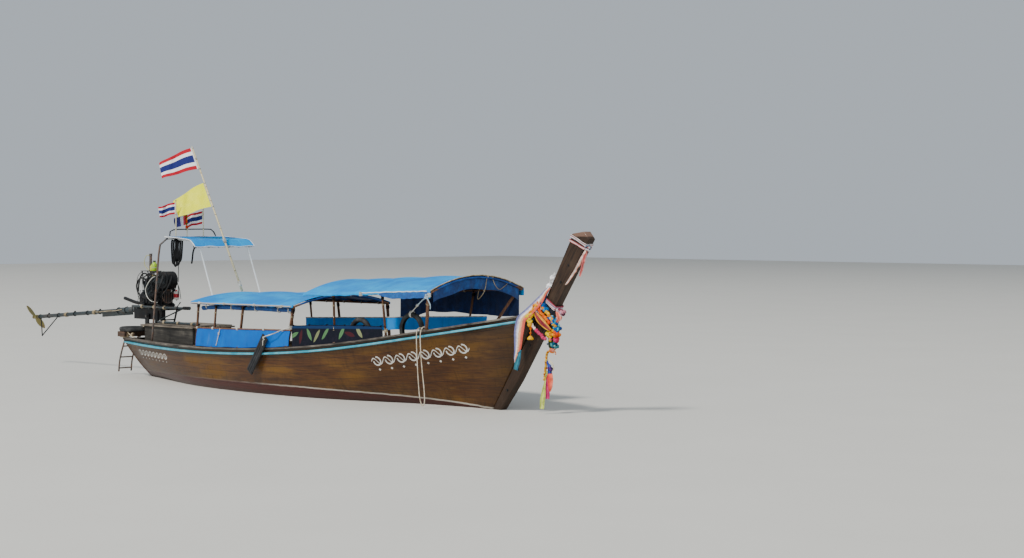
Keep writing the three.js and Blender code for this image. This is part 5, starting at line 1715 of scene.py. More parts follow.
@dataclass
class BowRope:
    """The mooring rope that hangs in a bight over the starboard cap rail, with its cleat and knots."""

    radius: float = 0.0082
    lay: float = 0.055
    knot: float = 0.021
    route: tuple[tuple[float, float, float], ...] = (
        (3.286, -0.612, 1.06), (3.288, -0.618, 1.12), (3.292, -0.64, 1.168), (3.3, -0.7, 1.186),
        (3.31, -0.756, 1.168), (3.318, -0.786, 1.1), (3.33, -0.794, 0.9), (3.346, -0.794, 0.64),
        (3.366, -0.792, 0.38), (3.392, -0.79, 0.17), (3.432, -0.788, 0.064), (3.474, -0.787, 0.06),
        (3.496, -0.786, 0.14), (3.48, -0.786, 0.33), (3.446, -0.788, 0.56), (3.416, -0.788, 0.82),
        (3.396, -0.782, 1.06), (3.388, -0.758, 1.162), (3.384, -0.716, 1.2), (3.38, -0.64, 1.194),
        (3.376, -0.602, 1.15), (3.374, -0.594, 1.08),
    )

    def build(self) -> None:
        """The rope is a tube with three lobes; each end goes into a knot that stands on the cleat."""
        path = even_path(smooth_path(self.route, 10), 0.008)
        form = tube(path, self.radius, 12, lobes=(3, 0.14, self.lay))
        rope = piece("bow_rope_laid", form, CREAM_ROPE, smooth=80, replaces=["bow_rope"])
        knots = [self._knot(end) for end in (path[0], path[-1])]
        knots = piece("bow_rope_knots", Form.joined(knots), CREAM_ROPE, smooth=80)
        bar = bar_form((3.215, -0.64, 1.036), (3.445, -0.582, 1.036), 0.019, 0.016)
        feet = [bar_form((3.262, -0.622, 1.036), (3.275, -0.678, 1.036), 0.017, 0.022)]
        feet.append(bar_form((3.388, -0.592, 1.036), (3.401, -0.648, 1.036), 0.017, 0.022))
        piece("bow_rope_cleat", Form.joined([bar, *feet]), DARK_WOOD, bevel=0.004)

    def _knot(self, end: Array) -> Form:
        """Two crossed rings of rope round a core, on the end of the line.

        Args:
            end: End of the line.

        Returns:
            The knot.
        """
        middle = end - (0, 0, 0.004)
        core = turned([(0, -0.014), (0.012, -0.012), (0.016, 0), (0.012, 0.012), (0, 0.014)], middle, UP, 12)
        rings = [
            ring_form(middle, axis, self.knot * 0.62, self.radius, 16)
            for axis in ((0.3, 0.1, 1), (1, 0.4, 0.5))
        ]
        return Form.joined([core, *rings])


def lashing(place: Any, along: Any, radius: float, turns: int = 4, cord: float = 0.005) -> Form:
    """Turns of cord round a bar: rings side by side, each a little tilted.

    Args:
        place: Middle of the lashing, on the bar's line.
        along: The way the bar runs.
        radius: The bar's radius.
        turns: How many rings.
        cord: The cord's radius.

    Returns:
        The rings.
    """
    along = unit(np.asarray(along, float))
    side = unit(np.cross(along, np.eye(3)[int(np.argmin(np.abs(along)))]))
    rings = []
    for k in range(turns):
        middle = np.asarray(place, float) + along * (k - (turns - 1) / 2) * cord * 2.1
        tilt = along + side * (0.16 if k % 2 else -0.12)
        rings.append(ring_form(middle, tilt, radius + cord * 0.8, cord, 14))
    return Form.joined(rings)


# Awning rows: x, half width, eave and crown
REAR_AWNING = np.array(
    [
        (-2.13, 0.985, 1.425, 1.555), (-1.2, 1.0, 1.435, 1.585), (-0.3, 1.0, 1.44, 1.595),
        (0.62, 0.985, 1.445, 1.6),
    ]
)
FORE_AWNING = np.array(
    [
        (0.9, 0.985, 1.64, 1.838), (1.6, 0.983, 1.657, 1.862), (2.2, 0.978, 1.684, 1.892),
        (3.05, 0.955, 1.725, 1.93), (3.8, 0.93, 1.755, 1.96),
    ]
)


def awning_at(rows: Array, x: Any) -> tuple[Array, Array, Array]:
    """Half width, eave and crown at places along an awning, in straight spans as the solid has them."""
    return tuple(np.interp(x, rows[:, 0], rows[:, k]) for k in (1, 2, 3))


def front_arch(y: Array) -> Array:
    """Height of the fore awning's front edge: crown less (crown - eave) (y / half width)^2."""
    _, half, eave, crown = FORE_AWNING[-1]
    return crown - (crown - eave) * (y / half) ** 2


@dataclass
class Awning:
    """One roof cloth over its hoops, with skirts, hems, lashings and soft hollows between the hoops."""

    name: str
    node: str
    rows: Array
    skirt_aft: float = 0.03
    skirt_fore: float = 0.03
    skirt_from: float = 99.0
    overhang: float = 0.022
    thickness: float = 0.008
    sag: float = 0.016
    hem: float = 0.009
    lashings: float = 0.46
    scallop: float = 0.004
    pulls: int = 16
    pull_height: float = 0.0045
    seed: int = 3
    # From x and to x of the strip of painted shade on the starboard skirt
    band: tuple[float, float] | None = None

    def _skirt(self, x: Array) -> Array:
        """Depth of the skirt at places along the cloth."""
        return np.interp(
            x, [self.skirt_from - 0.15, self.skirt_from + 0.15], [self.skirt_aft, self.skirt_fore]
        )

    def surface(self, steps: int = 150, across: int = 46, folds: int = 8) -> Array:
        """The cloth's middle surface.

        z = crown - (crown - eave) (y / half width)^2 - sag sin^2 between hoops + small pulls, over the
        width; then each skirt goes straight down with a scalloped foot.

        Args:
            steps: Points along the boat.
            across: Points over the width.
            folds: Points down each skirt.

        Returns:
            Points on a grid: along, then across from the starboard foot to the port foot.
        """
        x = np.linspace(self.rows[0, 0], self.rows[-1, 0], steps)
        half, eave, crown = awning_at(self.rows, x)
        places = self.rows[:, 0]
        k = np.clip(np.searchsorted(places, x) - 1, 0, len(places) - 2)
        span = (x - places[k]) / (places[k + 1] - places[k])
        hollow = np.sin(span * math.pi) ** 2
        v = np.linspace(-1, 1, across)
        edge = half + self.overhang - self.thickness / 2
        y = edge[:, None] * v[None, :]
        z = crown[:, None] - (crown - eave)[:, None] * (y / half[:, None]) ** 2 + self.thickness / 2
        rng = np.random.default_rng(self.seed)
        pulls = np.zeros_like(z)
        for _ in range(self.pulls):
            px, py = rng.uniform(x[0], x[-1]), rng.uniform(-0.9, 0.9)
            length, width = rng.uniform(0.2, 0.7), rng.uniform(0.03, 0.09)
            lean = rng.uniform(-0.5, 0.5)
            along = (x[:, None] - px) * math.cos(lean) + (y - py) * math.sin(lean)
            aside = -(x[:, None] - px) * math.sin(lean) + (y - py) * math.cos(lean)
            pulls += rng.uniform(-1, 1) * np.exp(-((aside / width) ** 2) - (along / length) ** 2)
        free = 1 - np.abs(v[None, :]) ** 8
        z = z - self.sag * hollow[:, None] * free + self.pull_height * pulls * free
        ripple = 0.003 * np.sin(x * 31 + np.cos(x * 7) * 2)[:, None] * np.abs(v[None, :]) ** 3
        z = z + ripple
        depth = self._skirt(x) + self.scallop * np.sin(x * 2 * math.pi / self.lashings + 0.6)
        down = np.linspace(0, 1, folds + 1)[1:]
        sides = []
        for sign in (-1, 1):
            wave = 0.005 * np.sin(x * 17 + sign) * np.minimum(1.0, depth / 0.1)
            fy = sign * (
                edge[:, None] + 0.003 * np.sin(down * math.pi)[None, :] + wave[:, None] * down[None, :]
            )
            fz = z[:, [0 if sign < 0 else -1]] - depth[:, None] * down[None, :]
            fx = np.broadcast_to(x[:, None], fy.shape)
            sides.append(np.stack([fx, fy, fz], axis=2))
        top = np.stack([np.broadcast_to(x[:, None], y.shape), y, z], axis=2)
        return np.concatenate([sides[0][:, ::-1], top, sides[1]], axis=1)

    def build(self) -> None:
        """Cloth, hems along the feet and the ends, and lashings from the eave to the frame."""
        grid = self.surface()
        cloth = piece(self.name, shell(grid, self.thickness), TARP, smooth=60, replaces=[self.node])
        hem_lines = [grid[:, 0], grid[:, -1], grid[0], grid[-1]]
        hems = [tube(even_path(line, 0.05), self.hem * 0.62, 8) for line in hem_lines]
        hem = piece(f"{self.name}_hem", Form.joined(hems), TARP, smooth=60)
        x = np.arange(self.rows[0, 0] + 0.2, self.rows[-1, 0] - 0.1, self.lashings)
        half, eave, _ = awning_at(self.rows, x)
        ties = []
        for sign in (-1, 1):
            for xi, hi, ei in zip(x, half, eave):
                rail = np.array([xi, sign * (hi - 0.018), ei - 0.024])
                ties.append(lashing(rail, FORE, 0.017, 3, 0.0035))
        piece(f"{self.name}_ties", Form.joined(ties), WHITE_ROPE, smooth=80)
        if self.band:
            self._band(grid)

    def _band(self, grid: Array) -> None:
        """A darker strip of painted shade over the starboard skirt, and the pale cord along the eave above
        it.

        Args:
            grid: The awning's middle surface.
        """
        low, high = self.band
        rows = (grid[:, 0, 0] > low) & (grid[:, 0, 0] < high)
        strip = grid[rows, :8].copy()
        strip[..., 1] -= 0.007
        strip[..., 2] -= 0.003
        # Painted shade: a darker strip laid over the starboard skirt.
        cloth = piece(f"{self.name}_band", shell(strip, 0.003), SKIRT_SHADE, smooth=60)
        cord = piece(
            f"{self.name}_cord", tube(grid[72:-2:2, 8] - (0, 0.01, 0.002), 0.0075, 8), WHITE_TRIM, smooth=60
        )


def awnings() -> tuple[Awning, Awning]:
    """The rear awning and the fore one, which begins ahead of it and has deep skirts at its fore end.

    Returns:
        Both awnings.
    """
    rear = Awning("rear_awning_cloth", "rear_awning", REAR_AWNING, seed=5)
    fore = Awning("fore_awning_cloth", "fore_awning", FORE_AWNING, skirt_fore=0.1, skirt_from=2.82, seed=8)
    fore.band = (2.7, 3.795)
    return rear, fore


@dataclass
class AwningTrim:
    """Edge pipe, rim line, cross laths, knots, tie ropes and the panel under the front hoop."""

    pipe_radius: float = 0.011

    def build(self) -> None:
        """Builds each of them."""
        self._edge_pipe()
        self._front_rim()
        self._ropes()
        self._panel()

    def _edge_pipe(self) -> None:
        """A pale pipe just below the rear awning's starboard eave, with white turns of cord."""
        x = np.linspace(-2.1, 0.6, 24)
        half, eave, _ = awning_at(REAR_AWNING, x)
        line = np.stack([x, -(half + 0.031), eave - 0.018 + 0.002 * np.sin(x * 9)], axis=1)
        piece("eave_pipe", tube(line, self.pipe_radius, 10), PALE_PIPE)
        turns = [lashing(line[i], FORE, self.pipe_radius, 5, 0.005) for i in (2, 8, 15, 21)]
        piece("eave_pipe_lashings", Form.joined(turns), WHITE_ROPE, smooth=80)

    def _front_rim(self) -> None:
        """A light rope along the front edge of the fore awning, and knots of white cord on the skirt."""
        y = np.linspace(-0.945, 0.945, 40)
        z = front_arch(y)
        rim = np.stack([np.full_like(y, 3.806), y, z + 0.004], axis=1)
        piece("front_rim_rope", tube(rim, 0.008, 8), TAN_ROPE, smooth=80)
        knots = []
        for px, py, pz in ((3.79, -0.955, 1.69), (2.3, -1.004, 1.668)):
            knots.append(lashing((px, py, pz), UP, 0.018, 4, 0.007))
            knots.append(lashing((px, py, pz + 0.004), (1, 0.2, 0), 0.016, 3, 0.006))
        piece("skirt_knots", Form.joined(knots), WHITE_ROPE, smooth=80)

    def _ropes(self) -> None:
        """Thin ropes that hang in loops from the port half of the front hoop, tied at both ends."""
        runs = (
            ((3.79, 0.3, 1.925), (3.8, 0.36, 1.8), (3.79, 0.46, 1.74), (3.79, 0.58, 1.8), (3.79, 0.66, 1.85)),
            ((3.79, 0.2, 1.935), (3.77, 0.16, 1.72), (3.7, 0.1, 1.6), (3.6, 0.2, 1.7), (3.6, 0.3, 1.902)),
        )
        forms = [bent(run, 0.005, 8, 10) for run in runs]
        forms += [lashing(run[i], (0, 1, -0.2), 0.017, 3, 0.004) for run in runs for i in (0, -1)]
        piece("hoop_ropes", Form.joined(forms), TAN_ROPE, smooth=80)

    def _panel(self) -> None:
        """A khaki lining under the front bay: the awning's own arch, 50 mm lower, with hollows."""
        x = np.linspace(3.06, 3.7, 24)
        y = np.linspace(-0.8, 0.8, 36)
        gx, gy = np.meshgrid(x, y, indexing="ij")
        half, eave, crown = awning_at(FORE_AWNING, gx)
        gz = crown - (crown - eave) * (gy / half) ** 2 - 0.062
        gz = gz - 0.012 * np.sin((gx - 3.06) / 0.64 * math.pi) ** 2 - 0.004 * np.sin(gy * 19)
        grid = np.stack([gx, gy, gz], axis=2)
        lining = piece("front_lining", shell(grid, 0.004), OLIVE, smooth=60)
        laths = []
        for px in (3.07, 3.69):
            line_y = np.linspace(-0.8, 0.8, 20)
            half, eave, crown = awning_at(FORE_AWNING, px)
            height = crown - (crown - eave) * (line_y / half) ** 2 - 0.052
            line = np.stack([np.full(20, px), line_y, height], axis=1)
            laths.append(tube(line, 0.007, 8))
        piece("lining_laths", Form.joined(laths), POST_WOOD)


@dataclass
class SideCloths:
    """The dodger, the rolled curtain, the front valance, the port curtain and the backrest strip."""

    dodger_x: tuple[float, float] = (-1.93, 0.62)
    dodger_top: tuple[float, float] = (0.985, 1.045)
    roll_x: tuple[float, float] = (-1.93, 0.5)
    roll_y: float = -0.9
    roll_ties: tuple[float, ...] = (-1.8, -1.1, -0.45, 0.15, 0.42)
    rail_x: tuple[float, float] = (0.69, 2.64)

    def build(self) -> None:
        """Builds each cloth with its hems and ties."""
        self._dodger()
        self._roll()
        self._valance()
        self._port_curtain()
        self._backrest()
        self._rail_cloth()

    def _dodger(self) -> None:
        """A sheet from the rail to its bar: y goes from foot to head, with folds that run up and down."""
        u = np.linspace(0, 1, 130)
        v = np.linspace(0, 1, 26)
        x = self.dodger_x[0] + (self.dodger_x[1] - self.dodger_x[0]) * u
        top = self.dodger_top[0] + (self.dodger_top[1] - self.dodger_top[0]) * u
        half, sheer = hull_at(x, HullLine.HALF_BEAM), hull_at(x, HullLine.SHEER)
        foot = np.stack([x, -(half + 0.014), sheer + 0.016], axis=1)
        head = np.stack([x, -(half - 0.022), top], axis=1)
        grid = foot[:, None, :] * (1 - v[None, :, None]) + head[:, None, :] * v[None, :, None]
        folds = 0.006 * np.sin(x * 13 + 0.8 * np.sin(x * 5)) + 0.004 * np.sin(x * 29 + 1.2)
        belly = np.sin(v * math.pi) ** 0.8
        grid[..., 1] -= folds[:, None] * belly[None, :] + 0.004 * belly[None, :]
        grid[..., 2] -= 0.007 * (1 - v)[None, :] * np.sin(x * 8)[:, None] * 0.5
        cloth = piece("dodger_cloth", shell(grid, 0.005), DODGER_TARP, smooth=60, replaces=["side_dodger"])
        hem = Form.joined([tube(grid[:, j], 0.006, 8) for j in (0, -1)])
        hem = piece("dodger_hem", hem, DODGER_TARP, smooth=60)
        bar = head + (0, 0, 0.012)
        bar = np.vstack([bar[:1] + (-0.07, 0.0, 0.0), bar[::12], bar[-1:] + (0.02, 0.0, 0.0)])
        piece("dodger_bar", tube(bar, 0.013, 10), POST_WOOD)
        ties = [lashing(bar[k], FORE, 0.014, 4, 0.005) for k in (1, 3, 6, 9, 11)]
        drop = np.array(
            [(-1.22, -1.066, 1.018), (-1.225, -1.09, 0.93), (-1.25, -1.096, 0.84), (-1.29, -1.098, 0.735)]
        )
        ties.append(bent(drop, 0.006))
        ties.append(lashing(drop[1], (0.1, 0, 1), 0.006, 3, 0.006))
        piece("dodger_lashings", Form.joined(ties), WHITE_ROPE, smooth=80)

    def _roll(self) -> None:
        """A curtain rolled up below the eave: a spiral section that swells between its ties."""
        s = np.linspace(0, 1, 90)
        start, end = self.roll_x
        x = start + (end - start) * s
        turns = np.linspace(0, 2.4 * 2 * math.pi, 64)
        ties = np.array(self.roll_ties)
        pinch = np.min(np.abs(x[:, None] - ties[None, :]), axis=1)
        swell = 1.0 - 0.24 * np.exp(-((pinch / 0.05) ** 2)) + 0.03 * np.sin(x * 23)
        radius = (0.012 + 0.028 * turns / turns[-1])[None, :] * swell[:, None]
        angle = turns[None, :] + 0.4 + 0.1 * np.sin(x * 3)[:, None]
        z = 1.349 + 0.016 * s[:, None] - 0.006 * np.sin(s * math.pi * 3)[:, None] ** 2
        z = z - 0.03 * np.exp(-(((x - start) / 0.22) ** 2))[:, None]
        grid = np.stack(
            [
                np.broadcast_to(x[:, None], radius.shape), self.roll_y + radius * np.cos(angle),
                z + radius * np.sin(angle) * 1.05,
            ],
            axis=2,
        )
        cloth = piece("curtain_rolled", shell(grid, 0.003), ROLLED, smooth=60, replaces=["rear_curtain_roll"])
        bands = [lashing((tx, self.roll_y, 1.352), FORE, 0.033, 2, 0.005) for tx in ties]
        hang = []
        for tx in ties:
            hang.append(tube([(tx, -0.925, 1.375), (tx, -0.955, 1.4), (tx, -0.968, 1.412)], 0.004, 6))
        piece("curtain_ties", Form.joined(bands + hang), WHITE_ROPE, smooth=80)

    def _valance(self) -> None:
        """The band below the front hoop: it follows the arch, hangs straight and waves at its foot."""
        y = np.linspace(-0.87, 0.87, 120)
        v = np.linspace(0, 1, 18)
        arch = front_arch(y)
        depth = 0.15 + 0.01 * np.sin(y * 9)
        z = arch[:, None] - 0.048 - depth[:, None] * v[None, :]
        wave = 0.012 * np.sin(y * 21 + 1.5 * np.sin(y * 6))[:, None] * v[None, :]
        grid = np.stack([3.778 + wave, np.broadcast_to(y[:, None], z.shape), z], axis=2)
        cloth = piece("valance_cloth", shell(grid, 0.004), VALANCE, smooth=60, replaces=["fore_curtain"])
        hem = piece("valance_hem", tube(grid[:, -1], 0.005, 8), VALANCE)

    def _hung(self, rows: Array, steps: int, down: int, wave: float, pitch: float) -> Array:
        """A cloth that hangs between rows of (x, foot y, foot z, head y, head z), with upright folds.

        Args:
            rows: The rows.
            steps: Points along the boat.
            down: Points from head to foot.
            wave: Depth of the folds.
            pitch: Distance between folds.

        Returns:
            Points on a grid: along, then down.
        """
        x = np.linspace(rows[0, 0], rows[-1, 0], steps)
        fy, fz, hy, hz = (np.interp(x, rows[:, 0], rows[:, k]) for k in (1, 2, 3, 4))
        v = np.linspace(0, 1, down)[None, :]
        y = (hy[:, None] * (1 - v) + fy[:, None] * v) + 0.004
        fold = wave * np.sin(x * 2 * math.pi / pitch + 1.3 * np.sin(x * 4.1))[:, None] * (0.25 + 0.75 * v)
        z = hz[:, None] * (1 - v) + fz[:, None] * v + 0.006 * np.sin(x * 9)[:, None] * v
        return np.stack([np.broadcast_to(x[:, None], y.shape), y + fold, z], axis=2)

    def _port_curtain(self) -> None:
        """The long navy curtain on the port side of the fore awning."""
        rows = np.array(
            [
                (0.906, 0.983, 1.196, 0.983, 1.616), (1.25, 0.982, 1.23, 0.982, 1.624),
                (1.6, 0.98, 1.322, 0.98, 1.633), (2.2, 0.975, 1.334, 0.975, 1.662),
                (3.05, 0.952, 1.312, 0.952, 1.703), (3.72, 0.93, 1.316, 0.93, 1.728),
            ]
        )
        grid = self._hung(rows, 200, 26, 0.01, 0.24)
        cloth = piece("port_curtain_cloth", shell(grid, 0.004), NAVY, smooth=60, replaces=["port_curtain"])
        hem = piece("port_curtain_hem", tube(grid[::2, -1], 0.005, 8), NAVY)

    def _backrest(self) -> None:
        """The blue strip laced between the port posts, with a white cord along its top edge."""
        rows = np.array(
            [
                (-1.5, 0.915, 0.925, 0.915, 1.116), (0.5, 0.915, 0.984, 0.915, 1.188),
                (1.6, 0.905, 1.034, 0.905, 1.236), (2.56, 0.8, 1.092, 0.805, 1.276),
                (3.3, 0.64, 1.176, 0.655, 1.31),
            ]
        )
        grid = self._hung(rows, 200, 14, 0.004, 0.31)
        # Painted sunlight: its cloth is given a brighter blue.
        cloth = piece(
            "backrest_cloth", shell(grid, 0.005), LIT_BACKREST_TARP, smooth=60, replaces=["port_backrest"]
        )
        cord = piece("backrest_cord", tube(grid[::3, 0], 0.009, 8), WHITE_ROPE, smooth=80)

    def _rail_cloth(self) -> None:
        """The dark printed cloth on the starboard rail, on a cord that runs from post to post."""
        rows = np.array(
            [
                (0.69, 1.062, 1.133), (1.2, 1.026, 1.158), (1.63, 0.994, 1.175), (2.15, 0.94, 1.184),
                (2.64, 0.884, 1.189),
            ]
        )
        x = np.linspace(*self.rail_x, 170)
        v = np.linspace(0, 1, 20)[None, :]
        top, head = np.interp(x, rows[:, 0], rows[:, 1]), np.interp(x, rows[:, 0], rows[:, 2])
        slack = np.abs(np.sin((x - self.rail_x[0]) * math.pi / 0.39))
        head = head - 0.008 * slack
        foot_y, foot_z = hull_at(x, HullLine.HALF_BEAM) + 0.012, hull_at(x, HullLine.SHEER) - 0.001
        y = top[:, None] * (1 - v) + foot_y[:, None] * v - 0.004
        folds = (
            0.0045 * np.sin(x * 25 + 2 * np.sin(x * 5)) + 0.002 * np.sin(x * 61)
        )[:, None] * np.sin(v * 2.6) ** 2
        z = head[:, None] * (1 - v) + foot_z[:, None] * v
        grid = np.stack([np.broadcast_to(x[:, None], y.shape), -(y + folds), z], axis=2)
        cloth = piece(
            "rail_cloth_printed", shell(grid, 0.003), LEAF_PRINT, smooth=60, replaces=["rail_cloth"]
        )
        line = np.vstack([(0.585, -1.036, 1.134), grid[::12, 0] + (0, 0.002, 0.004), (2.7, -0.872, 1.194)])
        line = tube(even_path(line, 0.05), 0.005, 8)
        pegs = [
            lashing(grid[k, 0] + (0, 0.002, 0.004), (1, -0.05, 0.02), 0.006, 3, 0.004)
            for k in (2, 34, 68, 102, 136, 167)
        ]
        line = piece("rail_cloth_line", Form.joined([line, *pegs]), BLACK_STRAP, smooth=80)


@dataclass
class HelmShelter:
    """The small roof above the helm: its cloth, edge cord, lashings and the black straps under it."""

    half_width: float = 0.62
    edge_bar: float = 2.44
    strap: tuple[float, float] = (0.024, 0.45)
    strap_drops: tuple[tuple[float, float], ...] = ((-3.28, 0.4), (-3.22, 0.44), (-3.15, 0.42), (-3.09, 0.36))
    side: tuple[tuple[float, float], ...] = ((-3.47, 2.5), (-2.7, 2.452), (-2.56, 2.335))

    def build(self) -> None:
        """Builds the roof and what hangs from it."""
        grid = self._surface()
        cloth = piece("shelter_roof_cloth", shell(grid, 0.006), TARP, smooth=60, replaces=["shelter_roof"])
        lines = [grid[:, 0], grid[:, -1], grid[0], grid[-1]]
        edge = Form.joined([tube(line, 0.0075, 8) for line in lines])
        edge = piece("shelter_roof_edge", edge, WHITE_TRIM, smooth=80)
        ties = []
        for y in np.linspace(-0.52, 0.52, 6):
            ties.append(lashing((-2.6, y, 2.33), PORT, 0.017, 3, 0.004))
            ties.append(lashing((-3.45, y, 2.468), PORT, 0.018, 3, 0.004))
        piece("shelter_ties", Form.joined(ties), WHITE_ROPE, smooth=80)
        self._straps()

    def _surface(self) -> Array:
        """The side outline swept across, its bend rounded, with a hollow between the bars.

        Returns:
            Points on a grid: along, then across.
        """
        side = np.array([(x, 0.0, z) for x, z in self.side])
        bend = side[1]
        rounded = np.vstack([side[0], bend + (side[0] - bend) * 0.12, bend + (side[2] - bend) * 0.4, side[2]])
        line = even_path(smooth_path(rounded, 14), 0.022)
        t = np.linspace(0, 1, len(line))
        y = np.linspace(-self.half_width, self.half_width, 34)
        hollow = np.sin(np.clip(t / 0.8, 0, 1) * math.pi) ** 2
        z = line[:, 2][:, None] - 0.004 + 0.0 * y[None, :]
        cross = 1 - (np.abs(y) / self.half_width) ** 4
        z = z - 0.02 * hollow[:, None] * cross[None, :] - 0.005 * np.sin(y * 11)[None, :] * hollow[:, None]
        z[-1] += 0.006 * np.sin(y * 15)
        return np.stack(
            [np.broadcast_to(line[:, 0][:, None], z.shape), np.broadcast_to(y, z.shape), z], axis=2
        )

    def _straps(self) -> None:
        """Loops of black strap hung from the starboard edge bar, and the thin cord below them."""
        runs = []
        for k, (x, drop) in enumerate(self.strap_drops):
            low = self.edge_bar - drop
            runs.append(
                smooth_path(
                    [
                        (x - 0.05, -0.556, 2.45), (x - 0.055, -0.566, 2.34 - 0.01 * k),
                        (x - 0.03, -0.57, low + 0.05), (x + 0.01, -0.572, low), (x + 0.05, -0.57, low + 0.06),
                        (x + 0.07, -0.566, 2.33), (x + 0.06, -0.556, 2.445),
                    ],
                    8,
                )
            )
        radius, flat = self.strap
        forms = [tube(run, radius, 8, flat=flat) for run in runs]
        forms.append(
            bent(
                [(-3.13, -0.572, 2.06), (-3.12, -0.575, 1.94), (-3.13, -0.572, 1.82), (-3.12, -0.573, 1.72)],
                0.006,
            )
        )
        forms.append(
            bent(
                [(-2.61, -0.59, 2.328), (-2.64, -0.604, 2.24), (-2.665, -0.604, 2.12), (-2.69, -0.6, 2.045)],
                0.017, flat=0.6,
            )
        )
        forms.append(lashing((-2.606, -0.588, 2.33), PORT, 0.018, 3, 0.006))
        forms.append(lashing((-3.18, -0.566, 2.448), (1, 0, -0.05), 0.012, 5, 0.009))
        forms.append(lashing((-3.18, -0.57, 2.11), (0.2, 0, 1), 0.03, 3, 0.009))
        piece("shelter_straps", Form.joined(forms), BLACK_STRAP, smooth=80)


@dataclass
class Flags:
    """Two flags on the bamboo pole and two small ones on sticks, all blown to the starboard quarter."""

    wind: tuple[float, float, float] = (-0.695, -0.719, 0.0)
    roof_rail: float = 2.497
    cloth: float = 0.003
    foot: tuple[float, float, float] = (-2.075, 0.0, 1.58)
    head: tuple[float, float, float] = (-3.53, 0.0, 4.065)

    def _on_pole(self, z: float) -> Array:
        """The pole's middle at a height."""
        foot, head = np.array(self.foot), np.array(self.head)
        return foot + (head - foot) * (z - foot[2]) / (head[2] - foot[2])

    def _sheet(
        self, top: Array, bottom: Array, fly: Sequence[float], drop: Sequence[float], seed: int
    ) -> Array:
        """A flying sheet: straight lines from hoist to fly end, with waves that grow along the fly.

        Args:
            top: Upper end of the hoist.
            bottom: Lower end of the hoist.
            fly: Reach of the upper and lower edge.
            drop: Fall of the upper and lower edge at the fly end.
            seed: Start of the random numbers.

        Returns:
            Points on a grid: along the fly, then from the lower edge to the upper.
        """
        rng = np.random.default_rng(seed)
        wind = np.array(self.wind)
        side = np.array([-wind[1], wind[0], 0.0])
        u = np.linspace(0, 1, 46)[:, None, None]
        v = np.linspace(0, 1, 26)[None, :, None]
        hoist = bottom * (1 - v) + top * v
        reach = fly[1] * (1 - v) + fly[0] * v
        fall = drop[1] * (1 - v) + drop[0] * v
        phase, pitch = rng.uniform(0, 6), rng.uniform(1.5, 1.9)
        wave = 0.03 * u**0.7 * np.sin(u * 2 * math.pi * pitch + phase + v * 1.3)
        wave = wave + 0.01 * u * np.sin(u * 23 + v * 7 + phase)
        z_wave = 0.012 * u * np.sin(u * 9 + phase)
        down = np.array([0.0, 0.0, 1.0])
        return hoist + wind * reach * u + side * wave + down * (z_wave - fall * u**1.25)

    def build(self) -> None:
        """Builds the flags, the sticks and the cords that tie the hoists."""
        wind = np.array(self.wind)
        striped = self._sheet(
            self._on_pole(4.045) + wind * 0.02, self._on_pole(3.675) + wind * 0.022, (0.57, 0.64),
            (0.27, 0.175), 4,
        )
        yellow = self._sheet(
            self._on_pole(3.425) + wind * 0.024, self._on_pole(3.015) + wind * 0.026, (0.53, 0.57),
            (0.33, 0.19), 9,
        )
        made = piece(
            "striped_flag_cloth", shell(striped, self.cloth), FLAG, smooth=70, replaces=["striped_flag"]
        )
        made = piece(
            "yellow_flag_cloth", shell(yellow, self.cloth), YELLOW, smooth=70, replaces=["yellow_flag"]
        )
        axis = unit(np.array(self.head) - np.array(self.foot))
        ties = []
        for z in (4.045, 3.86, 3.675, 3.425, 3.22, 3.015):
            radius = 0.012 + 0.008 * (4.065 - z) / 2.485
            ties.append(lashing(self._on_pole(z), axis, radius, 3, 0.004))
            inner = self._on_pole(z) + wind * radius
            ties.append(tube([inner, self._on_pole(z) + wind * 0.028], 0.004, 6))
        for z, turns in ((1.7, 7), (2.43, 6)):
            ties.append(lashing(self._on_pole(z), axis, 0.019, turns, 0.006))
        piece("flag_ties", Form.joined(ties), WHITE_ROPE, smooth=80)
        for k, (x, y, top, fly, height) in enumerate(
            ((-3.33, -0.48, 3.11, 0.3, 0.2), (-3.33, 0.09, 2.96, 0.32, 0.22))
        ):
            self._small(k + 1, np.array([x, y, top]), fly, height)
        self._rail_flag()

    def _rail_flag(self) -> None:
        """A striped cloth that hangs limp from a stick on the roof rail, with a short flower chain."""
        x, y, top = -3.381, -0.215, 2.885
        stick = tube([(x, y, self.roof_rail), (x, y, 2.7), (x, y, top)], 0.008, 8)
        tie = lashing((x - 0.01, y, 2.622), PORT, 0.016, 4, 0.004)
        piece("rail_flag_stick", Form.joined([stick, tie]), BAMBOO)
        s = np.linspace(0, 1, 34)[:, None]
        t = np.linspace(0, 1, 16)[None, :]
        grid = np.stack(
            [
                x + 0.022 * s * np.sin(s * 11 + t * 1.5) + 0 * t,
                y - 0.009 - 0.238 * s - 0.012 * np.sin(t * 5) * s, top - 0.012 - 0.172 * t - 0.055 * s**1.4,
            ],
            axis=2,
        )
        codes = ("c8283c", "d8485a", "f2efee", "ece9f0", "5a4a9c", "473f94", "3f3c90")
        cloth = piece("rail_flag_cloth", coloured(grid, codes, 0.003, True), RIBBON, smooth=70)
        flowers = [
            chain(
                [(x, y - 0.01, 2.87), (x + 0.014, y - 0.014, 2.77), (x, y - 0.01, 2.66)], 0.017, 0.021,
                ("ef8a1c", "f2a52a", "e8632a", "6a9a2c"), 81,
            ),
            heap((x, y - 0.004, 2.662), 0.022, 0.019, 9, ("ef8a1c", "e8632a", "c8304a"), 82),
        ]
        piece("rail_flag_flowers", Form.joined(flowers), PETALS, smooth=80)

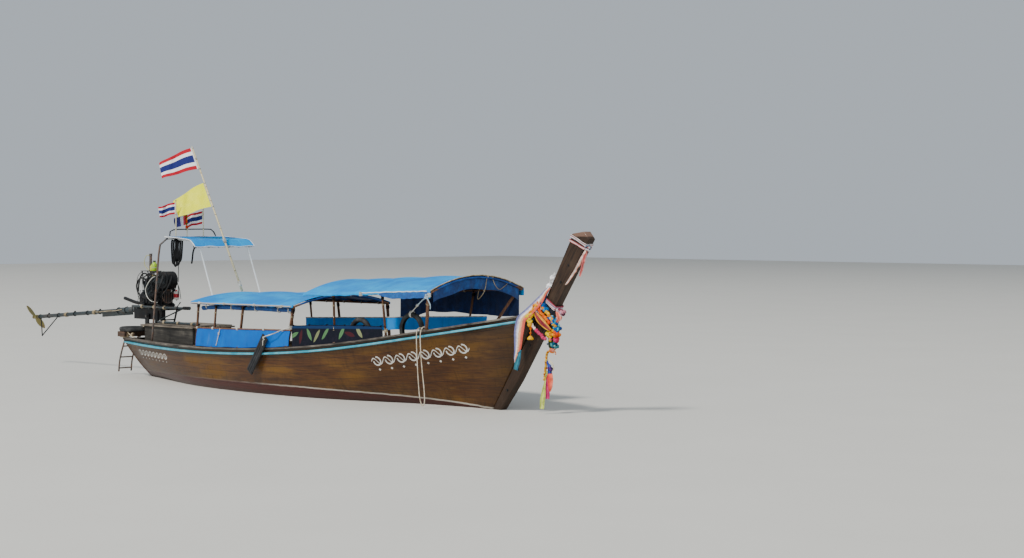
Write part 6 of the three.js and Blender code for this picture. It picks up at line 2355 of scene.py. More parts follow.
    def _small(self, number: int, top: Array, fly: float, height: float) -> None:
        """A flag on its stick, which stands in a socket on the roof's aft edge.

        Args:
            number: The flag's number, from 1.
            top: Top of the stick.
            fly: Reach of the upper edge.
            height: Length of the hoist.
        """
        base = self.roof_rail
        stick = tube(
            [(top[0], top[1], base), (top[0] + 0.004, top[1], (base + top[2]) / 2), tuple(top)], 0.009, 8
        )
        knob = turned([(0, 0), (0.013, 0.004), (0.013, 0.02), (0, 0.03)], top - (0, 0, 0.004), UP, 12)
        sheet = self._sheet(
            top - (0.006, 0.006, 0.02), top - (0.006, 0.006, 0.02 + height), (fly, fly * 0.9), (0.09, 0.07),
            20 + number,
        )
        piece(
            f"small_flag_stick_{number}", Form.joined([stick, knob]), BAMBOO,
            replaces=[f"small_flag_{number}"],
        )
        cloth = piece(f"small_flag_cloth_{number}", shell(sheet, self.cloth), FLAG, smooth=70)


STEM_FRONT = np.array([(4.35, 0.0), (4.71, 0.44), (5.1, 1.01), (5.52, 1.6), (6.06, 2.39), (6.14, 2.51)])
STEM_AFT = np.array([(4.052, -0.205), (5.128, 1.396), (5.372, 1.8), (5.782, 2.51), (5.812, 2.588)])


def stem_edge(z: float, front: bool) -> float:
    """Where the stem's front or aft edge stands at a height."""
    line = STEM_FRONT if front else STEM_AFT
    return float(np.interp(z, line[:, 1], line[:, 0]))


@dataclass(frozen=True)
class Strip:
    """A ribbon: a path with a width and a way across at each of its points."""

    path: tuple[tuple[float, float, float], ...]
    widths: tuple[float, ...]
    turns: tuple[float, ...] = (46.0,)
    cup: float = 0.15
    wave: float = 0.006
    pitch: float = 0.11
    seed: int = 1
    lean: float = 0.0

    def surface(self, columns: int = 9, spacing: float = 0.009) -> Array:
        """The strip as a grid.

        point = path(s) + w e(s) + n(s) (cup w^2 / width + wave sin(2 pi s / pitch + phase)), where w runs
        across the width, e is the way across, turned about +Z by the angles, and n is square to it.

        Args:
            columns: Points across.
            spacing: Step along the path in metres.

        Returns:
            Points on a grid: along, then across.
        """
        rng = np.random.default_rng(self.seed)
        fine = smooth_path(self.path, 12)
        line = even_path(fine, spacing)
        s = np.linspace(0, 1, len(line))
        knots = np.linspace(0, 1, len(self.widths))
        width = np.interp(s, knots, self.widths)[:, None]
        turn = np.radians(np.interp(s, np.linspace(0, 1, len(self.turns)), self.turns))
        across = np.stack([np.cos(turn), np.sin(turn), np.full_like(turn, self.lean)], axis=1)
        across = unit(across)
        tangent = unit(np.gradient(line, axis=0))
        across = unit(across - tangent * np.einsum("ij,ij->i", across, tangent)[:, None])
        normal = np.cross(tangent, across)
        w = np.linspace(-0.5, 0.5, columns)[None, :] * width
        length = path_length(line)
        phase = rng.uniform(0, 6)
        swing = self.wave * np.sin(s * length / self.pitch * 2 * math.pi + phase)[:, None]
        swing = swing * (1 + 2.0 * w / np.maximum(width, 1e-4))
        push = self.cup * w * w / np.maximum(width, 1e-4) + swing
        return line[:, None, :] + across[:, None, :] * w[..., None] + normal[:, None, :] * push[..., None]


# How much further out each turn of a wound ribbon lies
WOUND_GROWTH = 0.004


def wound(
    aft: Sequence[float], front: Sequence[float], half: float, width: float, turns: float = 2.0,
    clearance: float = 0.005, columns: int = 13,
) -> Array:
    """A ribbon wound round the stem: a rectangle with round corners that grows a little each turn.

    Args:
        aft: x and z of the middle of the ribbon on the stem's aft edge.
        front: The same on its front edge.
        half: Half the stem's thickness.
        width: The ribbon's width.
        turns: How often it goes round.
        clearance: Gap to the wood.
        columns: Points across the width.

    Returns:
        Points on a grid: along the ribbon, then up across its width.
    """
    a, f = np.array([aft[0], 0.0, aft[1]]), np.array([front[0], 0.0, front[1]])
    e1 = unit(f - a)
    e2 = np.array([0.0, 1.0, 0.0])
    up = unit(np.cross(e1, e2) * -1.0)
    up = up if up[2] > 0 else -up
    length = float(np.linalg.norm(f - a)) / 2
    points = []
    steps = int(turns * 4 * 6)
    for k in range(steps + 1):
        turn = k / 24.0
        corner, part = divmod(k, 6)
        signs = ((1, 1), (-1, 1), (-1, -1), (1, -1))[corner % 4]
        out = clearance + WOUND_GROWTH * turn
        radius = 0.012
        angle = math.radians(90 * (corner % 4) + 90 * part / 5.0)
        cx = signs[0] * (length + out - radius) + radius * math.cos(angle)
        cy = signs[1] * (half + out - radius) + radius * math.sin(angle)
        points.append((a + f) / 2 + e1 * cx + e2 * cy)
    line = even_path(np.array(points), 0.008)
    w = np.linspace(-0.5, 0.5, columns)[None, :, None] * width
    s = np.linspace(0, 1, len(line))[:, None, None]
    ripple = 0.003 * np.sin(s * 41.0 + w * 60.0)
    return line[:, None, :] + up * (w + ripple)


@dataclass
class StemOrnaments:
    """Ribbons, garlands and tassels tied to the stem by sailors' custom."""

    half: float = 0.068

    def build(self) -> None:
        """Builds the band at the top, the sash, the side ribbon, the garlands and what hangs below."""
        self._band()
        self._puff()
        self._sash()
        self._side()
        self._garlands()
        self._hanging()

    def _ribbon(
        self, name: str, grid: Array, codes: Sequence[str],
        replaces: Sequence[str] = (),
    ) -> None:
        """One ribbon as a sheet."""
        made = piece(name, coloured(grid, codes), RIBBON, smooth=75, replaces=replaces)

    def _band(self) -> None:
        """Two narrow striped ribbons near the stem's head, with a knot and two tails."""
        upper = wound((5.8, 2.56), (6.083, 2.428), self.half, 0.034, 2.0, columns=15)
        lower = wound((5.775, 2.496), (6.053, 2.384), self.half, 0.03, 2.0, columns=15)
        stripes = ("d8cfd2", "efe9e8", "d79aa0", "4a3d44", "efe9e8")
        self._ribbon("stem_band_upper", upper, stripes, ["stem_band"])
        self._ribbon(
            "stem_band_lower", lower, ("e9a7a6", "f1ebe9", "c9767c")
        )
        knot = [
            heap((6.095, -0.03, 2.392), 0.02, 0.02, 9, ("8fa3b4", "d9dbe0", "c98a8f"), 3),
            bent([(6.07, -0.08, 2.4), (6.11, -0.05, 2.42), (6.12, -0.01, 2.39), (6.09, 0.0, 2.36)], 0.011),
            bent([(6.08, -0.08, 2.37), (6.12, -0.06, 2.36), (6.115, -0.02, 2.34), (6.08, -0.02, 2.35)], 0.01),
        ]
        knot[1].tinted("8fa3b4")
        knot[2].tinted("e3dfe0")
        piece("stem_band_knot", Form.joined(knot), RIBBON, smooth=80)
        pale = Strip(
            (
                (6.085, -0.06, 2.365), (6.04, -0.086, 2.27), (5.94, -0.084, 2.13), (5.84, -0.082, 2.01),
                (5.765, -0.078, 1.93), (5.698, -0.08, 1.862),
            ),
            (0.026, 0.04, 0.046, 0.034, 0.03, 0.02), (40.0, 20.0, 60.0, 15.0, 40.0), seed=4,
        )
        red = Strip(
            ((6.085, -0.05, 2.37), (6.05, -0.072, 2.23), (6.01, -0.066, 2.11), (5.95, -0.05, 1.99)),
            (0.028, 0.05, 0.042, 0.04, 0.026), (50.0, 70.0, 30.0), seed=7,
        )
        self._ribbon(
            "stem_tail_pale", pale.surface(), ("f0d9cf", "f4efe8", "eab9a6")
        )
        self._ribbon(
            "stem_tail_red", red.surface(), ("e79b98", "db6d67", "e8a7a1")
        )

    def _puff(self) -> None:
        """White ribbon crumpled into loops along the aft edge, with pink and blue strands below it."""
        loops = []
        for k in range(9):
            z = 2.03 - 0.032 * k
            x = stem_edge(z, False) - (0.016 if k % 2 else 0.046)
            loops.append((x, -0.062 + 0.016 * math.sin(k * 1.7), z))
        strip = Strip(
            tuple(loops), (0.026, 0.064, 0.058, 0.066, 0.03), (16.0, 40.0, 10.0, 36.0), 0.35, 0.008, 0.09, 11
        )
        grid = strip.surface(columns=9, spacing=0.008)
        self._ribbon("stem_puff", grid, ("ffffff", "f2eeee", "ffffff"))
        strands = []
        runs = (
            (
                ((5.33, -0.06, 1.77), (5.3, -0.085, 1.7), (5.285, -0.095, 1.65), (5.272, -0.105, 1.592)),
                "2f93c4",
            ),
            (
                ((5.345, -0.05, 1.79), (5.322, -0.082, 1.72), (5.315, -0.092, 1.66), (5.29, -0.1, 1.6)),
                "1f6f9c",
            ),
            (((5.31, -0.06, 1.79), (5.28, -0.08, 1.745), (5.3, -0.09, 1.69), (5.3, -0.095, 1.64)), "d9899a"),
        )
        for run, code in runs:
            strands.append(bent(run, 0.012, flat=0.5).tinted(code))
        strands.append(heap((5.268, -0.1, 1.59), 0.024, 0.022, 10, ("1f8fc4", "3fb0dc", "1f6f9c"), 12))
        strands.append(heap((5.305, -0.06, 1.8), 0.022, 0.016, 8, ("f3d9a0", "f2eeee", "e08a7a"), 13))
        piece("stem_strands", Form.joined(strands), PETALS, smooth=80)

    def _sash(self) -> None:
        """The striped wrap, the dark blue one below it and the knot on the stem's front edge."""
        upper = wound((5.286, 1.66), (5.474, 1.536), self.half, 0.066, 2.3, 0.012, columns=19)
        lower = wound((5.238, 1.586), (5.424, 1.464), self.half, 0.1, 2.3, 0.006, columns=11)
        stripes = ("f1ecee", "c33c4c", "f1ecee", "8a6a9c", "e4b9c6", "b0405a")
        self._ribbon("sash_striped", upper, stripes, ["stem_sash"])
        self._ribbon("sash_dark", lower, ("1d2740", "202c4c", "141a2e"))
        knot = [
            heap((5.58, -0.02, 1.462), 0.034, 0.03, 16, ("b08a9c", "d9a7b4", "7d4a6a", "c9b4c4"), 21),
            heap((5.555, -0.055, 1.385), 0.026, 0.026, 12, ("e8836a", "efa58e", "d96a5a"), 22),
            heap((5.53, -0.05, 1.5), 0.022, 0.024, 8, ("b05a7a", "e7d6dc"), 23),
        ]
        piece("sash_knot", Form.joined(knot), PETALS, smooth=80)
        loop = Strip(
            ((5.52, -0.075, 1.48), (5.56, -0.09, 1.44), (5.575, -0.086, 1.38), (5.54, -0.094, 1.33)),
            (0.03, 0.06, 0.064, 0.04), (40.0, 55.0), seed=24,
        )
        self._ribbon("sash_tail", loop.surface(), ("f0a48e", "e8775e", "f3b7a4"))

    def _side(self) -> None:
        """The wide ribbon that lies across the sheer and hangs beside the stem, and its teal end."""
        rows = np.array(
            [
                (5.372, 1.836, 5.405, 1.806, -0.09), (5.3, 1.77, 5.35, 1.722, -0.108),
                (5.185, 1.668, 5.27, 1.578, -0.132), (5.03, 1.508, 5.14, 1.422, -0.196),
                (4.902, 1.392, 5.066, 1.335, -0.246), (4.866, 1.24, 5.05, 1.205, -0.262),
                (4.86, 1.06, 5.018, 1.045, -0.267), (4.854, 0.905, 4.968, 0.892, -0.266),
                (4.85, 0.8, 4.912, 0.795, -0.264), (4.85, 0.735, 4.872, 0.732, -0.262),
            ]
        )
        fine = smooth_path(np.column_stack([rows[:, 0], rows[:, 4], rows[:, 1]]), 14)
        other = smooth_path(np.column_stack([rows[:, 2], rows[:, 4], rows[:, 3]]), 14)
        v = np.linspace(0, 1, 21)
        grid = fine[:, None, :] * (1 - v[None, :, None]) + other[:, None, :] * v[None, :, None]
        s = np.linspace(0, 1, len(fine))[:, None]
        fold = 0.009 * np.sin(
            v[None, :] * 2 * math.pi * 2.2 + s * 3.0
        ) * np.sin(np.clip(s * 4, 0, math.pi / 2))
        grid[..., 1] -= fold + 0.004 * np.sin(s * 23)
        codes = ("8f93bd", "cfcbe0", "f4f1f3", "f6f0ea", "f3cfa6", "ef9a80", "e98670", "e27a66")
        made = piece("side_ribbon_cloth", coloured(grid, codes), RIBBON, smooth=75, replaces=["side_ribbon"])
        teal = Strip(
            ((4.998, -0.28, 0.92), (4.972, -0.28, 0.83), (4.93, -0.28, 0.73), (4.9, -0.28, 0.632)),
            (0.026, 0.07, 0.08, 0.074), (8.0, 14.0), 0.3, 0.003, 0.2, 31,
        )
        self._ribbon(
            "side_ribbon_end", teal.surface(), ("2f8c9c", "3fa3b2", "2a7f96")
        )
        cord = bent([(4.925, -0.272, 0.865), (4.955, -0.284, 0.885), (5.005, -0.282, 0.9)], 0.006)
        piece("side_ribbon_stitch", cord.tinted("2f8c9c"), RIBBON, smooth=80)

    def _garlands(self) -> None:
        """Marigold chains, the dark red band with gold edges, blue petals and the flower cluster."""
        marigold = ("f3c51d", "f0b01a", "ee8f1c", "f6d548")
        bright = ("f4e22a", "f6e64a", "f2c81e")
        orange = ("ef8a1c", "f2a52a", "e8762a")
        pink = ("e46f9f", "d9558c", "f09cba", "e8447c")
        forms = [
            chain(
                [(5.215, -0.1, 1.61), (5.145, -0.15, 1.535), (5.085, -0.185, 1.43)], 0.036, 0.034, marigold,
                41,
            ),
            chain(
                [(5.18, -0.11, 1.58), (5.11, -0.17, 1.48), (5.066, -0.195, 1.38)], 0.034, 0.036, orange, 42
            ),
            chain([(5.15, -0.15, 1.47), (5.105, -0.19, 1.4), (5.11, -0.195, 1.33)], 0.036, 0.034, bright, 63),
            chain(
                [(5.075, -0.19, 1.43), (5.072, -0.205, 1.36), (5.108, -0.2, 1.285)], 0.042, 0.036, bright, 43
            ),
            chain(
                [(5.09, -0.185, 1.33), (5.118, -0.19, 1.25), (5.11, -0.19, 1.225)], 0.022, 0.03, orange, 44
            ),
            chain(
                [
                    (5.215, -0.1, 1.56), (5.3, -0.115, 1.52), (5.4, -0.12, 1.44), (5.48, -0.115, 1.35),
                    (5.51, -0.1, 1.27),
                ],
                0.034, 0.036, marigold, 45,
            ),
            chain(
                [(5.19, -0.125, 1.53), (5.27, -0.15, 1.47), (5.37, -0.155, 1.39), (5.44, -0.14, 1.32)], 0.028,
                0.034, orange, 64,
            ),
            chain(
                [(5.16, -0.13, 1.5), (5.19, -0.14, 1.44), (5.2, -0.14, 1.39)], 0.028, 0.026,
                ("e9dff0", "f6f0f4", "c9b4dc"), 46,
            ),
            chain([(5.12, -0.17, 1.29), (5.165, -0.165, 1.235)], 0.027, 0.034, ("f6ecea", "f3d3d8"), 47),
            chain([(5.19, -0.155, 1.2), (5.25, -0.14, 1.15), (5.33, -0.125, 1.085)], 0.032, 0.034, pink, 48),
            heap((5.43, -0.105, 1.385), 0.038, 0.028, 18, ("1f9bc9", "2fb0dc", "0d6fb0", "bfe3ee"), 49),
            heap((5.49, -0.085, 1.32), 0.05, 0.03, 24, ("1fa3cf", "49c0dc", "1573b4"), 50),
            heap((5.525, -0.065, 1.24), 0.05, 0.028, 24, ("0f66ac", "1a86c4", "69cbdc"), 51),
            heap((5.35, -0.12, 1.5), 0.034, 0.028, 16, ("1f8fc4", "49b8d9"), 52),
            heap((5.3, -0.11, 1.56), 0.03, 0.026, 12, ("1f8fc4", "0d6fb0"), 65),
            heap((5.385, -0.085, 1.15), 0.046, 0.032, 18, bright, 53),
            heap((5.45, -0.085, 1.18), 0.044, 0.03, 16, marigold, 66),
            heap((5.51, -0.065, 1.165), 0.048, 0.032, 18, orange, 54),
            heap((5.49, -0.055, 1.07), 0.038, 0.027, 14, pink, 55),
            heap((5.4, -0.07, 1.09), 0.036, 0.026, 12, ("f2cf3a", "e46f9f", "f4e22a"), 56),
            heap((5.43, -0.04, 1.0), 0.048, 0.022, 26, ("2a7fa0", "3f9cb0", "74b8bd", "1f5f86"), 57),
            heap((5.48, -0.04, 0.985), 0.034, 0.02, 14, ("7fc0bd", "a9d0cc", "4f9fa8"), 58),
            heap((5.385, -0.03, 0.925), 0.034, 0.032, 14, ("f09a1f", "f2b21e", "e87f1c"), 59),
            heap((5.42, -0.06, 0.925), 0.012, 0.026, 4, ("f3a296", "f6c0b0"), 60),
            chain(
                [(5.44, -0.04, 0.945), (5.462, -0.045, 0.9), (5.47, -0.045, 0.872)], 0.01, 0.017,
                ("f1dfc0", "ef9f3a"), 61,
            ),
            heap((5.34, -0.03, 1.02), 0.036, 0.02, 14, ("8f9fb4", "c9d3dc", "5f86a4"), 62),
        ]
        core = bent(
            [
                (5.33, -0.05, 1.42), (5.4, -0.04, 1.28), (5.4, -0.03, 1.14), (5.38, -0.02, 1.0),
                (5.36, -0.01, 0.92),
            ],
            np.interp(np.linspace(0, 1, 33), [0, 0.4, 0.8, 1], [0.05, 0.075, 0.06, 0.02]), 12,
        )
        forms.append(core.tinted("4a5a3a"))
        piece("stem_garlands", Form.joined(forms), PETALS, smooth=80, replaces=["stem_garland"])
        v = np.linspace(-0.5, 0.5, 19)
        line = even_path(
            smooth_path(
                [
                    (5.15, -0.15, 1.47), (5.215, -0.158, 1.4), (5.29, -0.16, 1.34), (5.375, -0.158, 1.28),
                    (5.47, -0.145, 1.215),
                ],
                10,
            ),
            0.01,
        )
        up = unit(np.array([0.6, 0.0, 0.8]))
        s = np.linspace(0, 1, len(line))
        width = 0.118 * np.sin(np.clip(s * 1.0, 0.06, 0.94) * math.pi) ** 0.5
        grid = line[:, None, :] + up * (v[None, :] * width[:, None])[..., None]
        grid[..., 1] -= 0.016 * (1 - (v[None, :] * 2) ** 2) + 0.005 * np.sin(v[None, :] * 14 + s[:, None] * 9)
        codes = ("d9a62e", "f0c83a", "a5143c", "a01238", "ae1c44", "a5143c", "f0c83a", "e0a020")
        self._ribbon("garland_band", grid, codes)
        top = np.array([5.106, -0.19, 1.225])
        tassel = [
            tube([top, top + (0.004, 0, -0.05), top + (0.0, 0, -0.115)], 0.006, 8).tinted("e8a040"),
            turned(
                [(0, 0.012), (0.014, 0.01), (0.018, 0), (0.012, -0.012), (0, -0.014)], top - (0, 0, 0.06), UP,
                10,
            ).tinted("e4933a"),
            turned(
                [
                    (0, 0.03), (0.018, 0.026), (0.034, 0.01), (0.048, -0.006), (0.05, -0.02), (0.036, -0.03),
                    (0, -0.026),
                ],
                top - (0, 0, 0.128), UP, 24, 0.14,
            ).tinted("f2cf3f"),
        ]
        piece("garland_tassel", Form.joined(tassel), PETALS, smooth=60)

    def _hanging(self) -> None:
        """The bead string and the short ribbons that hang in front of the stem."""
        line = even_path(
            smooth_path(
                [
                    (5.365, -0.02, 0.915), (5.31, -0.012, 0.9), (5.272, -0.006, 0.86), (5.258, -0.006, 0.76),
                    (5.246, -0.01, 0.64), (5.236, -0.018, 0.5),
                ],
                10,
            ),
            0.024,
        )
        rng = np.random.default_rng(71)
        beads = [
            balls(
                line + rng.normal(0, 0.003, line.shape) - (0, 0.024, 0), 0.0195,
                ("f0c83a", "f3dc7a", "e0a530"), 71,
            ),
            tube(line, 0.005, 6).tinted("c9b26a"),
            heap((5.252, -0.02, 0.66), 0.012, 0.016, 6, ("dd6a4e", "e8876a"), 72),
            heap((5.352, -0.026, 0.66), 0.022, 0.026, 10, ("3a2a5c", "54306f", "7d5aa0"), 73),
            heap((5.25, -0.016, 0.515), 0.012, 0.018, 6, ("e8a040", "e9c95a"), 74),
        ]
        piece("bead_string", Form.joined(beads), PETALS, smooth=80)
        curl = bent(
            [
                (5.3, -0.026, 0.79), (5.352, -0.04, 0.77), (5.41, -0.046, 0.73), (5.43, -0.046, 0.67),
                (5.414, -0.04, 0.63),
            ],
            0.007, 8, 10,
        )
        piece("cream_curl", curl.tinted("e9dfc4"), RIBBON, smooth=80)
        blue = Strip(
            ((5.262, -0.014, 0.76), (5.32, -0.03, 0.7), (5.335, -0.032, 0.62), (5.318, -0.03, 0.52)),
            (0.018, 0.052, 0.062, 0.036), (46.0, 60.0, 40.0), 0.5, 0.008, 0.09, 75,
        )
        coral = Strip(
            ((5.322, -0.022, 0.64), (5.345, -0.03, 0.54), (5.352, -0.034, 0.42), (5.345, -0.036, 0.33)),
            (0.03, 0.076, 0.08, 0.062, 0.03), (46.0, 38.0, 56.0), 0.4, 0.007, 0.16, 76,
        )
        magenta = Strip(
            ((5.28, -0.018, 0.56), (5.29, -0.03, 0.46), (5.3, -0.036, 0.34), (5.302, -0.04, 0.225)),
            (0.022, 0.05, 0.06, 0.054), (56.0, 40.0, 48.0), 0.4, 0.006, 0.15, 77,
        )
        green = Strip(
            (
                (5.262, -0.014, 0.62), (5.262, -0.022, 0.5), (5.235, -0.044, 0.35), (5.222, -0.062, 0.21),
                (5.222, -0.074, 0.078),
            ),
            (0.016, 0.048, 0.056, 0.07, 0.06), (46.0, 38.0, 56.0, 40.0), 0.35, 0.006, 0.2, 78,
        )
        self._ribbon(
            "ribbon_green", green.surface(), ("d6e07a", "e6ec9c", "ccd66c"),
            ["front_ribbon"],
        )
        self._ribbon(
            "ribbon_magenta", magenta.surface(), ("b8206a", "e04094", "cc2f80")
        )
        self._ribbon("ribbon_coral", coral.surface(), ("ee5a40", "f58060", "f79a78"))
        self._ribbon("ribbon_blue", blue.surface(), ("2a4fb4", "3f6ad0", "2a3f94"))


@dataclass
class Fenders:
    """Worn motorcycle tyres on their ropes, and the black board outside the rail."""

    ring: float = 0.228
    section: float = 0.04
    wall: float = 0.007
    blocks: int = 44
    arc: float = 2.55
    shoulder: float = 0.95
    groove: float = 0.005
    seam: float = 0.004

    def build(self) -> None:
        """Builds the tyres with their tread, then the ropes."""
        for name, centre, axis in (
            ("tyre_fender_fore", (3.0, -0.598, 1.14), PORT),
            ("tyre_fender_middle", (1.98, -0.748, 1.03), PORT),
            ("tyre_fender_stern", (-4.74, -0.415, 0.847), UP),
        ):
            piece(f"{name}_tread", self._tyre(centre, axis), TYRE, smooth=32, replaces=[name])
        self._ropes()
        self._board()

    def _tyre(self, centre: Sequence[float], axis: Sequence[float]) -> Form:
        """A C-shaped wall swept round: the section runs from bead to bead outside, then back inside.

        Outer radius = section (1 - 0.13 groove), where a groove is every fourth step of the ring, shifted
        along with the angle on the tread, and the beads are thickened ends.

        Args:
            centre: Its middle.
            axis: The way through it.

        Returns:
            The tyre.
        """
        steps = self.blocks * 4
        span = np.linspace(-self.arc, self.arc, 21)
        turn = np.arange(steps) / steps * 2 * math.pi
        outer = np.full((steps, len(span)), self.section)
        block = (np.arange(steps)[:, None] + np.round(np.abs(span) * 3).astype(int)[None, :]) % 4 == 0
        tread = np.abs(span)[None, :] < self.shoulder
        outer = outer - self.groove * (block & tread) - self.seam * (np.abs(span)[None, :] < 0.09)
        inner = np.broadcast_to(self.section - self.wall + 0.002 * (np.abs(span) > 2.3), outer.shape)[:, ::-1]
        radius = np.concatenate([outer, inner], axis=1)
        angle = np.concatenate([span, span[::-1]])
        axis = unit(np.asarray(axis, float))
        across = unit(np.cross(axis, (1.0, 0.3, 0.2)))
        other = np.cross(axis, across)
        way = np.cos(turn)[:, None] * across + np.sin(turn)[:, None] * other
        reach = self.ring + radius * np.cos(angle)[None, :]
        lift = radius * np.sin(angle)[None, :]
        points = way[:, None, :] * reach[..., None] + axis * lift[..., None] + np.asarray(centre, float)
        count = len(angle)
        rows = np.arange((steps + 1) * count) % (steps * count)
        quads, uv = grid_faces(steps + 1, count, wrap=True)
        return Form.of(points.reshape(-1, 3), rows[quads], uv).outward()

    def _ropes(self) -> None:
        """Taut ropes with knots: from the awning's corner to the fore tyre, from the posts to the others."""
        corner, knot, top = (3.76, -0.972, 1.672), (3.3, -0.752, 1.52), (2.985, -0.6, 1.395)
        blue = [
            bent([corner, (3.52, -0.862, 1.596), knot], 0.0085, 8, 8, 0.02),
            lashing(corner, (0.3, 0, 1), 0.02, 4, 0.008),
            bent([corner, (3.8, -0.985, 1.62), (3.835, -0.975, 1.55), (3.825, -0.965, 1.49)], 0.007),
        ]
        piece("fore_fender_rope", Form.joined(blue), BLUE_ROPE, smooth=80)
        white = [
            bent([knot, (3.14, -0.672, 1.456), top], 0.0085, 8, 8, 0.02),
            heap_of_turns(knot, (-0.66, 0.3, -0.25), 0.013, 0.0085),
            ring_form((2.995, -0.598, 1.376), (1, 0, 0.1), 0.048, 0.008, 24),
            ring_form((3.012, -0.598, 1.374), (1, 0.1, -0.1), 0.048, 0.008, 24),
        ]
        piece("fore_fender_knot", Form.joined(white), WHITE_ROPE, smooth=80)
        middle = []
        for start, end in (
            ((1.76, -0.75, 1.075), (1.628, -0.964, 1.12)), ((2.2, -0.75, 1.08), (2.693, -0.842, 1.13))
        ):
            middle.append(tube(even_path(np.array([start, end]), 0.03), 0.007, 8))
            middle.append(lashing(end, UP, 0.02, 4, 0.006))
            middle.append(ring_form((start[0], -0.748, start[2] - 0.03), (0, 0.2, 1), 0.048, 0.007, 24))
        piece("middle_fender_ropes", Form.joined(middle), TAN_ROPE, smooth=80)
        stern = [
            ring_form((-4.74, -0.187, 0.847), FORE, 0.049, 0.008, 24),
            bent(
                [(-4.74, -0.15, 0.88), (-4.8, -0.1, 0.85), (-4.86, -0.06, 0.824), (-4.905, -0.02, 0.812)],
                0.008,
            ),
        ]
        piece("stern_fender_rope", Form.joined(stern), TAN_ROPE, smooth=80)

    def _board(self) -> None:
        """The white rope from the board's head over the rail to the post, with a loop through the hole, and
        ribs along the board.
        """
        head = np.array([0.105, -1.176, 0.905])
        run = [head, (0.15, -1.19, 0.945), (0.33, -1.14, 1.0), (0.47, -1.088, 1.062), (0.574, -1.04, 1.092)]
        forms = [
            bent(run, 0.008, 8, 10, 0.015), lashing((0.58, -1.012, 1.092), UP, 0.027, 4, 0.007),
            ring_form(head + (0.0, 0.018, 0.012), (0.85, 0.0, 0.6), 0.03, 0.008, 20),
            bent([head, (0.09, -1.182, 0.86), (0.085, -1.18, 0.8)], 0.006),
        ]
        piece("fender_board_rope", Form.joined(forms), WHITE_ROPE, smooth=80)
        grooves = []
        for share in (0.22, 0.5, 0.78):
            start = np.array([0.12 + (share - 0.5) * 0.13, -1.175, 0.93 - (share - 0.5) * 0.09])
            grooves.append(bar_form(start, start + np.array([-0.4, 0.0, -0.555]), 0.004, 0.003, PORT))
        piece("fender_board_ribs", Form.joined(grooves), BLACK_BOARD, smooth=40)


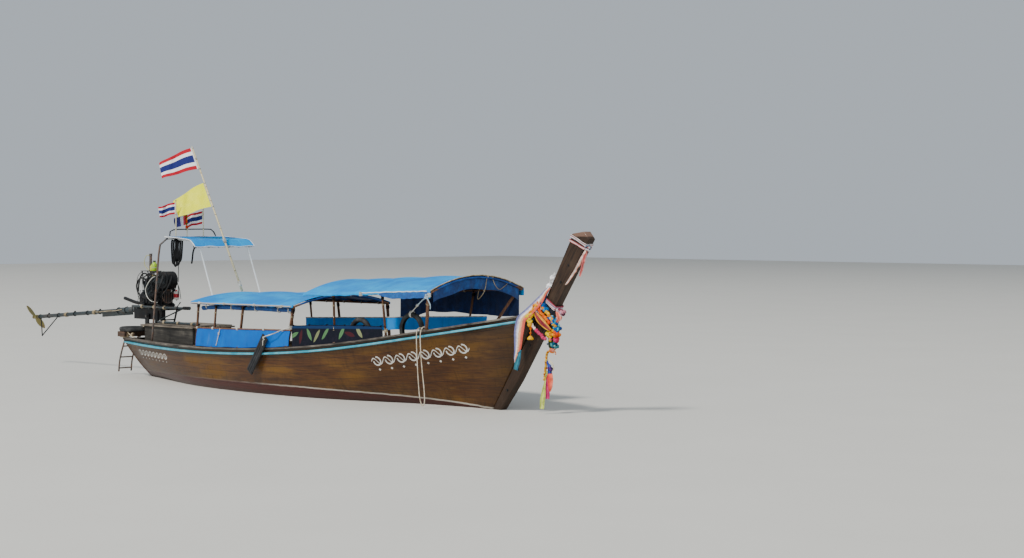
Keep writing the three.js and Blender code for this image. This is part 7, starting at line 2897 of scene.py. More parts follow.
@dataclass
class SternGear:
    """What lies about the stern: planks on the box, a spare pole, ropes with loose ends and cleats."""

    # The beam's section with the rope round it: lowest x, highest x, lowest z and highest z
    beam: tuple[float, float, float, float] = (-4.918, -4.682, 0.706, 0.814)
    box_top: float = 0.9505

    def build(self) -> None:
        """Builds the boards, the pole and the ropes."""
        self._boards()
        self._ropes()
        self._cleats()

    def _boards(self) -> None:
        """Planks stacked on the box's top, a grey pole over them and lashings that hold the pole."""
        rng = np.random.default_rng(91)
        planks = []
        for y, low, high in (
            (-0.345, -4.12, -2.96), (-0.165, -4.14, -2.93), (0.02, -4.1, -2.98), (0.2, -4.13, -2.94),
            (0.36, -4.08, -2.97),
        ):
            wide = 0.078 + 0.006 * rng.uniform(-1, 1)
            planks.append(
                bar_form(
                    (low, y, self.box_top), (high, y + 0.008 * rng.uniform(-1, 1), self.box_top), wide, 0.0085
                )
            )
        piece("box_top_planks", Form.joined(planks), GREY_WOOD, bevel=0.002)
        pole = smooth_path([(-4.15, -0.3, 0.986), (-3.5, -0.312, 0.988), (-2.86, -0.33, 0.988)], 10)
        piece("spare_pole", tube(pole, np.linspace(0.024, 0.019, len(pole)), 12), TAIL_STEEL)
        turns = [
            lashing((x, -0.3 - 0.02 * (x + 4.15) / 1.3, 0.986), FORE, 0.0235, 5, 0.005)
            for x in (-3.96, -3.08)
        ]
        turns.append(lashing((-3.52, -0.311, 0.987), FORE, 0.023, 3, 0.006))
        piece("spare_pole_lashings", Form.joined(turns), TAN_ROPE, smooth=80)

    def _ropes(self) -> None:
        """A loose coil on the beam's end, ropes round the beam and two short tails over the transom."""
        coil = []
        turn = np.linspace(0, 2 * math.pi * 4.6, 200)
        spiral = np.stack(
            [
                -4.8 + (0.105 + 0.012 * np.sin(turn * 0.37)) * np.cos(turn) * (1 - 0.03 * turn / 6),
                -0.02 + (0.075 + 0.01 * np.cos(turn * 0.53)) * np.sin(turn),
                0.818 + 0.0032 * turn / 6 * 6 + 0.002 * np.sin(turn * 2.3),
            ],
            axis=1,
        )
        spiral[:, 1] += 0.355
        coil.append(tube(spiral, 0.009, 8, lobes=(3, 0.14, 0.06)))
        tail = smooth_path(
            [spiral[-1], (-4.9, 0.3, 0.855), (-4.935, 0.22, 0.8), (-4.94, 0.15, 0.72), (-5.0, 0.12, 0.7)], 10
        )
        coil.append(tube(tail, 0.009, 8))
        piece("stern_coil", Form.joined(coil), TAN_ROPE, smooth=80)
        wraps = []
        for y in (-0.6, -0.575, 0.585, 0.61):
            wraps.append(self._box_turn(y, 0.008))
        runs = (
            ((-4.69, -0.588, 0.8), (-4.56, -0.64, 0.77), (-4.4, -0.69, 0.738), (-4.25, -0.722, 0.722)),
            ((-4.9, -0.59, 0.73), (-5.01, -0.54, 0.728), (-5.12, -0.5, 0.722), (-5.2, -0.42, 0.726)),
            ((-4.88, -0.6, 0.806), (-4.82, -0.52, 0.818), (-4.76, -0.2, 0.816), (-4.74, -0.14, 0.812)),
        )
        for run in runs:
            wraps.append(bent(run, 0.008, 8, 10, 0.015))
        piece("stern_ropes", Form.joined(wraps), TAN_ROPE, smooth=80)

    def _box_turn(self, y: float, cord: float) -> Form:
        """One turn of rope round the beam's square section.

        Args:
            y: Place across the boat.
            cord: The rope's radius.

        Returns:
            The turn.
        """
        x0, x1, z0, z1 = self.beam
        corner = [(x0, z0), (x0, z1), (x1, z1), (x1, z0)]
        points = []
        for k in range(4):
            a, b = np.array(corner[k]), np.array(corner[(k + 1) % 4])
            for part in (0.06, 0.35, 0.65, 0.94):
                spot = a + (b - a) * part
                points.append((spot[0], y + 0.004 * math.sin(k + part), spot[1]))
        return tube(np.array(points), cord, 8, closed=True)

    def _cleats(self) -> None:
        """Two wooden cleats on the side decks near the stern, and turns of cord round them."""
        forms, cords = [], []
        for side in (-1, 1):
            x = -4.55
            y = side * (float(hull_at(x, HullLine.HALF_BEAM)) - 0.018)
            z = float(hull_at(x, HullLine.SHEER)) + 0.04
            forms.append(box_form((x - 0.1, y - 0.014, z + 0.012), (x + 0.1, y + 0.014, z + 0.036)))
            forms.append(box_form((x - 0.035, y - 0.013, z - 0.014), (x + 0.035, y + 0.013, z + 0.018)))
            for k in (-1, 0, 1):
                cords.append(
                    ring_form((x + 0.052 + k * 0.013, y, z + 0.024), (1, 0, 0.2 * k), 0.024, 0.006, 16)
                )
        piece("stern_cleats", Form.joined(forms), DARK_WOOD, bevel=0.003)
        piece("stern_cleat_cords", Form.joined(cords), TAN_ROPE, smooth=80)


@dataclass
class EngineFittings:
    """Belt, pipes, wires, bolts, clamps and the small things that hang about the engine."""

    # The belt's x, then y, z and radius of each pulley; x of the cylinders; x and z of the air cleaner's axis
    body: str = "power_unit"
    belt_x: float = -4.34
    pulleys: tuple[tuple[float, float, float], ...] = (
        (0.0, 1.37, 0.084), (0.0, 1.492, 0.052), (-0.205, 1.44, 0.034)
    )
    cylinders: tuple[float, ...] = (-4.8, -4.69, -4.58, -4.47)
    drum: tuple[float, float] = (-4.3, 1.715)
    flywheel_bolts: float = 0.14

    def build(self) -> None:
        """Builds each group."""
        self._belt()
        self._bolts()
        self._pipes()
        self._wires()
        self._ancillaries()
        self._cleaner()
        self._clutter()
        self._exhaust()
        self._bottles()
        self._tiller()

    def _put(
        self, name: str, forms: Sequence[Form], finish: Finish, smooth: float = 40.0, bevel: float = 0.0
    ) -> None:
        """Forms as one piece on the power unit."""
        piece(name, Form.joined(list(forms)), finish, self.body, smooth, bevel)

    def _belt(self) -> None:
        """A belt round three pulleys: for each direction, the point of the circle that reaches furthest."""
        angle = np.linspace(0, 2 * math.pi, 240, endpoint=False)
        way = np.stack([np.cos(angle), np.sin(angle)], axis=1)
        circles = np.array(self.pulleys)
        reach = way @ circles[:, :2].T + circles[:, 2]
        best = circles[np.argmax(reach, axis=1)]
        spots = best[:, :2] + way * (best[:, 2] + 0.002)[:, None]
        path = np.column_stack([np.full(len(spots), self.belt_x), spots])
        path = even_path(np.vstack([path, path[:1]]), 0.008)[:-1]
        self._put("fan_belt", [tube(path, 0.0065, 8, closed=True)], BELT, 60)

    def _bolts(self) -> None:
        """Hexagon heads on the cover, the head, the housings and the feet, with washers below some."""
        top = [(x, 0.0, 1.771) for x in (-4.83, -4.66, -4.49, -4.42)]
        head = [
            (x, side * y, 1.636)
            for x in np.arange(-4.84, -4.38, 0.065)
            for side, y in ((-1, 0.11), (1, 0.11))
        ]
        feet = [
            (x + dx, side * 0.178, 1.3) for x in (-4.83, -4.45) for dx in (-0.02, 0.02) for side in (-1, 1)
        ]
        rail = [(x, side * 0.18, 1.218) for x in (-5.02, -4.94, -4.64, -4.26) for side in (-1, 1)]
        forms = [bolts(top, UP, 0.013), bolts(head, UP, 0.01), bolts(feet, UP, 0.013), bolts(rail, UP, 0.014)]
        turn = np.arange(12) / 12 * 2 * math.pi
        ring = self.flywheel_bolts
        wheel = [(-4.986, ring * math.cos(a), 1.37 + ring * math.sin(a)) for a in turn]
        forms.append(bolts(wheel, AFT, 0.01))
        front = [(-4.378, 0.088 * math.cos(a), 1.43 + 0.125 * math.sin(a)) for a in turn[::2] + 0.2]
        forms.append(bolts(front, FORE, 0.009))
        side = [(x, -0.152, z) for x in np.arange(-4.845, -4.4, 0.11) for z in (1.315, 1.468)]
        forms.append(bolts(side, STARBOARD, 0.01))
        forms.append(bolts([(x, 0.152, z) for x, _, z in side], PORT, 0.01))
        port = [(-5.252, y, z) for y in (-0.06, 0.06) for z in (1.03, 1.15)]
        forms.append(bolts(port, AFT, 0.011))
        self._put("engine_bolts", forms, BLACK_STEEL, 30)
        plugs = [
            turned(
                [(0, 0), (0.024, 0), (0.024, 0.005), (0.018, 0.009), (0, 0.009)], (x, side * 0.149, 1.392),
                (0, side, 0), 18,
            ) for x in (-4.75, -4.64, -4.53) for side in (-1, 1)
        ]
        plugs.append(
            turned(
                [(0, 0), (0.026, 0), (0.03, 0.012), (0.03, 0.03), (0.022, 0.036), (0, 0.036)],
                (-4.74, 0, 1.77), UP, 18, 0.06,
            )
        )
        self._put("engine_plugs", plugs, BRASS, 35)

    def _pipes(self) -> None:
        """Injector pipes, coolant hoses, the pale hose, the oil pipe and the dipstick."""
        steel = []
        for k, x in enumerate(self.cylinders):
            px = -4.775 + 0.052 * k
            run = (
                (px, -0.172, 1.43), (px, -0.186, 1.47 + 0.01 * k), (px + 0.02, -0.215, 1.54),
                (x, -0.205, 1.66 + 0.008 * k), (x, -0.14, 1.742), (x, -0.086, 1.705), (x, -0.078, 1.672),
            )
            steel.append(bent(run, 0.0042, 8, 10, 0.012))
            steel.append(
                turned(
                    [(0, 0), (0.01, 0), (0.01, 0.014), (0.006, 0.02), (0, 0.02)], (px, -0.172, 1.424), UP, 6
                )
            )
        back = (
            (-4.8, -0.06, 1.72), (-4.78, -0.105, 1.752), (-4.56, -0.11, 1.756), (-4.42, -0.105, 1.74),
            (-4.385, -0.15, 1.64), (-4.38, -0.17, 1.48),
        )
        steel.append(bent(back, 0.004, 8, 10, 0.014))
        stick = ((-4.655, -0.15, 1.33), (-4.655, -0.182, 1.4), (-4.64, -0.19, 1.56), (-4.632, -0.186, 1.64))
        steel.append(bent(stick, 0.006, 8, 8, 0.014))
        steel.append(ring_form((-4.632, -0.186, 1.658), FORE, 0.014, 0.003, 16))
        self._put("injector_pipes", steel, TAIL_STEEL, 60)
        rubber = [
            bent(
                [
                    (-4.4, 0.03, 1.69), (-4.352, 0.06, 1.7), (-4.322, 0.118, 1.62), (-4.33, 0.152, 1.48),
                    (-4.38, 0.15, 1.38),
                ],
                0.021, 12, 10,
            ),
            bent(
                [
                    (-4.378, 0.1, 1.3), (-4.35, 0.15, 1.27), (-4.42, 0.205, 1.262), (-4.7, 0.215, 1.262),
                    (-4.95, 0.14, 1.262), (-5.04, 0.05, 1.296),
                ],
                0.019, 12, 10,
            ),
            bent(
                [
                    (-4.86, -0.04, 1.756), (-4.9, -0.06, 1.82), (-4.96, -0.11, 1.8), (-4.985, -0.15, 1.66),
                    (-4.99, -0.165, 1.5),
                ],
                0.014, 10, 10,
            ),
            bent(
                [(-4.52, 0.17, 1.462), (-4.5, 0.2, 1.52), (-4.45, 0.19, 1.56), (-4.4, 0.12, 1.56)], 0.011, 10,
                10,
            ),
            bent(
                [
                    (-4.43, -0.15, 1.3), (-4.33, -0.205, 1.29), (-4.24, -0.2, 1.23), (-4.22, -0.19, 1.12),
                    (-4.3, -0.17, 1.02),
                ],
                0.013, 10, 10,
            ),
        ]
        self._put("coolant_hoses", rubber, BELT, 60)
        clamps = [
            ring_form((-4.352, 0.062, 1.7), (0.5, 0.8, -0.2), 0.022, 0.003, 18, 1.6),
            ring_form((-4.356, 0.152, 1.42), (-0.4, 0, -1), 0.022, 0.003, 18, 1.6),
            ring_form((-4.7, 0.215, 1.262), FORE, 0.02, 0.003, 18, 1.6),
            ring_form((-4.45, 0.207, 1.262), FORE, 0.02, 0.003, 18, 1.6),
            ring_form((-4.985, -0.15, 1.64), UP, 0.015, 0.003, 18, 1.6),
        ]
        self._put("hose_clamps", clamps, TAIL_STEEL, 40)
        pale = smooth_path(
            [
                (-4.47, -0.15, 1.78), (-4.485, -0.205, 1.753), (-4.56, -0.232, 1.67), (-4.646, -0.235, 1.553),
                (-4.61, -0.235, 1.43), (-4.5, -0.228, 1.35), (-4.41, -0.205, 1.327), (-4.38, -0.16, 1.32),
            ],
            12,
        )
        self._put("pale_hose", [tube(pale, 0.0065, 10)], WHITE_HOSE, 60)

    def _wires(self) -> None:
        """Wires and cables, each a thin tube with its own sag, tied where they cross."""
        runs = (
            ((-4.445, -0.262, 1.452), (-4.47, -0.275, 1.4), (-4.56, -0.24, 1.29), (-4.7, -0.205, 1.232)),
            ((-4.7, -0.205, 1.232), (-4.85, -0.215, 1.236), (-4.96, -0.2, 1.3), (-4.99, -0.12, 1.52)),
            ((-4.76, 0.224, 1.31), (-4.82, 0.24, 1.4), (-4.9, 0.2, 1.56), (-4.98, 0.14, 1.7)),
            ((-4.23, -0.25, 1.262), (-4.33, -0.285, 1.33), (-4.5, -0.268, 1.44), (-4.61, -0.206, 1.436)),
            ((-4.87, 0.1, 1.86), (-4.9, 0.12, 1.7), (-4.88, 0.18, 1.54), (-4.8, 0.212, 1.35)),
            ((-4.33, 0.09, 1.85), (-4.4, 0.16, 1.8), (-4.48, 0.205, 1.68), (-4.56, 0.205, 1.45)),
            ((-4.64, -0.08, 1.862), (-4.6, -0.15, 1.8), (-4.52, -0.2, 1.7), (-4.44, -0.245, 1.5)),
            ((-4.98, -0.075, 1.865), (-5.03, -0.14, 1.78), (-5.02, -0.18, 1.6), (-4.93, -0.205, 1.4)),
            ((-4.56, 0.072, 1.862), (-4.5, 0.12, 1.84), (-4.44, 0.14, 1.82), (-4.392, 0.108, 1.8)),
        )
        forms = []
        for k, run in enumerate(runs):
            forms.append(bent(run, 0.0042 + 0.0012 * (k % 3), 8, 10, 0.014))
        forms.append(heap_of_turns((-4.7, -0.205, 1.234), FORE, 0.012, 0.005))
        self._put("engine_wires", forms, BELT, 70)
        coil = np.linspace(0, 2 * math.pi * 16, 16 * 12)
        t = coil / coil[-1]
        start, end = np.array([-4.62, -0.218, 1.442]), np.array([-4.455, -0.214, 1.56])
        way = unit(end - start)
        side = unit(np.cross(way, PORT))
        other = np.cross(way, side)
        spring = start + (end - start) * t[:, None] + 0.009 * (
            np.cos(coil)[:, None] * side + np.sin(coil)[:, None] * other
        )
        self._put("throttle_spring", [tube(spring, 0.0022, 6)], TAIL_STEEL, 70)

    def _ancillaries(self) -> None:
        """Fins and fan of the alternator, ribs of the filter, brackets, lifting eyes and the pump's arm."""
        # Places along x, then y and z of the axis, radius, section and sides of each row of rings
        rows = (
            (np.linspace(-4.505, -4.39, 6), -0.205, 1.44, 0.059, 0.004, 28),
            (np.linspace(-4.59, -4.45, 9), 0.17, 1.42, 0.039, 0.003, 24),
            ((-4.86, -4.8, -4.68), 0.178, 1.306, 0.047, 0.004, 24),
            (self.cylinders, 0.165, 1.665, 0.036, 0.005, 24),
            (self.cylinders, -0.146, 1.668, 0.029, 0.004, 24),
        )
        fins = [ring_form((x, y, z), FORE, *sizes) for places, y, z, *sizes in rows for x in places]
        self._put("alternator_fins", fins, BLACK_STEEL, 50)
        # Start, end, half width, half depth and the way that the depth faces
        bars = (
            ((-4.392, -0.205, 1.5), (-4.392, -0.06, 1.56), 0.01, 0.004, FORE),
            ((-4.47, -0.205, 1.385), (-4.47, -0.14, 1.33), 0.012, 0.006, FORE),
            ((-4.61, -0.206, 1.4), (-4.61, -0.216, 1.45), 0.009, 0.004, PORT),
            ((-4.7, 0.15, 1.56), (-4.56, 0.158, 1.56), 0.006, 0.02, UP),
            ((-4.87, -0.155, 1.52), (-4.42, -0.158, 1.52), 0.006, 0.012, UP),
            ((-4.3, -0.105, 1.59), (-4.345, -0.12, 1.23), 0.012, 0.005, PORT),
            ((-4.3, 0.105, 1.59), (-4.345, 0.12, 1.23), 0.012, 0.005, PORT),
            ((-4.345, -0.125, 1.23), (-4.345, 0.125, 1.23), 0.012, 0.006, UP),
        )
        arms = [bar_form(*bar) for bar in bars]
        arms.append(ring_form((-4.87, 0.0, 1.782), PORT, 0.022, 0.006, 20))
        arms.append(ring_form((-4.44, 0.0, 1.782), PORT, 0.02, 0.006, 20))
        self._put("engine_brackets", arms, BLACK_STEEL, 40, 0.0015)

    def _cleaner(self) -> None:
        """Beads, clips and knob of the drum air cleaner, with the elbow to the intake."""
        drum_x, drum_z = self.drum
        beads = [ring_form((drum_x, y, drum_z), PORT, 0.1505, 0.005, 48) for y in (-0.108, -0.02, 0.108)]
        beads.append(ring_form((drum_x, -0.112, drum_z), PORT, 0.09, 0.004, 40))
        for a in (0.6, 2.2, 3.9, 5.4):
            spot = np.array([drum_x + 0.154 * math.cos(a), -0.02, drum_z + 0.154 * math.sin(a)])
            beads.append(
                bar_form(
                    spot - (0, 0.03, 0), spot + (0, 0.03, 0), 0.009, 0.003, (math.cos(a), 0, math.sin(a))
                )
            )
        beads.append(
            turned(
                [(0, 0), (0.03, 0), (0.03, 0.006), (0.01, 0.01), (0.01, 0.026), (0, 0.028)],
                (drum_x, -0.112, drum_z), STARBOARD, 18,
            )
        )
        beads.append(bar_form((-4.322, -0.134, drum_z), (-4.278, -0.134, drum_z), 0.003, 0.009, UP))
        self._put("air_cleaner_trim", beads, BLACK_STEEL, 45)
        elbow = smooth_path(
            [(-4.36, -0.1, 1.64), (-4.395, -0.13, 1.64), (-4.42, -0.146, 1.655), (-4.448, -0.146, 1.667)], 10
        )
        self._put("intake_elbow", [tube(elbow, 0.031, 14)], BELT, 60)

    def _clutter(self) -> None:
        """Ribs round the air cleaner, a guard before the pulleys and a tangle of hoses and cables."""
        drum_x, drum_z = self.drum
        arc = np.linspace(-1.75, 2.6, 60)
        ribs = []
        for y in (-0.098, -0.066, -0.033, 0.0, 0.033, 0.066, 0.098):
            line = np.stack(
                [drum_x + 0.151 * np.cos(arc), np.full_like(arc, y), drum_z + 0.151 * np.sin(arc)], axis=1
            )
            ribs.append(tube(line, 0.006, 6))
        ribs.append(ring_form((drum_x, -0.116, drum_z), PORT, 0.098, 0.006, 36))
        ribs.append(bolts([(drum_x, -0.113, drum_z)], STARBOARD, 0.022))
        self._put("air_cleaner_ribs", ribs, IRON, 50)
        guard = [ring_form((-4.29, 0.0, 1.425), FORE, 0.118, 0.007, 36)]
        for y in (-0.075, -0.038, 0.0, 0.038, 0.075):
            reach = math.sqrt(0.118 ** 2 - y * y)
            guard.append(tube([(-4.29, y, 1.425 - reach), (-4.29, y, 1.425 + reach)], 0.004, 6))
        for z in (1.345, 1.505):
            guard.append(bar_form((-4.374, -0.09, z), (-4.288, -0.09, z), 0.01, 0.003))
        self._put("pulley_guard", guard, RUSTY_STEEL, 50)
        runs = (
            (
                (-4.28, -0.11, 1.8), (-4.2, -0.175, 1.745), (-4.22, -0.215, 1.62), (-4.32, -0.205, 1.51),
                (-4.4, -0.152, 1.47),
            ),
            (
                (-4.35, -0.08, 1.85), (-4.46, -0.15, 1.862), (-4.6, -0.19, 1.8), (-4.66, -0.205, 1.66),
                (-4.62, -0.154, 1.52),
            ),
            (
                (-4.19, 0.01, 1.81), (-4.13, -0.05, 1.72), (-4.15, -0.11, 1.58), (-4.24, -0.14, 1.47),
                (-4.38, -0.12, 1.4),
            ),
            (
                (-4.5, -0.05, 1.76), (-4.58, -0.02, 1.845), (-4.72, -0.1, 1.83), (-4.8, -0.195, 1.72),
                (-4.78, -0.156, 1.56),
            ),
            (
                (-4.86, -0.06, 1.7), (-4.98, -0.12, 1.74), (-5.06, -0.15, 1.62), (-5.02, -0.15, 1.48),
                (-4.9, -0.15, 1.4),
            ),
            (
                (-4.42, 0.06, 1.77), (-4.55, 0.11, 1.85), (-4.74, 0.13, 1.83), (-4.9, 0.09, 1.74),
                (-4.88, 0.05, 1.64),
            ),
        )
        radii = (0.018, 0.014, 0.012, 0.011, 0.015, 0.013)
        hoses = [bent(run, radius, 10, 12) for run, radius in zip(runs, radii)]
        self._put("engine_hoses", hoses, BELT, 70)
        rng = np.random.default_rng(311)
        cables = []
        for _ in range(9):
            start = np.array([rng.uniform(-4.85, -4.45), -0.155, rng.uniform(1.42, 1.6)])
            end = np.array([rng.uniform(-4.7, -4.35), rng.uniform(-0.1, -0.02), rng.uniform(1.72, 1.78)])
            middle = (start + end) / 2 + (
                rng.uniform(-0.08, 0.08), -rng.uniform(0.05, 0.11), rng.uniform(-0.02, 0.07)
            )
            cables.append(bent([start, middle, end], 0.0048, 6, 14))
        self._put("engine_cables", cables, BLACK_STEEL, 70)
        pipes = []
        for k in range(4):
            z = 1.735 - 0.021 * k
            pipes.append(
                bent(
                    [
                        (-4.52, -0.15, z - 0.03), (-4.46, -0.172, z), (-4.36, -0.17, z), (-4.24, -0.152, z),
                        (-4.2, -0.12, z - 0.01),
                    ],
                    0.0042, 6,
                )
            )
        self._put("bright_pipes", pipes, TAIL_STEEL, 70)

    def _exhaust(self) -> None:
        """Joints of the exhaust, the stack's flap and the wire looped from its head."""
        joints = [ring_form((-5.0, 0.108, z), UP, 0.028, 0.005, 22) for z in (1.76, 1.99, 2.14)]
        joints.append(
            turned(
                [(0, 0), (0.03, 0), (0.031, 0.004), (0.024, 0.01), (0, 0.012)], (-5.0, 0.108, 2.166),
                (0.15, 0, 1), 20,
            )
        )
        joints.append(bar_form((-5.0, 0.132, 2.14), (-5.0, 0.136, 2.185), 0.006, 0.004, FORE))
        self._put("exhaust_joints", joints, RUSTY_STEEL, 45)
        loop = smooth_path(
            [
                (-5.004, 0.08, 2.15), (-5.06, 0.06, 2.14), (-5.112, 0.05, 2.06), (-5.108, 0.05, 1.98),
                (-5.06, 0.06, 1.92), (-4.99, 0.068, 1.876),
            ],
            12,
        )
        self._put("stack_wire", [tube(loop, 0.0045, 8)], Plastic("yellow_cord", colours=("b9b23a",)), 70)

    def _bottles(self) -> None:
        """The oil bottle on the shelf, tied down, and the red and white can on its strap."""
        base = np.array([-4.72, 0.0, 1.8725])
        profile = [
            (0, 0), (0.048, 0), (0.052, 0.008), (0.052, 0.105), (0.046, 0.128), (0.022, 0.15), (0.022, 0.168),
            (0, 0.168),
        ]
        cap = [(0, 0.16), (0.026, 0.16), (0.026, 0.184), (0, 0.186)]
        green = Plastic("green_bottle", colours=("9dc21f",), rough=0.3)
        self._put("oil_bottle", [turned(profile, base, UP, 24)], green, 40)
        small = turned(
            [(0, 0), (0.034, 0), (0.036, 0.006), (0.036, 0.08), (0.015, 0.1), (0.015, 0.118), (0, 0.118)],
            base + (-0.105, 0.02, 0), UP, 20,
        )
        self._put("oil_bottle_small", [small], Plastic("yellow_bottle", colours=("cfcf3a",), rough=0.3), 40)
        caps = [turned(cap, base, UP, 18, 0.04)]
        caps.append(
            turned([(0, 0.112), (0.018, 0.112), (0.018, 0.132), (0, 0.133)], base + (-0.105, 0.02, 0), UP, 16)
        )
        self._put("bottle_caps", caps, BLACK_BOARD, 40)
        tie = [ring_form(base + (0, 0, 0.06), (0.05, 0, 1), 0.0545, 0.004, 24)]
        tie.append(
            tube(
                [base + (0.052, 0.02, 0.06), base + (0.09, 0.05, 0.02), base + (0.11, 0.068, 0.004)], 0.004, 6
            )
        )
        self._put("bottle_tie", tie, WHITE_ROPE, 70)
        low, high = np.array([-4.29, 0.115, 1.365]), np.array([-4.205, 0.185, 1.515])
        can = box_form(low, high)
        spout = turned(
            [(0, 0), (0.018, 0), (0.018, 0.022), (0.014, 0.028), (0, 0.028)], (-4.248, 0.15, 1.513), UP, 18
        )
        paint = Plastic("red_white_can", colours=("d9d4cc", "b51f2b", "d9d4cc"), edges=(1.402, 1.47))
        self._put("hung_can", [can], paint, 40, 0.012)
        self._put("hung_can_cap", [spout], Plastic("red_cap", colours=("b51f2b",)), 40)
        strap = smooth_path(
            [
                (-4.16, 0.1, 1.69), (-4.168, 0.13, 1.62), (-4.185, 0.15, 1.54), (-4.196, 0.15, 1.44),
                (-4.248, 0.15, 1.356), (-4.3, 0.15, 1.44), (-4.29, 0.15, 1.54), (-4.23, 0.13, 1.6),
                (-4.18, 0.1, 1.64),
            ],
            12,
        )
        tail = smooth_path(
            [(-4.155, 0.098, 1.68), (-4.128, 0.13, 1.56), (-4.112, 0.14, 1.44), (-4.104, 0.142, 1.38)], 10
        )
        self._put(
            "hung_can_strap", [tube(strap, 0.011, 8, flat=0.3), tube(tail, 0.01, 8, flat=0.3)], BLACK_STRAP,
            70,
        )

    def _tiller(self) -> None:
        """Grip with ribs, throttle lever, its cable and cord bound round the tiller."""
        start, end = np.array([-3.655, -0.112, 1.238]), np.array([-3.525, -0.064, 1.238])
        grip = tube(
            np.stack([start + (end - start) * t for t in np.linspace(0, 1, 33)]),
            0.0295 + 0.0015 * np.tile([0, 1], 17)[:33], 16,
        )
        self._put("tiller_grip", [grip], BELT, 30)
        lever = [
            bar_form((-3.76, -0.17, 1.262), (-3.7, -0.15, 1.33), 0.008, 0.004, PORT),
            turned(
                [(0, -0.012), (0.01, -0.01), (0.013, 0), (0.01, 0.01), (0, 0.012)], (-3.698, -0.15, 1.336),
                UP, 14,
            ),
            ring_form((-3.765, -0.16, 1.238), (0.93, 0.36, 0), 0.024, 0.006, 20),
        ]
        self._put("throttle_lever", lever, BLACK_STEEL, 40)
        cable = smooth_path(
            [
                (-3.76, -0.168, 1.262), (-3.86, -0.222, 1.268), (-3.96, -0.262, 1.262), (-4.1, -0.266, 1.258),
                (-4.23, -0.262, 1.262),
            ],
            10,
        )
        bands = [lashing((x, -0.234, 1.238), FORE, 0.024, 4, 0.005) for x in (-4.06, -4.38, -4.76)]
        self._put("throttle_cable", [tube(cable, 0.005, 8)], BELT, 70)
        self._put("tiller_bindings", bands, TAN_ROPE, 80)


@dataclass
class TailFittings:
    """Clamps, bolts and bindings on the long shaft tube, and the propeller's nut."""

    start: tuple[float, float, float] = (-5.3, 0.0, 1.166)
    hub: tuple[float, float, float] = (-8.84, 0.0, 0.9)
    tube_radius: float = 0.0375
    sleeve_radius: float = 0.0515

    def _at(self, x: float) -> Array:
        """The shaft's middle at a place along the boat."""
        a, b = np.array(self.start), np.array(self.hub)
        return a + (b - a) * (x - a[0]) / (b[0] - a[0])

    def build(self) -> None:
        """Builds the tube's clamps, the yoke's nuts and the screw's nut."""
        axis = unit(np.array(self.hub) - np.array(self.start))
        bands = [
            ring_form(self._at(x), axis, self.tube_radius, 0.006, 28, 1.6)
            for x in (-6.52, -6.95, -7.4, -7.98, -8.34, -8.66)
        ]
        bands += [
            ring_form(self._at(x), axis, self.sleeve_radius, 0.006, 28, 1.6) for x in (-5.36, -5.62, -5.88)
        ]
        ears = []
        for x in (-6.52, -7.4, -8.34):
            spot = self._at(x) + (0, 0, 0.046)
            ears.append(box_form(spot - (0.01, 0.012, 0.01), spot + (0.01, 0.012, 0.012)))
            ears.append(bolts([tuple(spot + (0, -0.012, 0.002))], STARBOARD, 0.008))
        piece("tail_clamps", Form.joined(bands + ears), BLACK_STEEL, "power_unit", 40)
        lower = [tuple(self._at(x) - (0, 0.012, 0.09)) for x in (-6.3, -6.05, -5.8, -5.55)]
        forms = [bolts(lower, STARBOARD, 0.009)]
        forms.append(
            turned(
                [(0, 0), (0.007, 0), (0.007, 0.01), (0.004, 0.014), (0.005, 0.02), (0, 0.022)],
                self._at(-5.6) + (0, 0, 0.05), UP, 10,
            )
        )
        piece("tail_bolts", Form.joined(forms), TAIL_STEEL, "power_unit", 40)
        bind = [lashing(tuple(self._at(x)), axis, 0.037, 6, 0.0055) for x in (-7.7, -6.7)]
        rope = smooth_path(
            [
                tuple(self._at(-6.7) + (0, -0.04, 0.01)), tuple(self._at(-6.5) + (0, -0.052, 0.0)),
                tuple(self._at(-6.2) + (0, -0.056, 0.004)), tuple(self._at(-5.92) + (0, -0.06, 0.0)),
                tuple(self._at(-5.7) + (0, -0.056, 0.014)),
            ],
            10,
        )
        bind.append(tube(rope, 0.006, 8))
        piece("tail_bindings", Form.joined(bind), TAN_ROPE, "power_unit", 80)
        nut = turned(
            [
                (0, -0.002), (0.026, -0.002), (0.026, 0.024), (0.018, 0.032), (0.01, 0.036), (0.01, 0.048),
                (0, 0.05),
            ],
            np.array(self.hub) + axis * 0.068, axis, 6,
        )
        washer = disc(np.array(self.hub) + axis * 0.062, axis, 0.034, 0.006, 24)
        piece("propeller_nut", Form.joined([nut, washer]), BRASS, "screw", 30)
        pins = []
        for side in (-1, 1):
            pins.append(disc((-4.8, side * 0.124, 1.06), (0, side, 0), 0.03, 0.004))
            pins.append(bolts([(-4.8, side * 0.127, 1.06)], (0, side, 0), 0.022))
        pins.append(
            turned([(0, 0), (0.05, 0), (0.05, 0.01), (0.044, 0.014), (0, 0.014)], (-4.8, 0.0, 0.902), UP, 28)
        )
        piece("yoke_pins", Form.joined(pins), TAIL_STEEL, "swivel", 40)


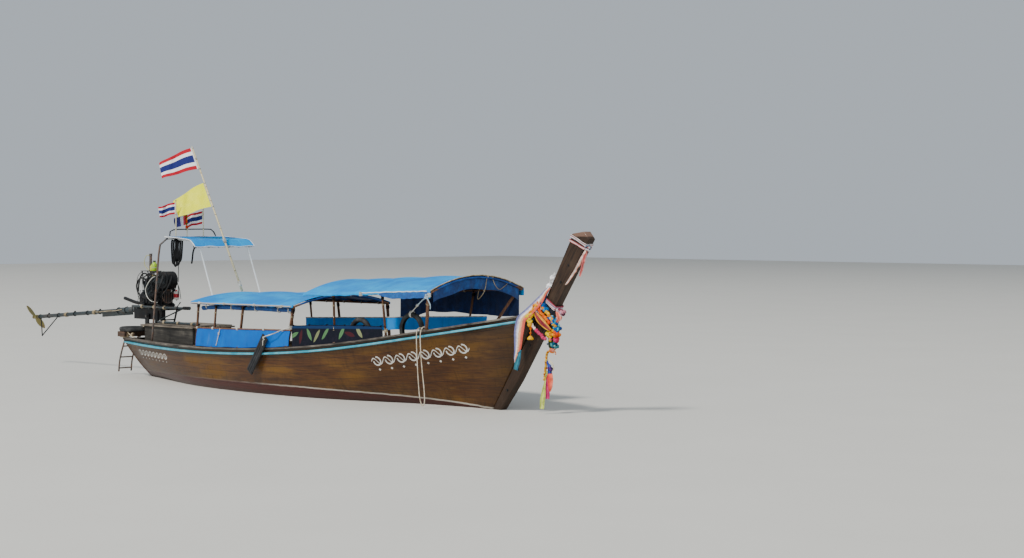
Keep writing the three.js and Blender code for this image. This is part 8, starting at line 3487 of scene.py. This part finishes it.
@dataclass
class HullFittings:
    """Nails in the caps, bolts through the stem, bindings on the posts and the foredeck's hatch."""

    nail_pitch: float = 0.3
    nail_insets: tuple[float, float] = (0.006, -0.034)
    bolt_heights: tuple[float, ...] = (0.3, 0.62, 0.98, 1.9, 2.14)
    # Foot x, head x, head y, head z and radius of each post, both sides alike
    rear_posts: tuple[tuple[float, ...], ...] = (
        (-1.98, -1.97, 0.96, 1.4, 0.02), (-1.45, -1.45, 0.975, 1.405, 0.018),
        (-0.7, -0.705, 0.975, 1.41, 0.022), (0.56, 0.6, 0.96, 1.418, 0.026),
    )
    fore_posts: tuple[tuple[float, ...], ...] = (
        (1.65, 1.575, 0.945, 1.636, 0.018), (2.69, 2.712, 0.935, 1.69, 0.018),
        (3.42, 3.72, 0.905, 1.722, 0.024),
    )

    def build(self) -> None:
        """Builds each group."""
        self._nails()
        self._stem_bolts()
        self._bindings()
        self._hatch()

    def _nails(self) -> None:
        """Two nails in each board end along both cap rails."""
        x = np.arange(-4.9, 4.3, self.nail_pitch)
        half, sheer = hull_at(x, HullLine.HALF_BEAM), hull_at(x, HullLine.SHEER)
        spots = []
        for side in (-1, 1):
            for inset in self.nail_insets:
                spots.append(np.stack([x + inset * 0.6, side * (half + inset), sheer - 0.0035], axis=1))
        origins = np.vstack(spots)
        head = turned([(0, 0), (1, 0), (0.9, 0.35), (0.5, 0.55), (0, 0.6)], (0, 0, 0), UP, 10)
        frames = np.repeat(np.diag([0.0075, 0.0075, 0.0055])[None], len(origins), axis=0)
        piece("cap_nails", head.copies(frames, origins), RUSTY_STEEL, smooth=50)

    def _stem_bolts(self) -> None:
        """Bolt heads with round washers on both faces of the stem."""
        heads, plates = [], []
        for z in self.bolt_heights:
            x = 0.55 * stem_edge(z, True) + 0.45 * stem_edge(z, False)
            for side in (-1, 1):
                plates.append(disc((x, side * 0.067, z), (0, side, 0), 0.021, 0.003))
                heads.append(bolts([(x, side * 0.07, z)], (0, side, 0), 0.012))
        piece("stem_bolts", Form.joined(heads + plates), IRON, smooth=35)

    def _post(self, row: Sequence[float], side: int, z: float) -> Array:
        """A post's middle at a height, on the line from its foot on the sheer to its head.

        Args:
            row: The post's row.
            side: 1 for port and -1 for starboard.
            z: The height.

        Returns:
            The middle there.
        """
        foot_x, head_x, head_y, head_z, _ = row
        foot = np.array(
            [foot_x, float(hull_at(foot_x, HullLine.HALF_BEAM)), float(hull_at(foot_x, HullLine.SHEER))]
        )
        head = np.array([head_x, head_y, head_z])
        spot = foot + (head - foot) * (z - foot[2]) / (head[2] - foot[2])
        return spot * (1, side, 1)

    def _bindings(self) -> None:
        """Cord round the head of each post and below the hoop, and steel saddles at their feet."""
        dark, pale, saddles = [], [], []
        for rows, low in ((self.rear_posts, 1.372), (self.fore_posts, None)):
            for row in rows:
                for side in (-1, 1):
                    top = (low or row[3] - 0.055) - 0.012
                    spot, below = self._post(row, side, top), self._post(row, side, top - 0.05)
                    way = unit(spot - below)
                    dark.append(lashing(spot, way, row[4], 5, 0.0048))
                    if side < 0:
                        pale.append(lashing(self._post(row, side, top - 0.1), way, row[4], 2, 0.0042))
                    foot = self._post(row, side, float(hull_at(row[0], HullLine.SHEER)) + 0.012)
                    saddles.append(ring_form(foot, way, row[4] + 0.004, 0.006, 20))
        piece("post_bindings", Form.joined(dark), BLACK_STRAP, smooth=80)
        piece("post_cords", Form.joined(pale), TAN_ROPE, smooth=80)
        piece("post_saddles", Form.joined(saddles), RUSTY_STEEL, smooth=60)

    def _hatch(self) -> None:
        """A hatch lid of three boards on the foredeck, with two battens and a rope handle."""
        slope = (1.222 - 1.15) / 0.7
        boards, battens = [], []
        for y in (-0.135, 0.0, 0.135):
            boards.append(
                bar_form(
                    (3.62, y, self._deck(3.62) + 0.012), (4.06, y, self._deck(4.06) + 0.012), 0.064, 0.011
                )
            )
        for x in (3.7, 3.98):
            z = self._deck(x) + 0.031
            battens.append(bar_form((x, -0.185, z), (x, 0.185, z), 0.022, 0.008, (-slope, 0, 1)))
        piece("hatch_boards", Form.joined(boards), GREY_WOOD, bevel=0.003)
        piece("hatch_battens", Form.joined(battens), DARK_WOOD, bevel=0.003)
        z = self._deck(3.84) + 0.024
        loop = smooth_path(
            [
                (3.79, 0.0, z), (3.8, 0.0, z + 0.045), (3.84, 0.0, z + 0.06), (3.88, 0.0, z + 0.048),
                (3.89, 0.0, z + 0.002),
            ],
            8,
        )
        piece("hatch_handle", tube(loop, 0.008, 8), TAN_ROPE, smooth=80)

    def _deck(self, x: float) -> float:
        """Height of the foredeck's top at a place along the boat."""
        return float(np.interp(x, [3.45, 4.45], [1.082, 1.238]))


SUB_ASSEMBLIES: tuple[Any, ...] = (
    BowRope(), *awnings(), AwningTrim(), SideCloths(), HelmShelter(), Flags(), StemOrnaments(), Fenders(),
    SternGear(), EngineFittings(), TailFittings(), HullFittings(),
)


# CAD nodes that get a merged copy: the width of its rounded edges and the angle that stays sharp
REFITS: dict[str, tuple[float, float]] = {
    "hull_shell": (0.0, 40.0), "transom": (0.004, 35.0), "keel": (0.006, 35.0), "stem_post": (0.012, 35.0),
    "cap_rail_starboard": (0.006, 35.0), "cap_rail_port": (0.006, 35.0), "rub_rail_starboard": (0.0, 50.0),
    "rub_rail_port": (0.0, 50.0), "aft_deck": (0.003, 35.0), "stern_box": (0.004, 35.0),
    "stern_box_top": (0.005, 35.0), "stern_beam": (0.008, 35.0), "swivel_socket": (0.003, 35.0),
    "boarding_ladder": (0.0, 50.0), "rear_awning_frame": (0.0, 50.0), "fore_awning_frame": (0.0, 50.0),
    "shelter_post": (0.0, 50.0), "shelter_front": (0.0, 50.0), "roof_rail": (0.0, 50.0),
    "flag_pole": (0.0, 50.0), "fender_board": (0.008, 35.0), "swivel_yoke": (0.003, 35.0),
    "engine_bed": (0.003, 35.0), "tiller": (0.0, 50.0), "engine_block": (0.004, 35.0),
    "air_cleaner": (0.004, 35.0), "exhaust_stack": (0.0, 50.0), "outlet_pipe": (0.0, 50.0),
    "tail_tube": (0.0, 50.0), "skeg_guard": (0.0, 50.0), "propeller": (0.002, 40.0),
}


def dress_nodes(frame: dict[str, Any]) -> None:
    """Gives every CAD node its finish, and a merged copy in its place where its edges show.

    Args:
        frame: What the frame holds: its record and its nodes' objects.
    """
    bodies = frame["record"]["behaviour"]["bodies"]
    rides_on = {node: body for body, nodes in bodies.items() for node in nodes}
    for node, finish in CAD_FINISHES.items():
        target = frame["nodes"][node]
        target.data.materials.clear()
        target.data.materials.append(finish.material())
        if node in REFITS and not target.hide_render:
            bevel, smooth = REFITS[node]
            refit(node, finish, rides_on[node], bevel, smooth)


def corners(box: tuple[Any, Any]) -> list[list[float]]:
    """A box's two corners as plain lists."""
    return [[float(v) for v in corner] for corner in box]


def main() -> None:
    """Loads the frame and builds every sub-assembly in turn."""
    logging.basicConfig(level=logging.INFO, format="%(message)s")
    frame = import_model()
    for plain in list(bpy.data.materials):
        bpy.data.materials.remove(plain)
    Viewpoint().build()
    Studio().build()
    for part in SUB_ASSEMBLIES:
        LOG.info("-> %s", type(part).__name__)
        part.build()
    dress_nodes(frame)


if __name__ == "__main__":
    main()
